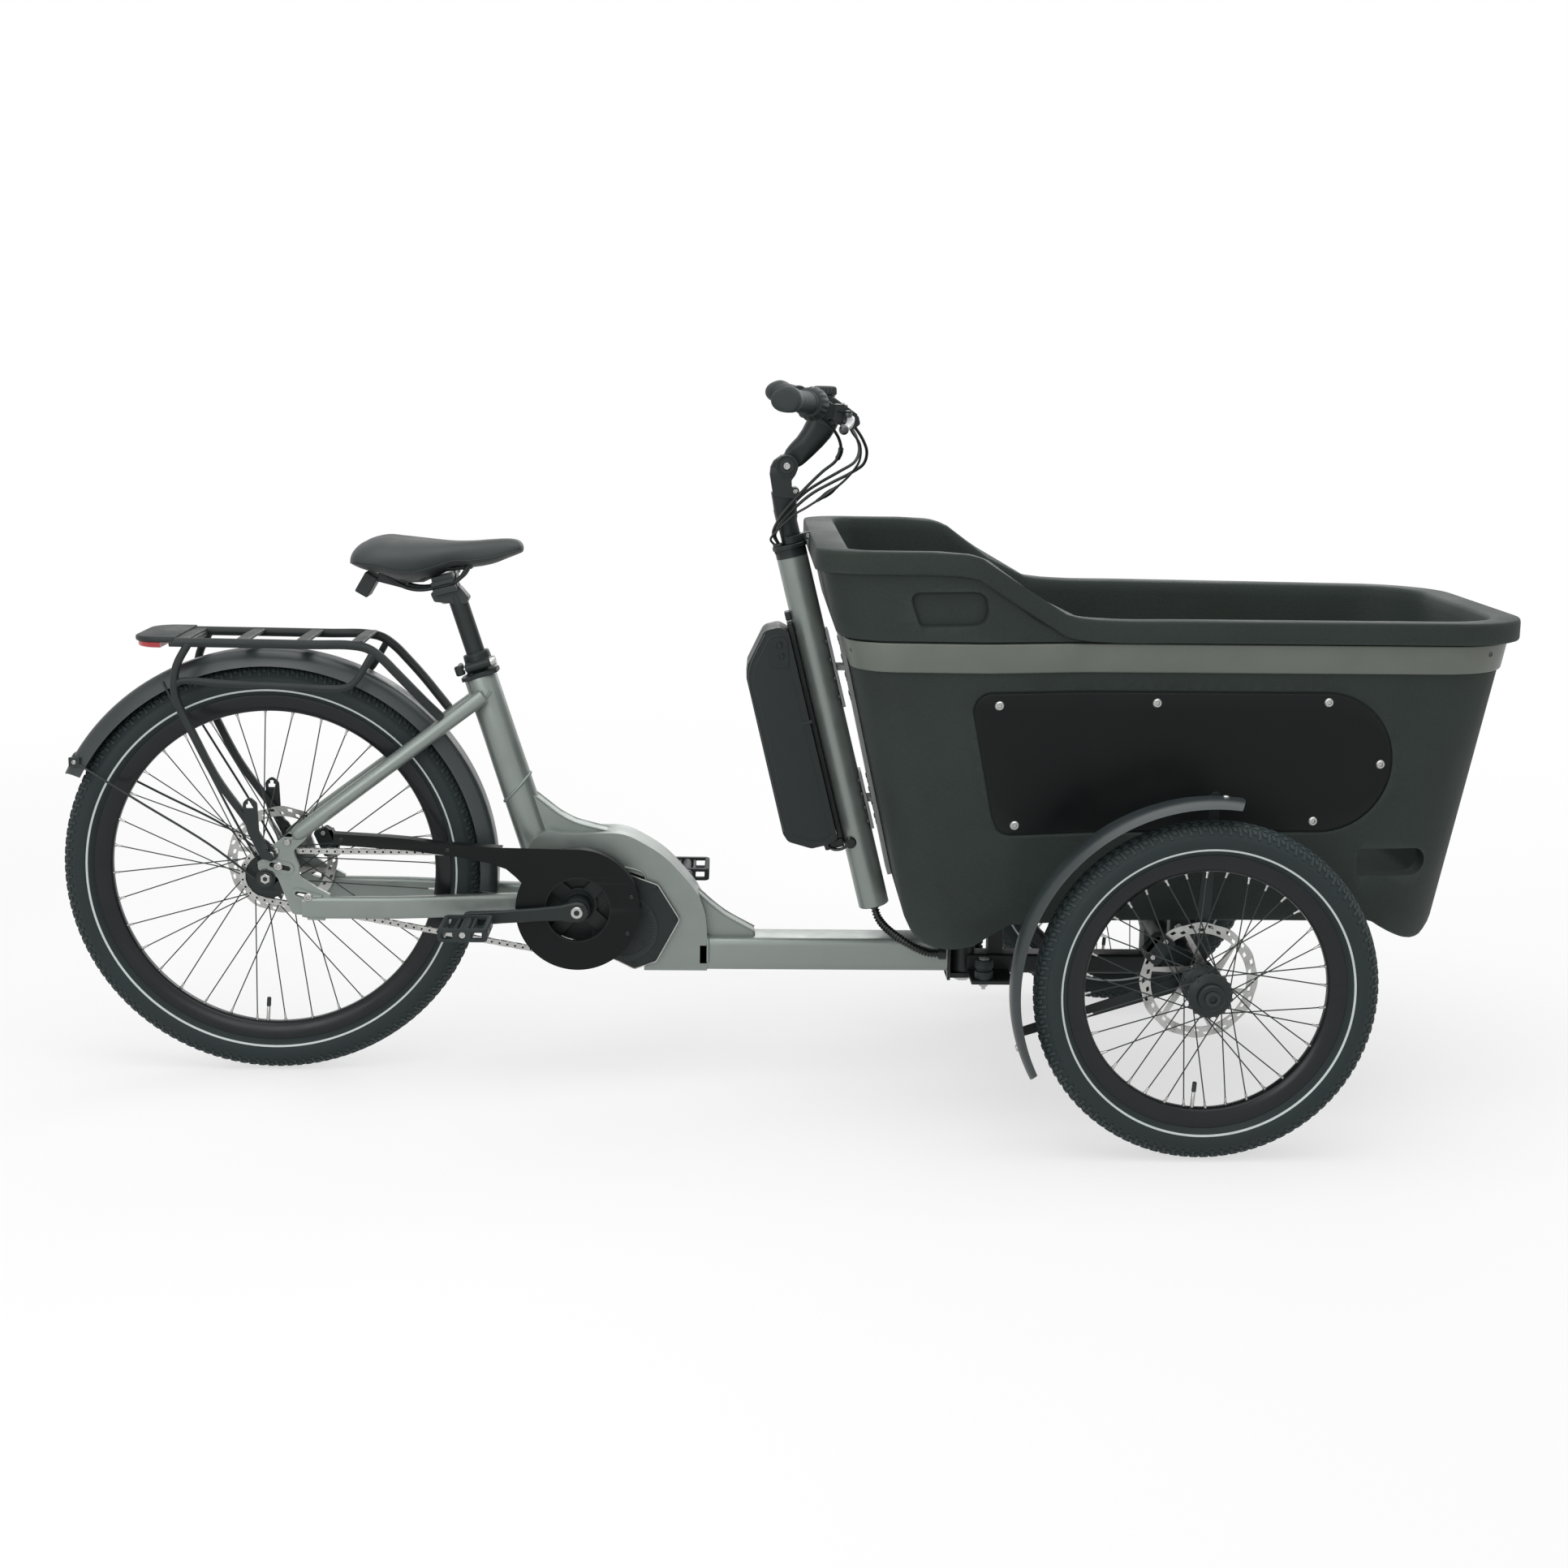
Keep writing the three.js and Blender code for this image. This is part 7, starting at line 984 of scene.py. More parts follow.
def seat_clamp():
    base = POST_BASE + SEAT_UP * 0.3
    collar = lathe([(15.4, 0), (27, 0), (27.6, 1.5), (27.2, 7), (24, 9), (22.6, 12), (21.6, 32), (21, 37),
                    (20, 38),
                    (15.4, 38)], base, SEAT_UP, 56, ring=True)
    piece("seat_clamp_collar", collar, "frame", "black", ["seat_clamp"])
    skewer = base + SEAT_UP * 20 - Y * 31
    lug = lathe([(0.01, -19), (6, -19), (7, -18), (7, 21), (6, 22), (0.01, 22)], skewer, SEAT_AHEAD, 28)
    lug.add(box((34, 14, 13), skewer + Y * 7, (SEAT_AHEAD, Y, SEAT_UP)))
    piece("seat_clamp_lugs", lug, "frame", "black", bevel=0.8)
    plate_middle = base + SEAT_UP * 2.4 - SEAT_AHEAD * 2.5
    flange = plate(rounded([(-31, -26), (29, -26), (29, 26), (-31, 26)], 13, 6), -3, 3)
    flange = flange.changed(lambda p: plate_middle + SEAT_AHEAD * p.x + Y * p.z + SEAT_UP * p.y)
    piece("seat_clamp_flange", flange, "frame", "black", bevel=1.2)
    rod = tube([skewer - SEAT_AHEAD * 18, skewer - SEAT_AHEAD * 26], 3.2, 16)
    piece("seat_clamp_rod", rod, "frame", "bright")
    nut = lathe([(5, 22), (8, 22.6), (8, 29), (7.2, 31), (4.5, 31), (4, 29.5), (0.01, 29.5)], skewer,
                SEAT_AHEAD, 32)
    piece("seat_clamp_nut", nut, "frame", "bright")
    cam = skewer - SEAT_AHEAD * 28.5
    lever = lathe([(0.01, -8), (6, -8), (7.6, -6), (7.6, 6), (6, 8), (0.01, 8)], cam, SEAT_UP, 28)
    rows = []
    for t, width, lift in ((0, 7, 0), (10, 7, -1.5), (24, 6, -4), (38, 6.6, -4.4), (47, 7, -3),
                           (51.6, 5, -2)):
        centre = cam + Y * t + SEAT_AHEAD * (lift + 0.2)
        rows.append([centre + SEAT_UP * width * u + SEAT_AHEAD * 2.4 * v for u, v in
                     ((-1, -0.5), (-0.6, -1), (0.6, -1), (1, -0.5), (1, 0.5), (0.6, 1), (-0.6, 1),
                      (-1, 0.5))])
    lever.add(skin(rows))
    piece("seat_clamp_lever_blade", lever, "clamp_lever", "black", ["seat_clamp_lever"], bevel=0.4)


def saddle_point(stations, along, turn):
    """A point of the cushion: turn goes round from the right edge over the top."""
    i = max(0, min(len(stations) - 2, sum(1 for s in stations if s[0] <= along) - 1))
    before, here, after, beyond = (stations[max(0, min(len(stations) - 1, i + k))] for k in (-1, 0, 1, 2))
    t = (along - here[0]) / (after[0] - here[0])
    values = []
    for k in range(1, 4):
        slope_a = (after[k] - before[k]) / max(1e-6, after[0] - before[0])
        slope_b = (beyond[k] - here[k]) / max(1e-6, beyond[0] - here[0])
        span = after[0] - here[0]
        values.append((2 * t ** 3 - 3 * t * t + 1) * here[k] + (t ** 3 - 2 * t * t + t) * span * slope_a
                      + (3 * t * t - 2 * t ** 3) * after[k] + (t ** 3 - t * t) * span * slope_b)
    top, bottom, half = values
    low, high = 800 + bottom * 76, 800 + top * 76
    edge = low + 0.42 * (high - low)
    across, up = math.cos(turn), math.sin(turn)
    drawn = 1 - 0.28 * up * up if up < 0 else 1
    y = half * 100 * math.copysign(abs(across) ** 0.8, across) * drawn
    z = edge + (high - edge) * up ** 0.9 if up > 0 else edge + (edge - low) * up
    if up > 0:
        rear = max(0, 1 - along / 0.42)
        z -= 7 * rear * math.exp(-(y / 16) ** 2) * (high - low) / 60
        z -= 2.2 * math.exp(-(y / 9) ** 2) * max(0, 1 - abs(along - 0.6) / 0.35)
    return Vector((135 + along * 267, y, z))


STATIONS = [(0.0, 0.5, 0.47, 0.2), (0.006, 0.6, 0.42, 0.45), (0.03, 0.76, 0.38, 0.78),
            (0.08, 0.9, 0.3, 0.93),
            (0.184, 1, 0.21, 1), (0.28, 0.985, 0.09, 0.94), (0.375, 0.961, 0.05, 0.8),
            (0.48, 0.93, 0.17, 0.6),
            (0.592, 0.908, 0.36, 0.41), (0.7, 0.925, 0.36, 0.3), (0.82, 0.96, 0.44, 0.255),
            (0.92, 0.97, 0.58, 0.235),
            (0.975, 0.93, 0.66, 0.2), (0.996, 0.85, 0.7, 0.12), (1.0, 0.79, 0.74, 0.04)]


def saddle():
    rows = []
    for i in range(61):
        along = 0.5 - 0.5 * math.cos(math.pi * i / 60)
        rows.append([saddle_point(STATIONS, along, TAU * k / 64) for k in range(64)])
    cushion = piece("saddle_cushion", skin(rows), "seat", "cover", ["saddle"], sharp=80)
    seams = Shape()
    for turn in (math.radians(-14), math.radians(194)):
        line = [saddle_point(STATIONS, 0.02 + 0.965 * i / 40, turn) for i in range(41)]
        seams.add(tube(line, 1.0, 8))
    piece("saddle_piping", seams, "seat", "cover")
    lower = []
    for along, half in ((0.2, 0.5), (0.3, 0.62), (0.42, 0.5), (0.55, 0.3), (0.7, 0.2)):
        low = saddle_point(STATIONS, along, -math.pi / 2)
        lower.append([low + Vector((0, half * 70 * u, v)) for u, v in
                      ((-1, 3), (-0.7, -2), (0.7, -2), (1, 3), (0.6, 6), (-0.6, 6))])
    piece("saddle_base", skin(lower), "seat", "plastic", bevel=1.5)
    lean = (Vector((0.87, 0, -0.5)), Y, Vector((0.5, 0, 0.87)))
    clip = box((22, 48, 36), (157, 0, 799), lean)
    clip.add(box((46, 40, 15), (196, 0, 806), (Vector((0.97, 0, -0.24)), Y, Vector((0.24, 0, 0.97)))))
    piece("saddle_bag_clip", clip, "seat", "plastic", bevel=2.5, steps=4)


def saddle_rails():
    shape = Shape()
    for side in (-1, 1):
        points = [Vector((x, side * y, z)) for x, y, z in (
            (186, 22, 818), (208, 22, 801), (226, 22, 794), (244, 22, 792.7), (264, 22, 796),
                                                           (291, 22, 803),
            (306, 20, 814), (317, 16, 830), (334, 10, 839))]
        shape.add(tube(smooth_route(points, 8), 3.5, 18))
    piece("saddle_rails_bent", shape, "seat", "black", ["saddle_rails"])


CLAMP_SPOT = Vector((278, 0, 799.5))


def seat_post():
    foot = POST_BASE - SEAT_UP * 152
    top = POST_BASE + SEAT_UP * 138
    rail = 800 - 0.05 * 76
    length = (top - foot).length
    post = lathe([(12, 0), (15, 1), (15, length - 22), (15, length - 4), (13.5, length + 1)], foot, SEAT_UP,
                 48)
    piece("seat_post_tube", post, "seat", "black", ["seat_post"])
    head = plate(rounded([(255, rail - 9), (262, rail - 24), (286, rail - 26), (312, rail - 26),
                          (317, rail - 17),
                          (301, rail + 2), (288, rail - 3)], 5), -14, 14)
    slope = (Vector((0.97, 0, 0.25)), Y, Vector((-0.25, 0, 0.97)))
    for side in (-1, 1):
        for lift in (-5.5, 5.5):
            head.add(box((36, 13, 6), CLAMP_SPOT + Y * side * 22 + slope[2] * lift, slope))
    head.add(box((38, 56, 6), CLAMP_SPOT - slope[2] * 9, slope),
             box((32, 50, 14), CLAMP_SPOT + slope[2] * 9, slope))
    piece("seat_post_head", head, "seat", "black", bevel=1.6, steps=4)
    bolts = Shape()
    for shift in (-11, 19):
        spot = CLAMP_SPOT + slope[0] * shift
        bolts.add(tube([spot - Z * 18, spot + Z * 16], 3, 14))
        bolts.add(lathe([(5.6, 0), (5.6, 5), (4.6, 6), (0.01, 6)], spot + Z * 14, Z, 24))
    bolts.add(lathe([(6.2, 0), (6.2, 3), (5, 4), (0.01, 4)], (277, 0, rail - 24), -Z, 6))
    piece("seat_post_bolts", bolts, "seat", "bright", sharp=30)


# Rack, fenders and light

RACK_REAR, RACK_LENGTH = -198, 466
RACK_FOOT, RACK_HEIGHT = 374, 335
RACK_HALF = 72
DECK_Z = RACK_FOOT + RACK_HEIGHT
TAIL_FRONT = -132
TAIL_TOP = DECK_Z + 10


def rack_point(along, up, side, extra):
    return Vector((RACK_REAR + along * RACK_LENGTH, side * (RACK_HALF + extra),
                   RACK_FOOT + up * RACK_HEIGHT))


def tail_plan(edge):
    half, corner, rear = 79.5 - edge, 38 - edge, RACK_REAR + edge
    return ([(TAIL_FRONT, half)] + arc(rear + corner, half - corner, corner, 90, 180, 14)
            + arc(rear + corner, corner - half, corner, 180, 270, 14) + [(TAIL_FRONT, -half)])


def level_slab(outline, low, high):
    """A flat body lying level, from an outline of (x, y)."""
    upright = plate(outline, low, high)
    return upright.changed(lambda p: Vector((p.x, p.z, p.y)))


FOOT_CORNERS = [(-31, 459), (-20, 469), (-8.5, 459), (-6, 399), (14.5, 371), (12, 365.5), (-3.5, 368),
                (-24, 410),
                (-29, 434)]
KEYHOLE = [(-23, 462), (-17, 462), (-17, 456), (-14, 456), (-14, 450), (-26, 450), (-26, 456), (-23, 456)]


def rear_rack():
    tubes, flat, feet, bolts = Shape(), Shape(), Shape(), Shape()
    for side in (-1, 1):
        deck = [Vector((-139.5, side * RACK_HALF, DECK_Z + 1)), Vector((0, side * RACK_HALF, DECK_Z + 0.5))]
        deck += [rack_point(a, u, side, e) for a, u, e in (
            (0.6, 1, 0), (0.723, 1, 0), (0.78, 0.985, 0), (0.825, 0.942, 0), (0.87, 0.878, -1),
                                                           (0.926, 0.793, -5),
            (0.972, 0.72, -13), (1.014, 0.655, -23))]
        tubes.add(sweep(smooth_route(deck, 6), rectangle(14.5, 14.5, 6.8, 4)))
        leg = [rack_point(a, u, side, e) for a, u, e in (
            (0.19, 1.005, 0), (0.15, 0.9, 4), (0.139, 0.815, 6), (0.146, 0.737, 6), (0.205, 0.55, 6),
                                                         (0.273, 0.361, 6),
            (0.365, 0.173, 6))]
        foot = rack_point(0.43, 0.03, side, 0)
        foot.y = side * 80.3
        leg.append(foot)
        tubes.add(sweep(smooth_route(leg, 7), rectangle(14, 12, 5.2, 4)))
        loop = [rack_point(a, u, side, e) for a, u, e in (
            (0.139, 0.80, 6), (0.16, 0.822, 6), (0.3, 0.815, 6), (0.55, 0.803, 6), (0.7, 0.8, 6),
                                                          (0.735, 0.825, 6),
            (0.8, 0.97, 1))]
        tubes.add(sweep(smooth_route(loop, 6), rectangle(11, 11, 5.2, 4)))
        down = (foot - leg[-2]).normalized()
        lug = rounded([(-8, -22), (8, -22), (9, 6), (4, 18), (-4, 18), (-9, 6)], 5, 5)
        flat_lug = plate(lug, 0, 5, [circle(0, -13, 4.2, 16), circle(0, 0, 2.8, 12)])
        tab = rounded(FOOT_CORNERS, [10, 10, 10, 8, 4, 4, 6, 8, 8], 5)
        feet.add(side_plate(side, tab, 83, 87, [rounded(KEYHOLE, 1.2, 3)]))
        turn = Vector((down.x, 0, down.z)).normalized()
        across = Vector((turn.z, 0, -turn.x))
        near = 74.3 if side > 0 else -79.3
        feet.add(flat_lug.changed(lambda p: foot + across * p.x - turn * p.z + Y * (near + p.y - foot.y)))
        bolts.add(bolt(foot + turn * 13 + Y * (side * 79.3 - foot.y), (0, side, 0), 6, 3.6))
    for x in [TAIL_FRONT + 8.5] + [RACK_REAR + share * RACK_LENGTH for share in (0.36, 0.56, 0.745)]:
        flat.add(sweep([(x, -70, DECK_Z + 3.5), (x, 0, DECK_Z + 4.5), (x, 70, DECK_Z + 3.5)],
                       rectangle(20, 6, 2.8, 4), X))
    levels = ((2.5, 9), (0.6, 8), (0, 6), (0, 2.5), (1, 0.7), (3, 0))
    flat.add(skin([[Vector((x, y, TAIL_TOP - drop)) for x, y in tail_plan(edge)] for edge, drop in levels]))
    piece("rear_rack_tubes", tubes, "frame", "plastic", ["rear_rack"])
    piece("rear_rack_deck", flat, "frame", "plastic", bevel=0.8)
    piece("rear_rack_feet", feet, "frame", "plastic", bevel=1.2)
    piece("rear_rack_bolts", bolts, "frame", "bright", sharp=30)
    strap = sweep([(-118, y, TAIL_TOP - 12) for y in (-66, 0, 66)], rectangle(11, 11, 5), X)
    piece("rear_rack_cross_tube", strap, "frame", "plastic")
    rows = []
    for edge, drop in ((9, 18.3), (5, 17), (3.75, 15), (3.75, 9.3)):
        kept = [(x, y) for x, y in tail_plan(edge) if x < -150]
        lens = [(-154, kept[0][1])] + kept + [(-154, kept[-1][1])]
        rows.append([Vector((x, y, TAIL_TOP - drop)) for x, y in lens])
    piece("rear_light_lens", skin(rows), "frame", "red", ["rear_light"], bevel=0.8)


def fender_shape(centre, radius, start, end, tip_start=0.0, tip_end=0.0, half=30, skirt=13, thick=2.5,
                 bend=3):
    """A smooth channel over a wheel. The tips say how many degrees the middle passes the edges."""
    rows = []
    shares = [-1 + 2 * i / 20 for i in range(21)]
    outer = [(half * s, -skirt * abs(s) ** bend) for s in shares]
    inner = [((half - thick) * s, -thick - (skirt - thick) * abs(s) ** bend) for s in reversed(shares)]
    for k in range(91):
        row = []
        for y, drop in outer + inner:
            share = 1 - (abs(y) / half) ** 2
            low, high = start - tip_start * share, end + tip_end * share
            angle = math.radians(low + (high - low) * k / 90)
            reach = radius + drop
            row.append(Vector((centre[0] + reach * math.cos(angle), centre[1] + y,
                               centre[2] + reach * math.sin(angle))))
        rows.append(row)
    return skin(rows)


def rear_fender():
    centre = (0, 0, REAR_AXLE_Z)
    shell = fender_shape(centre, 360, -5, 153, 1, 2, half=32, skirt=27, thick=2, bend=6)
    piece("rear_fender_shell", shell, "frame", "fender", ["rear_fender"], bevel=0.5, steps=2)
    wires, clips, screws = Shape(), Shape(), Shape()
    feet = placed([(-0.16, -0.02), (-0.08, 0.12)], 0, REAR_AXLE_Z, 126, 150)
    for side in (-1, 1):
        for angle, (x, z) in zip((150, 118), feet):
            top = polar(centre, 347, angle, side * 31)
            foot = Vector((x, side * 63.7, z))
            elbow = polar(centre, 104, angle, side * 63.7)
            wires.add(tube(smooth_route([top, elbow.lerp(top, 0.5) + Y * side * 0.5, elbow, foot], 6), 1.9,
                           12))
            if angle == 150:
                wires.add(tube([polar(centre, 344, angle, side * 31), polar(centre, 362, angle, side * 29)],
                               2, 10))
        clips.add(box((17, 5, 15), polar(centre, 352, 150, side * 31)))
        screws.add(bolt(polar(centre, 352, 150, side * 33.4), (0, side, 0), 3.6, 1.8, 16))
    arch = [polar(centre, 362.3 - 13 * abs(s) ** 3, 150, 31.5 * s) for s in (-1, -0.8, -0.5, 0, 0.5, 0.8,
                                                                             1)]
    clips.add(sweep(smooth_route(arch, 5), rectangle(11, 2.6, 1), Vector((0.5, 0, 0.86))))
    piece("rear_fender_wires", wires, "frame", "black")
    piece("rear_fender_clips", clips, "frame", "plastic", bevel=0.8)
    piece("rear_fender_screws", screws, "frame", "bright", sharp=30)


def front_fender(side):
    label = "left" if side > 0 else "right"
    name = "front_fender_" + label
    centre = (WHEELBASE, side * FRONT_HALF_TRACK, FRONT_AXLE_Z)
    shell = fender_shape(centre, 292, 83, 206, 1.5, 2)
    piece(name + "_shell", shell, "front", "fender", [name], bevel=0.5, steps=2)
    straps, screws = Shape(), Shape()
    for angle in (87, 198):
        tip = polar(centre, 280, angle, 0)
        strap = link((WHEELBASE, FRONT_AXLE_Z), 12, (tip.x, tip.z), 7, 10)
        straps.add(side_plate(side, strap, 345.3, 348.8, [circle(WHEELBASE, FRONT_AXLE_Z, 8.4, 24)]))
        reach = [tip + Y * side * 345.5, tip + Y * side * 372, polar(centre, 287, angle, side * 388),
                 polar(centre, 287.4, angle, side * 428)]
        straps.add(sweep(smooth_route(reach, 4), rectangle(22, 3.4, 1.2),
                         polar((0, 0, 0), 1, angle + 90, 0)))
        screws.add(bolt(polar(centre, 292, angle, side * 412), polar((0, 0, 0), 1, angle, 0), 5, 2.6, 20))
    piece(name + "_straps", straps, "front", "black", bevel=0.6)
    piece(name + "_screws", screws, "front", "bright", sharp=30)


def caliper(name, centre, angle, inner, outer, body, rotor_y):
    """Two clamp halves with a slot for the disc, a bridge over it, and round bosses under the bolts."""
    out = polar((0, 0, 0), 1, angle, 0)
    along = Vector((-out.z, 0, out.x))
    spot = polar(centre, 82, angle, 0)
    near, far = sorted((inner, outer))
    shape = Shape()
    for low, high in ((near, rotor_y - 2.6), (rotor_y + 2.6, far)):
        outline = rounded([(-23, -15), (23, -15), (23, 8), (12, 15), (-12, 15), (-23, 8)], 5, 4)
        half = plate(outline, low, high)
        shape.add(half.changed(lambda p: spot + along * p.x + out * p.z + Y * p.y))
    shape.add(box((30, far - near, 6), spot + out * 12 + Y * (near + far) / 2, (along, Y, out)))
    for shift in (-15, 15):
        for y, way in ((near, -1), (far, 1)):
            shape.add(lathe([(6.5, 0), (6, 1.6), (0.01, 1.6)], spot + along * shift + Y * y, (0, way, 0),
                            24))
    piece(name + "_halves", shape, body, "black", [name], bevel=1.0)
    bits = Shape()
    for shift in (-15, 15):
        for y, way in ((near, -1), (far, 1)):
            bits.add(bolt(spot + along * shift + Y * (y + way * 1.4), (0, way, 0), 3.8, 2.2, 18))
    piece(name + "_bolts", bits, body, "bright", sharp=30)


def calipers():
    caliper("rear_brake_caliper", (0, 0, REAR_AXLE_Z), 24, 48, 65.7, "frame", 57)
    for side, label in SIDES:
        caliper("front_brake_caliper_" + label, (WHEELBASE, 0, FRONT_AXLE_Z), 142, side * 345.3,
                side * 371.3, "front", side * 359)


# Steering pivot and chassis

PIVOT_X = 1122


def pivot_yoke():
    low, high = 162, 244
    shape = box((5, 72, high - low), (1096.8, 0, (low + high) / 2))
    tongue = [(1094.3, 22), (1094.3, -22)] + arc(PIVOT_X, 0, 22, -90, 90, 20)
    shape.add(level_slab(tongue, high - 8, high), level_slab(tongue, low, low + 8))
    piece("pivot_yoke_plates", shape, "frame", "black", ["pivot_yoke"], bevel=1.6, steps=4)
    pin = lathe([(9, low - 1), (9, high + 1)], (PIVOT_X, 0, 0), Z, 24)
    for z, way in ((high, 1), (low, -1)):
        pin.add(lathe([(17, 0), (17, 1.6), (15.5, 1.6)], (PIVOT_X, 0, z), (0, 0, way), 32))
        pin.add(lathe([(15, 0), (15, 5.4), (13, 7), (6, 7), (6, 4.5), (0.01, 4.5)], (PIVOT_X, 0, z),
                      (0, 0, way), 6))
    piece("pivot_yoke_pin", pin, "frame", "bright", sharp=25)


def chassis():
    bodies = Shape()
    bodies.add(sweep([(PIVOT_X + 6, 0, 186.3), (1290, 0, 186.3), (1462, 0, 186.3)], rectangle(44, 32, 6)))
    bodies.add(box((40, 44, 88), (WHEELBASE, 0, 214)))
    for side in (-1, 1):
        y = side * 190
        bodies.add(sweep([(1162.5, y, 320.1), (1440, y, 320.1), (1712.5, y, 320.1)], rectangle(25, 20, 4)))
        bodies.add(box((30, 25, 72), (WHEELBASE, y, 294)))
        bodies.add(box((69, 106, 7), (1163, side * 38, 173.8)))
    for x in (1175, 1700):
        bodies.add(sweep([(x, -202, 320.1), (x, 0, 320.1), (x, 202, 320.1)], rectangle(25, 20, 4), X))
    bodies.add(box((25, 30, 159.8), (1175, 0, 250.2)))
    piece("chassis_beams", bodies, "front", "black", ["chassis"], bevel=1.5)
    rounds = lathe([(18, -336), (21, -334), (21, 334), (18, 336)], (WHEELBASE, 0, FRONT_AXLE_Z), Y, 48)
    rounds.add(lathe([(9.4, 170.3), (19, 170.3), (20, 172), (20, 234), (19, 235.7), (9.4, 235.7)],
                     (PIVOT_X, 0, 0), Z, 40, ring=True))
    piece("chassis_tubes", rounds, "front", "black")
    rubber, bright = Shape(), Shape()
    for side in (-1, 1):
        bush = (1150, side * 76, 177.3)
        rubber.add(lathe([(0.01, 0), (14, 0), (15, 2), (15, 13), (12.5, 15), (12.5, 17), (15, 19), (15, 29),
                          (13, 32), (0.01, 32)],
                         bush, Z, 40))
        bright.add(lathe([(7.4, -7.2), (7.4, -12), (6, -13.5), (3.4, -13.5), (3.4, -18), (0.01, -18)], bush,
                         Z, 6))
        bright.add(lathe([(9, 32), (9, 33.5), (0.01, 33.5)], bush, Z, 28))
        tip = polar((WHEELBASE, 0, FRONT_AXLE_Z), 82, 142, 0)
        upright = side_plate(side, link((WHEELBASE, FRONT_AXLE_Z), 30, (tip.x, tip.z), 13, 14), 335.7, 345)
        piece("chassis_upright_" + ("left" if side > 0 else "right"), upright, "front", "black", bevel=1.2)
        bright.add(lathe([(12, 0), (12, 14), (8, 16), (8, 120.6)],
                         (WHEELBASE, side * 335, FRONT_AXLE_Z), (0, side, 0), 32))
        for x, z in ((1418, 248), (1466, 270), (1452, 236)):
            bright.add(bolt((x, side * 345, z), (0, side, 0), 5, 3.4))
        for z in (300, 322):
            bright.add(bolt((WHEELBASE - 2, side * 202.6, z), (0, side, 0), 6, 3.6))
    piece("chassis_bushes", rubber, "front", "grip")
    piece("chassis_bolts", bright, "front", "bright", sharp=28)


# Cargo box

BOX_LOW, BOX_HIGH = 290, 893
BOX_HEIGHT = BOX_HIGH - BOX_LOW
BOX_REAR, BOX_FRONT = 875, 1962
REAR_LEAN, FRONT_LEAN = 136, 116
FLOOR_TOP = 376


def box_plan(rear, front, share, edge):
    """Half the box's plan from the rear middle to the front middle, with evenly cut straight runs."""
    length = front - rear
    rear_half, middle_half, front_half = (w * share - edge for w in (345, 316, 284))
    low, high = rear + edge, front - edge
    corners = [(low, 0), (low, rear_half), (rear + 0.2 * length, rear_half),
               (rear + 0.34 * length, middle_half),
               (high, front_half), (high, 0)]
    sizes = [0, max(66 - edge, 30), 150, 150, max(132 - edge, 30), 0]
    line = []
    for i in range(1, 5):
        corner, before, after = Vector(corners[i]), Vector(corners[i - 1]), Vector(corners[i + 1])
        way_in, way_out = (before - corner).normalized(), (after - corner).normalized()
        half = way_in.angle(way_out) / 2
        cut = min(sizes[i] / math.tan(half), (before - corner).length * 0.49,
                  (after - corner).length * 0.49)
        start, end = corner + way_in * cut, corner + way_out * cut
        if i in (1, 4):
            bisector = (way_in + way_out).normalized()
            radius = cut * math.tan(half)
            centre = corner + bisector * radius / math.sin(half)
            first, last = start - centre, end - centre
            turn = first.angle_signed(last)
            for k in range(13):
                a = -turn * k / 12
                line.append(centre + Vector((first.x * math.cos(a) - first.y * math.sin(a),
                                             first.x * math.sin(a) + first.y * math.cos(a))))
        else:
            for k in range(7):
                t = k / 6
                line.append(start * (1 - t) ** 2 + corner * 2 * t * (1 - t) + end * t * t)
    line = [Vector(corners[0])] + line + [Vector(corners[5])]
    counts = {0: 6, 13: 3, 20: 2, 27: 22, 40: 6}
    result = []
    for i in range(len(line) - 1):
        steps = counts.get(i, 1)
        result += [line[i].lerp(line[i + 1], k / steps) for k in range(steps)]
    return result + [line[-1]]


def whole_plan(rear, front, share, edge):
    half = box_plan(rear, front, share, edge)
    return half + [Vector((p.x, -p.y)) for p in reversed(half[1:-1])]


PLANS = {}


def wall_plan(edge):
    """The wall's plan at its lowest and highest level, moved in by edge."""
    if edge not in PLANS:
        PLANS[edge] = (whole_plan(BOX_REAR + REAR_LEAN, BOX_FRONT - FRONT_LEAN, 0.94, edge),
                              whole_plan(BOX_REAR, BOX_FRONT, 1, edge))
    return PLANS[edge]


def wall_spot(index, z, edge=0):
    low, high = wall_plan(edge)
    t = (z - BOX_LOW) / BOX_HEIGHT
    p = low[index].lerp(high[index], t)
    return Vector((p.x, p.y, z))


def profile_line(shares):
    """A smooth side line of the box, z for any x."""
    points = [(855 + a * 1103, BOX_LOW + u * BOX_HEIGHT) for a, u in shares]
    line = smooth_route([(x, z, 0) for x, z in points], 8)
    return [(p.x, p.y) for p in line]


def height_at(line, x):
    if x <= line[0][0]:
        return line[0][1]
    for (x0, z0), (x1, z1) in zip(line, line[1:]):
        if x <= x1:
            return z0 + (z1 - z0) * (x - x0) / max(1e-6, x1 - x0)
    return line[-1][1]


TOP_LINE = profile_line([(-0.1, 1), (0.1, 1), (0.17, 1), (0.209, 0.993), (0.247, 0.963), (0.3, 0.886),
                         (0.346, 0.846),
                         (0.403, 0.836), (0.5, 0.836), (1.1, 0.836)])
BOTTOM_LINE = profile_line([(0.08, 0.128), (0.133, 0.049), (0.152, 0.013), (0.186, 0), (0.231, 0.013),
                            (0.262, 0.058),
                            (0.285, 0.067), (0.32, 0.067), (0.5, 0.067), (0.75, 0.067), (0.785, 0.064),
                            (0.812, 0.036),
                            (0.85, 0.006), (0.878, 0.008), (0.893, 0.03), (0.93, 0.09)])


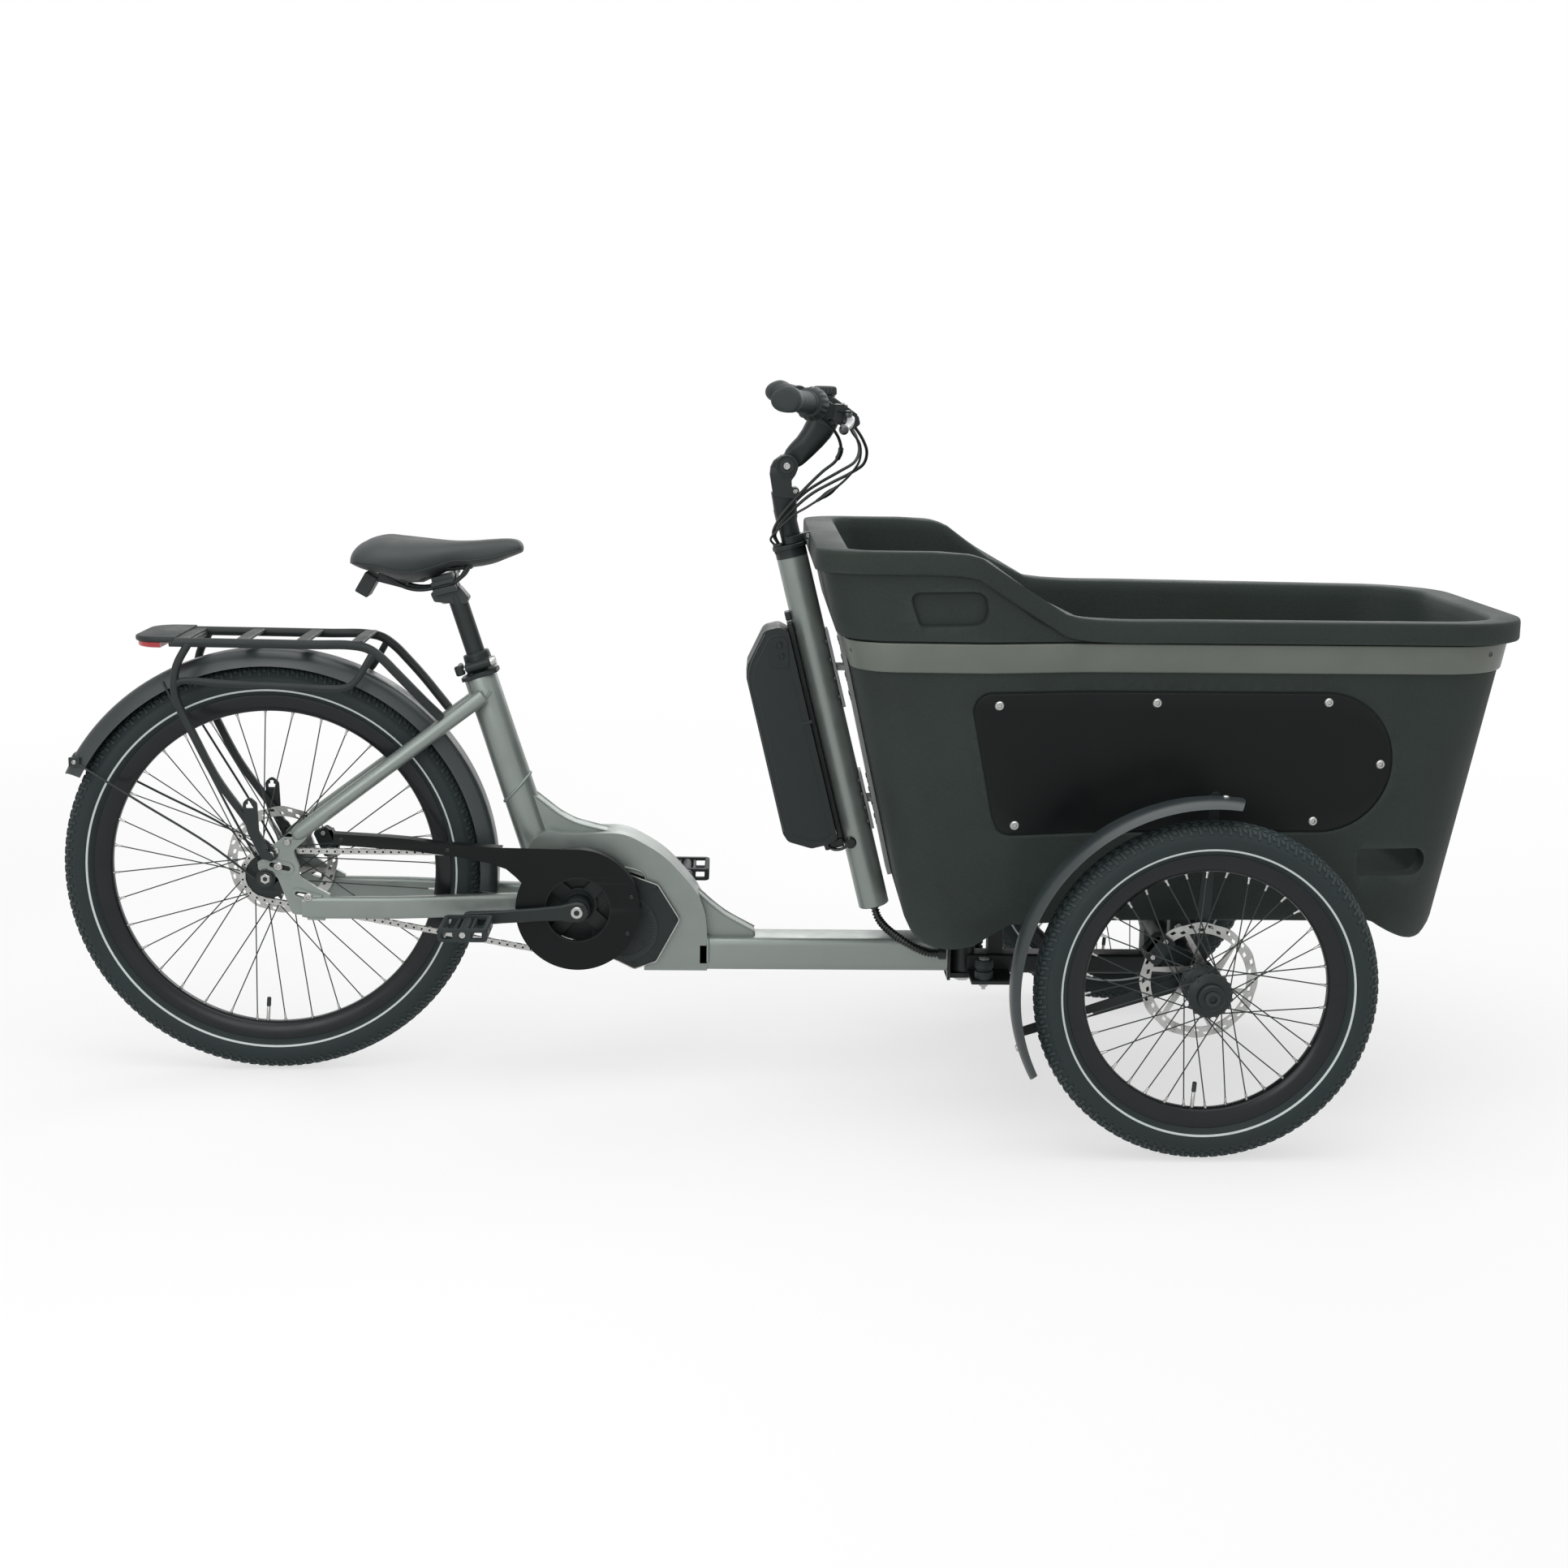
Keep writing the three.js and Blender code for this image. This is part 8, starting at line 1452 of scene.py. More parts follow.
def spot_on(index, line, shift, edge=0):
    """The wall's point whose height is the line's height there, plus shift."""
    z = 600
    for _ in range(6):
        z = height_at(line, wall_spot(index, z, edge).x) + shift
    return wall_spot(index, z, edge)


def swollen(spot, share=1.0):
    """The wall above the band stands out further at the back."""
    t = max(0.0, min(1.0, (985 - spot.x) / 75))
    return spot - X * 15 * share * t * t * (3 - 2 * t)


def cargo_box():
    count = len(wall_plan(0)[0])
    every = range(count)
    rim = whole_plan(861, 1952, 1, -6)
    rows = []

    def wall_row(make):
        rows.append([make(i) for i in every])

    wall_row(lambda i: spot_on(i, BOTTOM_LINE, 0, 12))
    wall_row(lambda i: spot_on(i, BOTTOM_LINE, 2, 4))
    wall_row(lambda i: spot_on(i, BOTTOM_LINE, 10))
    for k in range(1, 12):
        t = k / 12
        wall_row(lambda i: wall_spot(i, spot_on(i, BOTTOM_LINE, 10).z * (1 - t) + 714 * t))
    for z in (714, 736, 759):
        wall_row(lambda i: wall_spot(i, z))
    for lift in (0.6, 3):
        wall_row(lambda i: wall_spot(i, min(759 + lift, spot_on(i, TOP_LINE, -33).z - 0.3), 4))
    for t in (0, 0.06, 0.25, 0.5, 0.75):
        wall_row(lambda i: swollen(
            wall_spot(i, 762.4 * (1 - t) + (spot_on(i, TOP_LINE, -33).z - 0.2) * t), min(1, 0.6 + 6 * t)))
    for share, drop in ((0.0, 34.5), (0.25, 33.2), (0.8, 33), (0.95, 32), (1, 29), (1, 18), (1, 6),
                        (0.97, 2.5), (0.9, 0.6),
                        (0.8, 0)):
        def rim_point(i):
            outer = rim[i]
            z = height_at(TOP_LINE, outer.x) - drop
            wall = swollen(spot_on(i, TOP_LINE, -drop if share < 0.5 else -33))
            flat = Vector((wall.x, wall.y)).lerp(outer, share)
            return Vector((flat.x, flat.y, height_at(TOP_LINE, flat.x) - drop if share < 1 else z))

        wall_row(rim_point)
    for edge, drop in ((14, 0), (24, 0.2), (28, 2), (30, 7), (30.5, 22)):
        wall_row(lambda i: spot_on(i, TOP_LINE, -drop, edge))
    for k in range(1, 7):
        t = k / 7
        wall_row(lambda i: wall_spot(i, spot_on(i, TOP_LINE, -22, 30.5).z * (1 - t) + FLOOR_TOP * t, 30.5))
    for z, edge in ((FLOOR_TOP, 30.5), (368, 34), (364.8, 42)):
        wall_row(lambda i: wall_spot(i, z, edge))
    shape = skin(rows, True, False)
    last = (len(rows) - 1) * count
    half = count // 2
    for k in range(half):
        a, b = k, k + 1
        c, d = (count - b) % count, (count - a) % count
        for start, flip in ((0, False), (last, True)):
            face = [start + v for v in dict.fromkeys((a, b, c, d))]
            shape.faces.append(tuple(face if flip else reversed(face)))
    body = piece("cargo_box_shell", shape, "front", "foam", ["cargo_box"], sharp=50)
    cutters = []
    slot = [(1693, 445), (1693, 401)] + arc(1783, 423, 22, -90, 90, 12)
    slot = rounded(slot, [7, 12] + [0] * 13, 4)
    for side in (-1, 1):
        cutters.append(cutter(side_plate(side, slot, 200, 400)))
        groove = grown(panel_outline(), 3.5)
        pocket = rounded([(993, 832), (1106, 835), (1108, 788), (1010, 785)], [12, 22, 22, 9], 6)
        for levels in ([(groove, -5.5), (groove, -1.5), (grown(groove, 5), 1.5), (grown(groove, 7), 30)],
                       [(pocket, -9), (pocket, -4), (grown(pocket, 3.5), 1.5), (grown(pocket, 5), 30)]):
            cutters.append(cutter(wall_body(levels, side)))
    carve(body, cutters)


def cutter(shape):
    mesh = bpy.data.meshes.new("cutter")
    mesh.from_pydata([to_frame(p) for p in shape.points], [], shape.faces)
    tidy_normals(mesh)
    obj = bpy.data.objects.new("cutter", mesh)
    bpy.context.scene.collection.objects.link(obj)
    return obj


def carve(body, cutters):
    """Cuts bodies out of a piece and leaves one clean mesh."""
    for tool in cutters:
        cut = body.modifiers.new("cut", "BOOLEAN")
        cut.operation, cut.solver, cut.object = "DIFFERENCE", "EXACT", tool
    bpy.context.view_layer.update()
    old = body.data
    mesh = bpy.data.meshes.new_from_object(body.evaluated_get(bpy.context.evaluated_depsgraph_get()))
    body.modifiers.clear()
    body.data = mesh
    mesh.set_sharp_from_angle(angle=math.radians(40))
    for tool in cutters:
        bpy.data.objects.remove(tool)
    bpy.data.meshes.remove(old)


def grown(outline, distance):
    return inset(outline, -distance)


def wall_y(x, z, outset):
    """Half width of the box at that place."""
    low, high = wall_plan(0)
    t = (z - BOX_LOW) / BOX_HEIGHT
    half = len(low) // 2 + 1
    line = [low[i].lerp(high[i], t) for i in range(half)]
    for a, b in zip(line, line[1:]):
        if a.x <= x <= b.x and b.x > a.x:
            return a.y + (b.y - a.y) * (x - a.x) / (b.x - a.x) + outset
    return line[0].y + outset


def spans(outline, count):
    """The low and high z of a closed outline, at places that crowd towards its two ends."""
    xs = [p[0] for p in outline]
    low, high = min(xs) + 0.02, max(xs) - 0.02
    result = []
    for k in range(count + 1):
        x = low + (high - low) * (0.5 - 0.5 * math.cos(math.pi * k / count))
        hits = []
        for a, b in zip(outline, outline[1:] + outline[:1]):
            if (a[0] - x) * (b[0] - x) <= 0 and a[0] != b[0]:
                hits.append(a[1] + (b[1] - a[1]) * (x - a[0]) / (b[0] - a[0]))
        result.append((x, min(hits), max(hits)))
    return result


def wall_body(levels, side, count=56, steps=5):
    """A body that follows the box wall, from (outline, outset) levels."""
    tables = [(spans(outline, count), outset) for outline, outset in levels]
    rows = []
    for k in range(count + 1):
        row = []
        (x, low, high), outset = tables[0][0][k], tables[0][1]
        row += [(x, low + (high - low) * i / steps, outset) for i in range(steps + 1)]
        row += [(table[k][0], table[k][2], outset) for table, outset in tables[1:-1]]
        (x, low, high), outset = tables[-1][0][k], tables[-1][1]
        row += [(x, high + (low - high) * i / steps, outset) for i in range(steps + 1)]
        row += [(table[k][0], table[k][1], outset) for table, outset in reversed(tables[1:-1])]
        rows.append([Vector((x, side * wall_y(x, z, outset), z)) for x, z, outset in row])
    return skin(rows)


def panel_outline():
    corner, radius = 25.3, 105.5
    lower = arc(1127 + corner, 474 + corner, corner, 188, 270, 8)
    upper = arc(1094 + corner, 685 - corner, corner, 90, 188, 8)
    return lower + arc(1630, 474 + radius, radius, -90, 90, 32) + upper


def panels():
    for side, label in SIDES:
        name = "side_panel_" + label
        outline = panel_outline()
        levels = [(outline, -5), (outline, -1), (inset(outline, 1.2), -0.2)]
        piece(name + "_sheet", wall_body(levels, side), "front", "panel", [name], sharp=30)
        screws, washers = Shape(), Shape()
        spots = placed([(0.055, 0.92), (0.43, 0.93), (0.84, 0.94), (0.975, 0.49), (0.82, 0.07),
                        (0.1, 0.06)], 1094, 474, 641.5, 211)
        for x, z in spots:
            base = Vector((x, side * wall_y(x, z, -0.3), z))
            out = Vector((0.1, side, -0.06)).normalized()
            washers.add(lathe([(7.6, 0), (7.6, 0.8), (7.0, 1.2), (0.01, 1.2)], base, out, 28))
            screws.add(bolt(base + out * 1.0, out, 6.8, 3.2, 28))
        piece(name + "_washers", washers, "front", "plastic", sharp=30)
        piece(name + "_screws", screws, "front", "bright", sharp=30)


def box_band():
    count = len(wall_plan(0)[0])
    rows = []
    for z, out in ((717, -0.3), (716.2, -2.5), (717, -3.9), (719, -4.3), (757, -4.3), (758.8, -3.9),
                   (759.6, -2.5), (759, -0.3)):
        rows.append([wall_spot(i, z, out) for i in range(count)])
    piece("box_band_strip", skin(rows, True, False, True), "front", "band", ["box_band"], sharp=60)
    screws = Shape()
    for x in (913, 1886):
        for side in (-1, 1):
            along = -0.8 if x < 1000 else 0.8
            screws.add(bolt(Vector((x, side * wall_y(x, 745, 4), 745)), (along, side, 0), 4.6, 2, 20))
    piece("box_band_screws", screws, "front", "black", sharp=30)


# Steering tube and battery

TUBE_LEAN = math.radians(14.15)
TUBE_UP = Vector((-math.sin(TUBE_LEAN), 0, math.cos(TUBE_LEAN)))
TUBE_BACK = Vector((-math.cos(TUBE_LEAN), 0, -math.sin(TUBE_LEAN)))
TUBE_TOP = Vector((824.5, 0, 871))
TUBE_FOOT = TUBE_TOP - TUBE_UP * 609
BATTERY_FOOT, BATTERY_HEIGHT = 126, 363
BATTERY_GAP, BATTERY_DEPTH = 33.3, 84


def tube_point(up, back, y=0.0):
    return TUBE_FOOT + TUBE_UP * up + TUBE_BACK * back + Y * y


def steering_tube():
    shell = lathe([(7.6, 0), (23.5, 0), (25, 1.5), (25, 602)], TUBE_FOOT, TUBE_UP, 72, ends=False)
    piece("steering_tube_shell", shell, "front", "frame", ["steering_tube"])
    cap = lathe([(16.4, 590), (25.2, 590), (25.2, 603.6), (27.6, 604.2), (28, 605), (28, 610), (27.2, 611),
                 (16.4, 611),
                 (16.4, 590)], TUBE_FOOT, TUBE_UP, 64)
    piece("steering_tube_cap", cap, "front", "black")
    rail = box((9, 40, BATTERY_HEIGHT), tube_point(BATTERY_FOOT + BATTERY_HEIGHT / 2, 28.6),
               (TUBE_BACK, Y, TUBE_UP))
    rail.add(box((32, 44, 14), tube_point(119, 41), (TUBE_BACK, Y, TUBE_UP)))
    rail.add(box((9.5, 26, 14), tube_point(499, 28.4), (TUBE_BACK, Y, TUBE_UP)))
    piece("steering_tube_rail", rail, "front", "plastic", bevel=2)
    hinges, bolts = Shape(), Shape()
    for up, height in ((178, 96), (400, 128)):
        centre = tube_point(up, -31)
        wall_x = BOX_REAR + REAR_LEAN * (BOX_HIGH - centre.z) / BOX_HEIGHT
        hinges.add(box((max(12, wall_x - centre.x + 14), 30, 9), ((centre.x + wall_x) / 2, 0, centre.z),
                       None))
        hinges.add(box((5, 46, height), tube_point(up, -26.5), (TUBE_BACK, Y, TUBE_UP)))
        lean = Vector((-REAR_LEAN, 0, BOX_HEIGHT)).normalized()
        out = Vector((-BOX_HEIGHT, 0, -REAR_LEAN)).normalized()
        plate_centre = Vector((wall_x, 0, centre.z)) + out * 3.2
        hinges.add(box((5, 60, height + 10), plate_centre, (out, Y, lean)))
        for k in (-0.36, -0.12, 0.12, 0.36):
            for side in (-1, 1):
                bolts.add(bolt(plate_centre + lean * height * k + Y * side * 22 + out * 2.4, out, 5, 3.4,
                               20))
                bolts.add(bolt(tube_point(up + height * k, -26, side * 19) + TUBE_BACK * 3, TUBE_BACK, 4.4,
                               3, 16))
    strip_middle = Vector((BOX_REAR + REAR_LEAN * (BOX_HIGH - 545) / BOX_HEIGHT, 0, 545)) + out * 4.2
    hinges.add(box((7, 66, 420), strip_middle, (out, Y, lean)))
    piece("steering_tube_hinges", hinges, "front", "hinge", bevel=1)
    piece("steering_tube_bolts", bolts, "front", "lever", sharp=30)
    lead = smooth_route([tube_point(120, 52, -18), tube_point(112, 44, -24), tube_point(110, 30, -26),
                         tube_point(116, 14, -24.6)], 6)
    plug = lathe([(0.01, 0), (6, 0), (6, 10), (4, 14), (4, 17), (0.01, 17)], lead[0] + TUBE_UP * 9,
                 -TUBE_UP, 24)
    plug.add(tube(lead, 2.6, 12))
    plug.add(lathe([(0.01, -2), (9.5, -2), (9.5, 1), (7, 3.4), (0.01, 3.4)], lead[-1], (0.1, -1, 0), 28))
    piece("battery_plug_lead", plug, "front", "cable")


def battery_point(share, back, y=0.0):
    """A point at a share of the battery's height, and that far behind its front face."""
    return tube_point(BATTERY_FOOT + share * BATTERY_HEIGHT, BATTERY_GAP + back, y)


def battery():
    shares = [(0.016, 0), (0, 0.22), (0, 0.53), (0.055, 0.94), (0.095, 1), (0.815, 0.98), (0.87, 0.9),
              (1, 0.44), (1, 0.15), (0.97, 0)]
    outline = []
    for along, back in shares:
        spot = battery_point(along, back * BATTERY_DEPTH)
        outline.append((spot.x, spot.z))
    outline = rounded(outline, [4, 8, 14, 14, 14, 14, 16, 16, 12, 5], 6)
    shell = plate(outline, -45, 45)
    piece("battery_shell", shell, "battery_pack", "plastic", ["battery"], bevel=9, steps=6)
    chamfers, seam, lock = Shape(), Shape(), Shape()
    inner = inset(outline, 11)
    centre = battery_point(0.9, 22)
    lock_plate = rounded(placed([(-15, -26), (18, -30), (13, 22), (-14, 20)], centre.x, centre.z, 1, 1), 10,
                         6)
    for side in (-1, 1):
        line = [(0.105, 0.985), (0.3, 0.98), (0.6, 0.972), (0.8, 0.965), (0.86, 0.88), (0.985, 0.46)]
        route = [battery_point(a, b * BATTERY_DEPTH - 1.6, side * 40.2) for a, b in line]
        chamfers.add(sweep(smooth_route(route, 5), rectangle(11, 3.4, 1.6, 4)))
        seam.add(side_plate(side, inner, 44.4, 45.6, [inset(inner, 1.6)]))
        lock.add(side_plate(side, lock_plate, 44.6, 46.4))
    piece("battery_chamfers", chamfers, "battery_pack", "fender")
    piece("battery_seam", seam, "battery_pack", "plastic", bevel=0.5)
    piece("battery_lock_plate", lock, "battery_pack", "black", bevel=0.7)
    rounds = Shape()
    for up, radius in ((0.925, 6.2), (0.875, 5)):
        spot = battery_point(up, 20, -46.2)
        rounds.add(lathe([(radius, 0), (radius, 1.2), (radius * 0.8, 1.8), (radius * 0.7, 0.7),
                          (0.01, 0.7)], spot, (0, -1, 0), 32))
    rounds.add(box((16, 1.6, 5), battery_point(0.56, 4, -45.6), (TUBE_BACK, Y, TUBE_UP)))
    piece("battery_buttons", rounds, "battery_pack", "plastic", bevel=0.3)


# Handlebar

POST_TOP = TUBE_TOP - TUBE_BACK * 5
TILT = Vector((818, 0, 997))
BAR_CLAMP = Vector((880, 0, 1084))
ARM = (BAR_CLAMP - TILT).normalized()
ARM_SIDE = Vector((ARM.z, 0, -ARM.x))


def bar_route():
    half = [(y * 318, back * 69, up * 24) for y, back, up in (
        (0, 0, 0), (0.12, 0.02, 0.02), (0.3, 0.12, 0.2), (0.52, 0.32, 0.52), (0.66, 0.5, 0.7), (1, 1, 1))]
    return smooth_route([BAR_CLAMP + Vector((-back, y, up)) for y, back, up in half], 16)


BAR_ROUTE = bar_route()
BAR_HALF = route_length(BAR_ROUTE)


def mirror_to(side, point):
    return Vector((point.x, point.y * side, point.z))


def on_bar(side, distance):
    """Place and outward heading on the bar, at a distance from its middle."""
    spot = point_along(BAR_ROUTE, distance)
    heading = (point_along(BAR_ROUTE, distance + 1) - point_along(BAR_ROUTE, distance - 1)).normalized()
    if distance > BAR_HALF - 1:
        heading = (BAR_ROUTE[-1] - BAR_ROUTE[-3]).normalized()
    return mirror_to(side, spot), mirror_to(side, heading)


def handlebar_post():
    shape = lathe([(0.01, -130), (14, -130), (16, -128), (16, 36), (17.4, 41), (17.4, 60)], POST_TOP,
                  TUBE_UP, 48)
    route = smooth_route([(819.6, 0, 913), (816.8, 0, 930), (815.4, 0, 944), (814, 0, 957)], 4)
    count = len(route) - 1
    sections = [rectangle(34.5 + 9.5 * k / count, 35 + 6 * k / count, 17 - 5 * k / count,
                          7) for k in range(count + 1)]
    piece("handlebar_post_quill", shape.add(sweep(route, sections)), "bar_post", "black",
          ["handlebar_post"], sharp=50)
    left = [(797, 950), (793, 972.7), (791.2, 982.5), (792.3, 993.6), (797.2, 1003.5)]
    right = [(831.5, 982.8), (825.4, 974), (826.6, 964.7), (834, 953), (835, 946)]
    lug = rounded(left + arc(TILT.x, TILT.z, 18, 135, -15, 10) + right, 4, 3)
    core = rounded(left[:4] + [(798.6, 993), (799.6, 985)] + arc(TILT.x, TILT.z, 19.2, 235, 285,
                                                                 5) + [(826, 977)] + right[2:], 2, 2)
    for number, (near, far) in enumerate(((13.4, 22), (-22, -13.4))):
        piece(f"handlebar_post_lug_{number + 1}", plate(lug, near, far), "bar_post", "black", bevel=2.4)
    piece("handlebar_post_core", plate(core, -14, 14), "bar_post", "black", bevel=0.5)
    boss = plate(circle(832, 957.5, 6.4, 28), -20.5, 20.5)
    piece("handlebar_post_boss", boss, "bar_post", "black", bevel=0.8)
    bright, covers = Shape(), Shape()
    for side in (-1, 1):
        out = Y * side
        covers.add(lathe([(17.4, 0), (17.4, 1.4), (16.6, 2.2), (15.2, 2.2), (14.4, 1.2), (12.2, 1.2),
                          (11.4, 2), (7, 2),
                          (7, 0.6), (0.01, 0.6)], TILT + out * 21.6, out, 56))
        bright.add(bolt(TILT + out * 22.4, out, 6, 3.4, 36),
                   bolt(Vector((832, side * 20.4, 957.5)), out, 4, 2.4, 28))
    piece("tilt_covers", covers, "bar_post", "black", sharp=30)
    piece("tilt_bolts", bright, "bar_post", "bright", sharp=30)


def tube_collar():
    """The clamp round the post on top of the steering tube, open where the cables go in."""
    forward = -TUBE_BACK
    rows = []
    for k in range(33):
        a = math.radians(-118 + 236 * k / 32)
        out = forward * math.cos(a) + Y * math.sin(a)
        profile = [(16.8, 611.4), (21.3, 611.4), (22, 612.2), (22, 622.6), (21.2, 623.6), (16.8, 623.6)]
        rows.append([TUBE_FOOT + forward * 5 + TUBE_UP * up + out * radius for radius, up in profile])
    shape = skin(rows)
    lug = TUBE_FOOT + forward * 31 + TUBE_UP * 617.5
    for side in (-1, 1):
        shape.add(box((13, 6, 11), lug + Y * side * 4.6, (forward, Y, TUBE_UP)))
    piece("tube_collar", shape, "front", "black", bevel=0.8)
    screw = bolt(lug + forward * 1.5 - Y * 7.6, -Y, 4, 4, 24)
    screw.add(disc(2.6, 0, 16, lug + forward * 1.5 - Y * 8, Y, 0.5, 20),
              disc(4, 0, 3, lug + forward * 1.5 + Y * 7.6, Y, 0.5, 6))
    piece("tube_collar_screw", screw, "front", "bright", sharp=30)


def stem():
    line = [(823, 1003), (829, 1009.5), (834, 1014.8), (838, 1019), (848, 1029), (858, 1041), (867, 1054),
            (874, 1067), (879, 1079)]
    route = [Vector((x, 0, z)) for x, z in line]
    sizes = [(25.4, 28, 6), (25.8, 35, 8), (29, 37, 10), (33, 38, 13), (37, 39, 16), (39, 42, 17),
             (41, 46, 18), (43, 48, 18), (44, 48, 18)]
    arm = sweep(route, [rectangle(w, h, corner, 8) for w, h, corner in sizes])
    piece("stem_arm", arm, "bar", "black", ["stem"], sharp=50)
    piece("stem_tilt_disc", plate(circle(TILT.x, TILT.z, 17.6, 56), -13, 13), "bar", "black", bevel=1)
    clamp = lathe([(17, -22), (22.6, -22), (24, -20.5), (24, 20.5), (22.6, 22), (17, 22)], BAR_CLAMP, Y, 64,
                  ring=True)
    cap = box((7, 42, 50), BAR_CLAMP + ARM * 21, (ARM, Y, ARM_SIDE))
    piece("stem_clamp", clamp, "bar", "black", sharp=35)
    piece("stem_cap", cap, "bar", "black", bevel=3)
    screws = Shape()
    for side in (-1, 1):
        for across in (-1, 1):
            screws.add(bolt(BAR_CLAMP + ARM * 24.4 + Y * side * 14 + ARM_SIDE * across * 18, ARM, 4, 3, 20))
    piece("stem_screws", screws, "bar", "bright", sharp=30)


def handlebar():
    whole = [mirror_to(-1, p) for p in reversed(BAR_ROUTE)] + BAR_ROUTE[1:]
    radii = [11.1 + 4.9 * max(0.0, min(1.0, (62 - abs(p.y)) / 30)) ** 1.5 for p in whole]
    piece("handlebar_tube", tube(whole, radii, 28), "bar", "black", ["handlebar"])


def grip(side, label):
    start = BAR_HALF - 104
    rows = []
    stations = [(0, 13, 0), (0, 17, 0), (1.5, 17.8, 0), (6, 18, 0), (8, 17.4, 0), (10, 16, 0)]
    stations += [(10 + 66 * k / 22, 15.8 + (0.5 if k % 2 else 0), 5 * (k / 22) ** 2) for k in range(1, 23)]
    stations += [(80, 16.8, 6), (86, 18.4, 7), (100, 19, 7.6), (105, 18.4, 7.2), (107.6, 16.6, 6),
                 (108.4, 12, 4), (108.6, 4, 1)]
    for along, radius, wing in stations:
        spot, heading = on_bar(side, min(start + along, BAR_HALF))
        if start + along > BAR_HALF:
            spot = spot + heading * (start + along - BAR_HALF)
        back = Vector((-1, 0, -0.12))
        back = (back - heading * back.dot(heading)).normalized()
        up = heading.cross(back) * side
        row = []
        for k in range(40):
            a = TAU * k / 40
            reach = radius + wing * max(0.0, math.cos(a)) ** 3
            row.append(spot + back * reach * math.cos(a) + up * reach * math.sin(a))
        rows.append(row)
    piece("grip_body_" + label, skin(rows), "bar", "grip", ["grip_" + label], sharp=50)


def gear_shifter():
    inner, _ = on_bar(-1, BAR_HALF - 138)
    outer, _ = on_bar(-1, BAR_HALF - 107)
    out = (outer - inner).normalized()
    first, second = side_axes(out)
    rows = []
    for height, radius, wave in ((1, 13.5, 0), (1, 23.4, 0), (2, 24.6, 0), (5, 25.2, 0.5), (9, 25.4, 0.7),
                                 (20, 24, 0.7),
                                 (27, 22.4, 0.5), (30.5, 20.6, 0), (31.5, 18.6, 0), (31.5, 13.5, 0)):
        rows.append([inner + out * height
                     + (first * math.cos(a) + second * math.sin(a)) * (radius + wave * math.cos(18 * a))
                     for a in (TAU * k / 108 for k in range(108))])
    piece("gear_shifter_drum", skin(rows, True, False, True), "shifter", "grip", ["gear_shifter"], sharp=45)
    ring = lathe([(22.2, -1.4), (23.6, -1), (23.6, 0.2), (22.2, 0.6), (13.6, 0.6), (13.6, -1.4)], inner,
                 out, 64, ring=True)
    piece("gear_shifter_ring", ring, "bar", "bright", sharp=35)
    house = lathe([(12.2, -18), (19, -18), (20.4, -16.4), (21.8, -4), (21.8, -1.8), (12.2, -1.8)], inner,
                  out, 56, ring=True)
    barrel = Vector((862, -178, 1082))
    way = Vector((0.575, 0.647, -0.503))
    house.add(lathe([(0.01, 0), (5.4, 0), (5.4, 14), (4.2, 16), (3.4, 24), (0.01, 24)], barrel - way * 20,
                    way, 24))
    piece("gear_shifter_housing", house, "bar", "black", sharp=40)


BRAKE_PLACE = BAR_HALF * 0.47
BRAKE_LEAN = math.radians(20)
BRAKE_AHEAD = Vector((math.cos(BRAKE_LEAN), 0, -math.sin(BRAKE_LEAN)))
BRAKE_UP = Vector((math.sin(BRAKE_LEAN), 0, math.cos(BRAKE_LEAN)))


def lever_pivot(side):
    spot, _ = on_bar(side, BRAKE_PLACE)
    return spot + BRAKE_AHEAD * 47 + Y * side * 19.5


def brake_master(side, label):
    spot, heading = on_bar(side, BRAKE_PLACE)

    def flat(points):
        corners = [spot + BRAKE_AHEAD * a + BRAKE_UP * u for a, u in points]
        return [(p.x, p.z) for p in corners]

    middle = spot.y
    clamp = lathe([(11.4, -6.5), (16, -6.5), (17, -5.5), (17, 5.5), (16, 6.5), (11.4, 6.5)], spot, heading,
                  40, ring=True)
    low, high = sorted((middle - side * 8, middle + side * 7))
    neck = plate(rounded(flat([(11, 11), (34, 12), (34, -9), (11, -12)]), 4, 4), low, high)
    body = rounded(flat([(22, 13), (36, 15), (62, 8), (69, -2), (62, -13), (44, -16), (27, -10)]), 5, 5)
    low, high = sorted((middle - side * 34, middle + side * 11))
    reservoir = plate(body, low, high)
    piece("brake_master_body_" + label, reservoir, "bar", "black", ["brake_master_" + label], bevel=2.4)
    piece("brake_master_neck_" + label, neck, "bar", "black", bevel=1.6)
    piece("brake_master_clamp_" + label, clamp, "bar", "black", sharp=35)
    lid = plate(rounded(flat([(31, 14.6), (35, 16.8), (60, 10), (59, 8)]), 1, 3), low + 4, high - 4)
    piece("brake_master_lid_" + label, lid, "bar", "plastic", bevel=0.8)
    screws = Shape()
    for y in (low + 8, high - 8):
        base = spot + BRAKE_AHEAD * 44 + BRAKE_UP * 13.3
        screws.add(bolt(Vector((base.x, y, base.z)), Vector((0.45, 0, 0.95)), 2.6, 1.6, 16))
    pinch = spot + BRAKE_AHEAD * 18 - BRAKE_UP * 6
    screws.add(bolt(Vector((pinch.x, middle - side * 8, pinch.z)), Y * -side, 3.6, 3, 20))
    pivot = lever_pivot(side)
    screws.add(bolt(pivot + Vector((0, 0, 8.6)), Z, 3.8, 2.4, 20))
    piece("brake_master_screws_" + label, screws, "bar", "bright", sharp=30)
    ears = Shape()
    for level in (-1, 1):
        outline = link((0, 0), 6.5, (-9, -side * 14), 9, 10)
        points = [Vector((pivot.x + x, pivot.y + y, pivot.z + level * 9.4 + dz)) for dz in (-1.2,
                                                                                            1.2) for x,
                  y in outline]
        count = len(outline)
        ears.add(skin([points[:count], points[count:]]))
    piece("brake_master_ears_" + label, ears, "bar", "black", bevel=0.6)


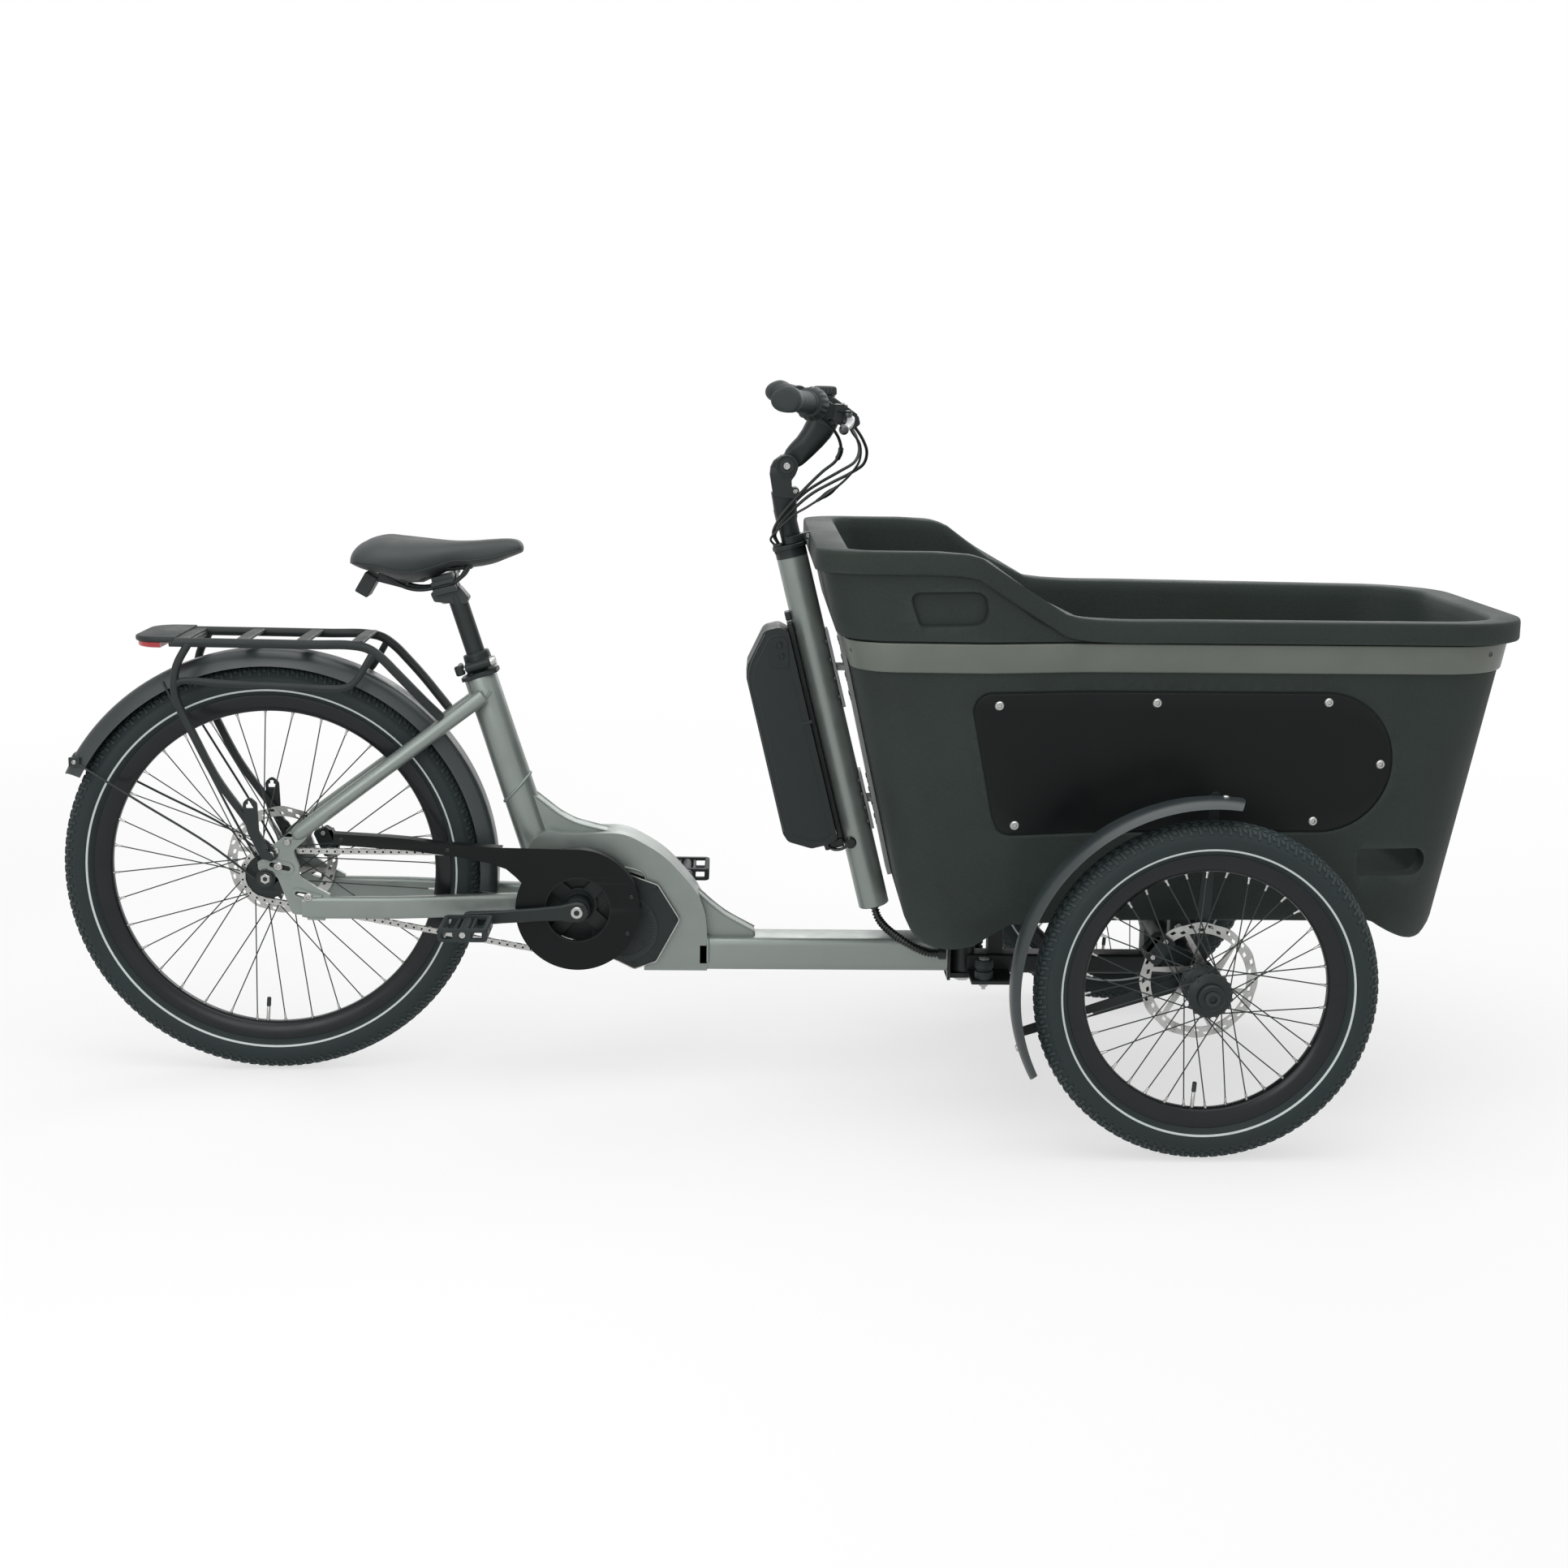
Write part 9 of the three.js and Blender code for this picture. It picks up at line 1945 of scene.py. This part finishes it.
def brake_lever(side, label):
    pivot = lever_pivot(side)
    tip = pivot + Vector((-11, side * 112, -14))
    route = smooth_route([pivot + Vector((1, -side * 3, 0)), pivot + Vector((3, side * 18, -2)),
                          pivot + Vector((0, side * 52, -8)),
                          pivot + Vector((-6, side * 86, -12)), tip], 6)
    count = len(route) - 1
    blade = sweep(route, [rectangle(9 - 2.6 * k / count, 15 - 6 * k / count, 3.4 - 0.6 * k / count,
                                    5) for k in range(count + 1)],
                  Z)
    piece("brake_lever_blade_" + label, blade, label + "_brake_lever", "lever", ["brake_lever_" + label])
    ends = lathe([(0.01, -7.5)] + [(7.5 * math.cos(math.radians(a)),
                                    7.5 * math.sin(math.radians(a))) for a in range(-80, 81, 10)]
                 + [(0.01, 7.5)], tip, Y, 32)
    ends.add(disc(7, -7.9, 7.9, pivot, (0, 0, 1), 1, 32))
    piece("brake_lever_ends_" + label, ends, label + "_brake_lever", "lever")


def bell():
    spot, heading = on_bar(-1, BAR_HALF * 0.27)
    base = spot + Vector((0, 0, 16))
    clamp = lathe([(11.6, -5.5), (14.4, -5.5), (15, -4.8), (15, 4.8), (14.4, 5.5), (11.6, 5.5)], spot,
                  heading, 36, ring=True)
    foot = lathe([(5.5, -5), (5.5, 2), (16.4, 4.2), (16.4, 6.2), (5, 6.2)], base, (0, 0, 1), 40)
    piece("bell_clamp", clamp.add(foot), "bar", "black", ["bell"], sharp=35)
    rows = []
    for height, radius, wave in ((6.6, 14, 0), (6.6, 17, 0), (7.4, 17.8, 0.3), (9, 18, 0.9),
                                 (17, 17.6, 0.9),
                                 (19, 16.6, 0.6), (20.2, 14.4, 0.2), (20.6, 11, 0), (20.8, 0.5, 0)):
        row = []
        for k in range(120):
            a = TAU * k / 120
            reach = radius + wave * math.cos(20 * a)
            row.append(base + Vector((reach * math.cos(a), reach * math.sin(a), height)))
        rows.append(row)
    piece("bell_dome", skin(rows), "bar", "black", sharp=50)
    root = spot + Vector((-9.3, 0, 18))
    route = [root + Vector((x, 0, z)) for x,
             z in ((4, -0.6), (-1, -0.4), (-9, 0.2), (-17, 1), (-23.5, 2.4))]
    blade = sweep(route, [rectangle(w, h, h * 0.45, 4) for w,
                          h in ((9, 2.6), (8, 2.8), (7, 2.6), (8.6, 2.4), (5, 1.6))])
    blade.add(disc(3.6, -2.4, 1.9, root, (0, 0, 1), 0.5, 24))
    piece("bell_lever_blade", blade, "bell_thumb", "black", ["bell_lever"], bevel=0.3)


# Hose and cables

def cord_piece(name, shape, path, finish, nodes=()):
    """A cord piece on no body, with its mesh baked in place."""
    obj = piece(name, shape, None, finish, nodes)
    path = [to_frame(p) for p in path]
    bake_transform(obj)
    return obj


def cable_conduit():
    points = [TUBE_FOOT + TUBE_UP * 11.7, TUBE_FOOT - TUBE_UP * 6.7, (980, -5, 260), (990, -16, 248),
              (1005, -30, 238),
              (1023, -41, 228), (1043, -45, 218), (1064.5, -43.4, 210), (1090.5, -43.4, 210)]
    route = smooth_route(points, 24)
    length = route_length(route)
    ribs = int(length / 5)
    centres, radii = [], []
    for i in range(ribs):
        for share, radius in ((0.0, 5.1), (0.16, 5.2), (0.3, 6.8), (0.5, 7), (0.7, 6.8), (0.84, 5.2)):
            centres.append(point_along(route, length * (i + share) / ribs))
            radii.append(radius)
    centres.append(route[-1])
    radii.append(5.7)
    cord_piece("conduit_hose", tube(centres, radii, 24), route, "cable",
               ["cable_conduit"])


CABLE_ROUTES = {
    "brake_hose_right": [(900, -115, 1085), (909, -104, 1077), (921, -92, 1062), (934, -80, 1043),
                         (941, -70, 1024),
                         (937, -60, 1005), (918, -50, 990), (889, -42, 974), (860, -36, 957),
                         (836, -32, 937),
                         (818, -26, 917), (806, -17, 900), (801, -8, 886)],
    "brake_hose_left": [(900, 115, 1085), (909, 104, 1077), (921, 92, 1061), (932, 80, 1042),
                        (937, 68, 1022),
                        (930, 56, 1003), (905, 46, 987), (875, 38, 970), (848, 32, 952), (828, 28, 932),
                        (813, 24, 912), (803, 17, 898), (800, 11, 886)],
    "gear_cable": [(862, -178, 1082), (878, -160, 1068), (893, -140, 1048), (898, -120, 1028),
                   (891, -98, 1010),
                   (872, -74, 992), (848, -52, 966), (824, -38, 938), (807, -28, 914), (798, -17, 890)],
    "display_lead": [(907, -112, 1072), (916, -100, 1055), (929, -90, 1036), (929, -80, 1010),
                     (912, -68, 984),
                     (892, -58, 965), (850, -48, 935), (834, -44, 925), (815, -36, 908), (801, -26, 892),
                     (794, -14, 880)],
}


def control_cables():
    mouth = TUBE_TOP + TUBE_BACK * 16.1 + TUBE_UP * 4
    ends = {"brake_hose_right": (0, 0), "brake_hose_left": (6.5, 0), "gear_cable": (-6.5, 0),
            "display_lead": (-3.3, 6)}
    routes = {}
    for name, points in CABLE_ROUTES.items():
        y, back = ends[name]
        routes[name] = smooth_route(points + [mouth + Y * y + TUBE_BACK * back], 8)
        radius = 1.9 if "lead" in name else 2.5
        nodes = ["control_cables"] if name == "brake_hose_right" else []
        cord_piece(name, tube(routes[name], radius, 16), routes[name], "cable",
                   nodes)
    boot = box((15, 24, 17), TUBE_TOP + TUBE_BACK * 18.6 - TUBE_UP * 1, (TUBE_BACK, Y, TUBE_UP))
    piece("cable_boot", boot, "bar_post", "cable", bevel=2.5)

    def sleeve(name, cable, start, length, radii):
        route = routes[cable]
        whole = route_length(route)
        last = len(radii) - 1
        points = [point_along(route, whole * start + length * k / last) for k in range(last + 1)]
        cover = piece(name, tube(points, radii, 20), None, "cable")
        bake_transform(cover)

    sleeve("display_lead_joint", "display_lead", 0.44, 44,
           [2, 2.6, 2.8, 3.6, 4.2, 4.4, 4.4, 4.2, 3.8, 3, 2.8, 2.6, 2])
    sleeve("gear_cable_sleeve", "gear_cable", 0.26, 30,
           [2.6, 4.2, 4.2, 3.5, 4.3, 3.5, 4.3, 3.5, 4.3, 3.5, 4.3, 4.3, 3.6, 2.8])
    sleeve("brake_hose_cuff", "brake_hose_right", 0.07, 17, [2.6, 4.4, 4.6, 3.8, 4.6, 3.8, 4.6, 4.4, 2.8])
    sockets = Shape()
    for side in (-1, 1):
        sockets.add(tube([Vector((896, side * 130, 1089)), Vector((898, side * 119, 1087)),
                          Vector((902, side * 112, 1083.5))],
                         [5.2, 5, 3.3], 20))
    piece("brake_hose_sockets", sockets, "bar", "cable")


# Camera, light and floor

def camera_axes(yaw, pitch, roll):
    """The camera's right, down and forward directions."""
    ahead = Vector((math.sin(yaw) * math.cos(pitch), math.cos(yaw) * math.cos(pitch), -math.sin(pitch)))
    right = Vector((math.cos(yaw), -math.sin(yaw), 0))
    down = ahead.cross(right)
    return (right * math.cos(roll) + down * math.sin(roll), down * math.cos(roll) - right * math.sin(roll),
            ahead)


def add_camera():
    data = bpy.data.cameras.new("camera")
    data.lens, data.sensor_width = 50.82, 36
    data.shift_x, data.shift_y = -0.0443, -0.0282
    camera = bpy.data.objects.new("camera", data)
    right, down, ahead = camera_axes(0.0560, 0.1740, -0.0214)
    place = Matrix((right, -down, -ahead)).transposed().to_4x4()
    place.translation = to_frame((735.2, -3541.7, 1179.1))
    camera.matrix_world = place
    bpy.context.scene.collection.objects.link(camera)
    bpy.context.scene.camera = camera


def camera_white(material):
    """White where the camera or a mirror sees it, and a plain pale colour for the light."""
    nodes, links = material.node_tree.nodes, material.node_tree.links
    nodes.clear()
    output = nodes.new("ShaderNodeOutputWorld" if isinstance(material,
                                                             bpy.types.World) else "ShaderNodeOutputMaterial")
    path = nodes.new("ShaderNodeLightPath")
    seen = path.outputs["Is Camera Ray"]
    for ray in ("Is Glossy Ray", "Is Transmission Ray"):
        add = nodes.new("ShaderNodeMath")
        add.operation = "MAXIMUM"
        links.new(seen, add.inputs[0])
        links.new(path.outputs[ray], add.inputs[1])
        seen = add.outputs[0]
    return nodes, links, output, seen


def add_world(strength):
    world = bpy.data.worlds.new("studio")
    world.use_nodes = True
    bpy.context.scene.world = world
    nodes, links, output, seen = camera_white(world)
    soft, white = nodes.new("ShaderNodeBackground"), nodes.new("ShaderNodeBackground")
    mix = nodes.new("ShaderNodeMixShader")
    soft.inputs["Color"].default_value = (1, 1, 1, 1)
    soft.inputs["Strength"].default_value = strength
    white.inputs["Color"].default_value = (1, 1, 1, 1)
    white.inputs["Strength"].default_value = 1.0
    links.new(seen, mix.inputs[0])
    links.new(soft.outputs[0], mix.inputs[1])
    links.new(white.outputs[0], mix.inputs[2])
    links.new(mix.outputs[0], output.inputs[0])


def add_floor():
    mesh = bpy.data.meshes.new("floor")
    size, z = 12, -0.0005
    mesh.from_pydata([(-size, -size, z), (size, -size, z), (size, size, z), (-size, size, z)], [],
                     [(0, 1, 2, 3)])
    floor = bpy.data.objects.new("floor", mesh)
    bpy.context.scene.collection.objects.link(floor)
    material = bpy.data.materials.new("pale_floor")
    material.use_nodes = True
    nodes, links, output, seen = camera_white(material)
    diffuse, glow = nodes.new("ShaderNodeBsdfDiffuse"), nodes.new("ShaderNodeEmission")
    mix = nodes.new("ShaderNodeMixShader")
    diffuse.inputs["Color"].default_value = (0.9, 0.9, 0.9, 1)
    glow.inputs["Strength"].default_value = 1.0
    place, reach = nodes.new("ShaderNodeNewGeometry"), nodes.new("ShaderNodeVectorMath")
    reach.operation = "LENGTH"
    links.new(place.outputs["Position"], reach.inputs[0])
    fade = nodes.new("ShaderNodeMapRange")
    fade.interpolation_type = "SMOOTHSTEP"
    for name, value in (("From Min", 1.0), ("From Max", 4.0), ("To Min", 0.62), ("To Max", 1.0)):
        fade.inputs[name].default_value = value
    links.new(reach.outputs["Value"], fade.inputs["Value"])
    share = nodes.new("ShaderNodeMath")
    share.operation = "MULTIPLY"
    links.new(fade.outputs["Result"], share.inputs[1])
    links.new(seen, share.inputs[0])
    links.new(share.outputs[0], mix.inputs[0])
    links.new(diffuse.outputs[0], mix.inputs[1])
    links.new(glow.outputs[0], mix.inputs[2])
    links.new(mix.outputs[0], output.inputs[0])
    mesh.materials.append(material)


def add_lamp(name, place, target, size, power):
    data = bpy.data.lights.new(name, "AREA")
    data.shape = "RECTANGLE"
    data.size, data.size_y = size
    data.energy = power
    lamp = bpy.data.objects.new(name, data)
    lamp.location = place
    lamp.rotation_euler = (Vector(target) - Vector(place)).to_track_quat("-Z", "Y").to_euler()
    bpy.context.scene.collection.objects.link(lamp)


bpy.context.scene.view_settings.view_transform = "Standard"
add_camera()
add_world(0.55)
add_floor()
add_lamp("top_light", (0.2, -0.6, 3.2), (0, 0, 0.3), (4.0, 2.6), 62)
add_lamp("side_light", (-1.6, -3.6, 1.9), (0, 0, 0.5), (2.6, 1.8), 38)
add_lamp("back_light", (1.0, 3.4, 2.2), (0, 0, 0.6), (3.0, 1.6), 40)

main_frame()
for side, label in SIDES:
    rear_triangle(side, label)
rear_axle()
motor()
chain()
sprocket_and_chainring()
for side, label in SIDES:
    crank(side, label)
for side, label in SIDES:
    pedal(side, label)
chain_guard()
rear_wheel()
front_wheel(-1)
front_wheel(1)
seat_clamp()
seat_post()
saddle()
saddle_rails()
rear_rack()
rear_fender()
front_fender(-1)
front_fender(1)
calipers()
pivot_yoke()
chassis()
cargo_box()
box_band()
panels()
steering_tube()
battery()
tube_collar()
handlebar_post()
stem()
handlebar()
gear_shifter()
bell()
cable_conduit()
control_cables()
for side, label in SIDES:
    grip(side, label)
    brake_master(side, label)
    brake_lever(side, label)
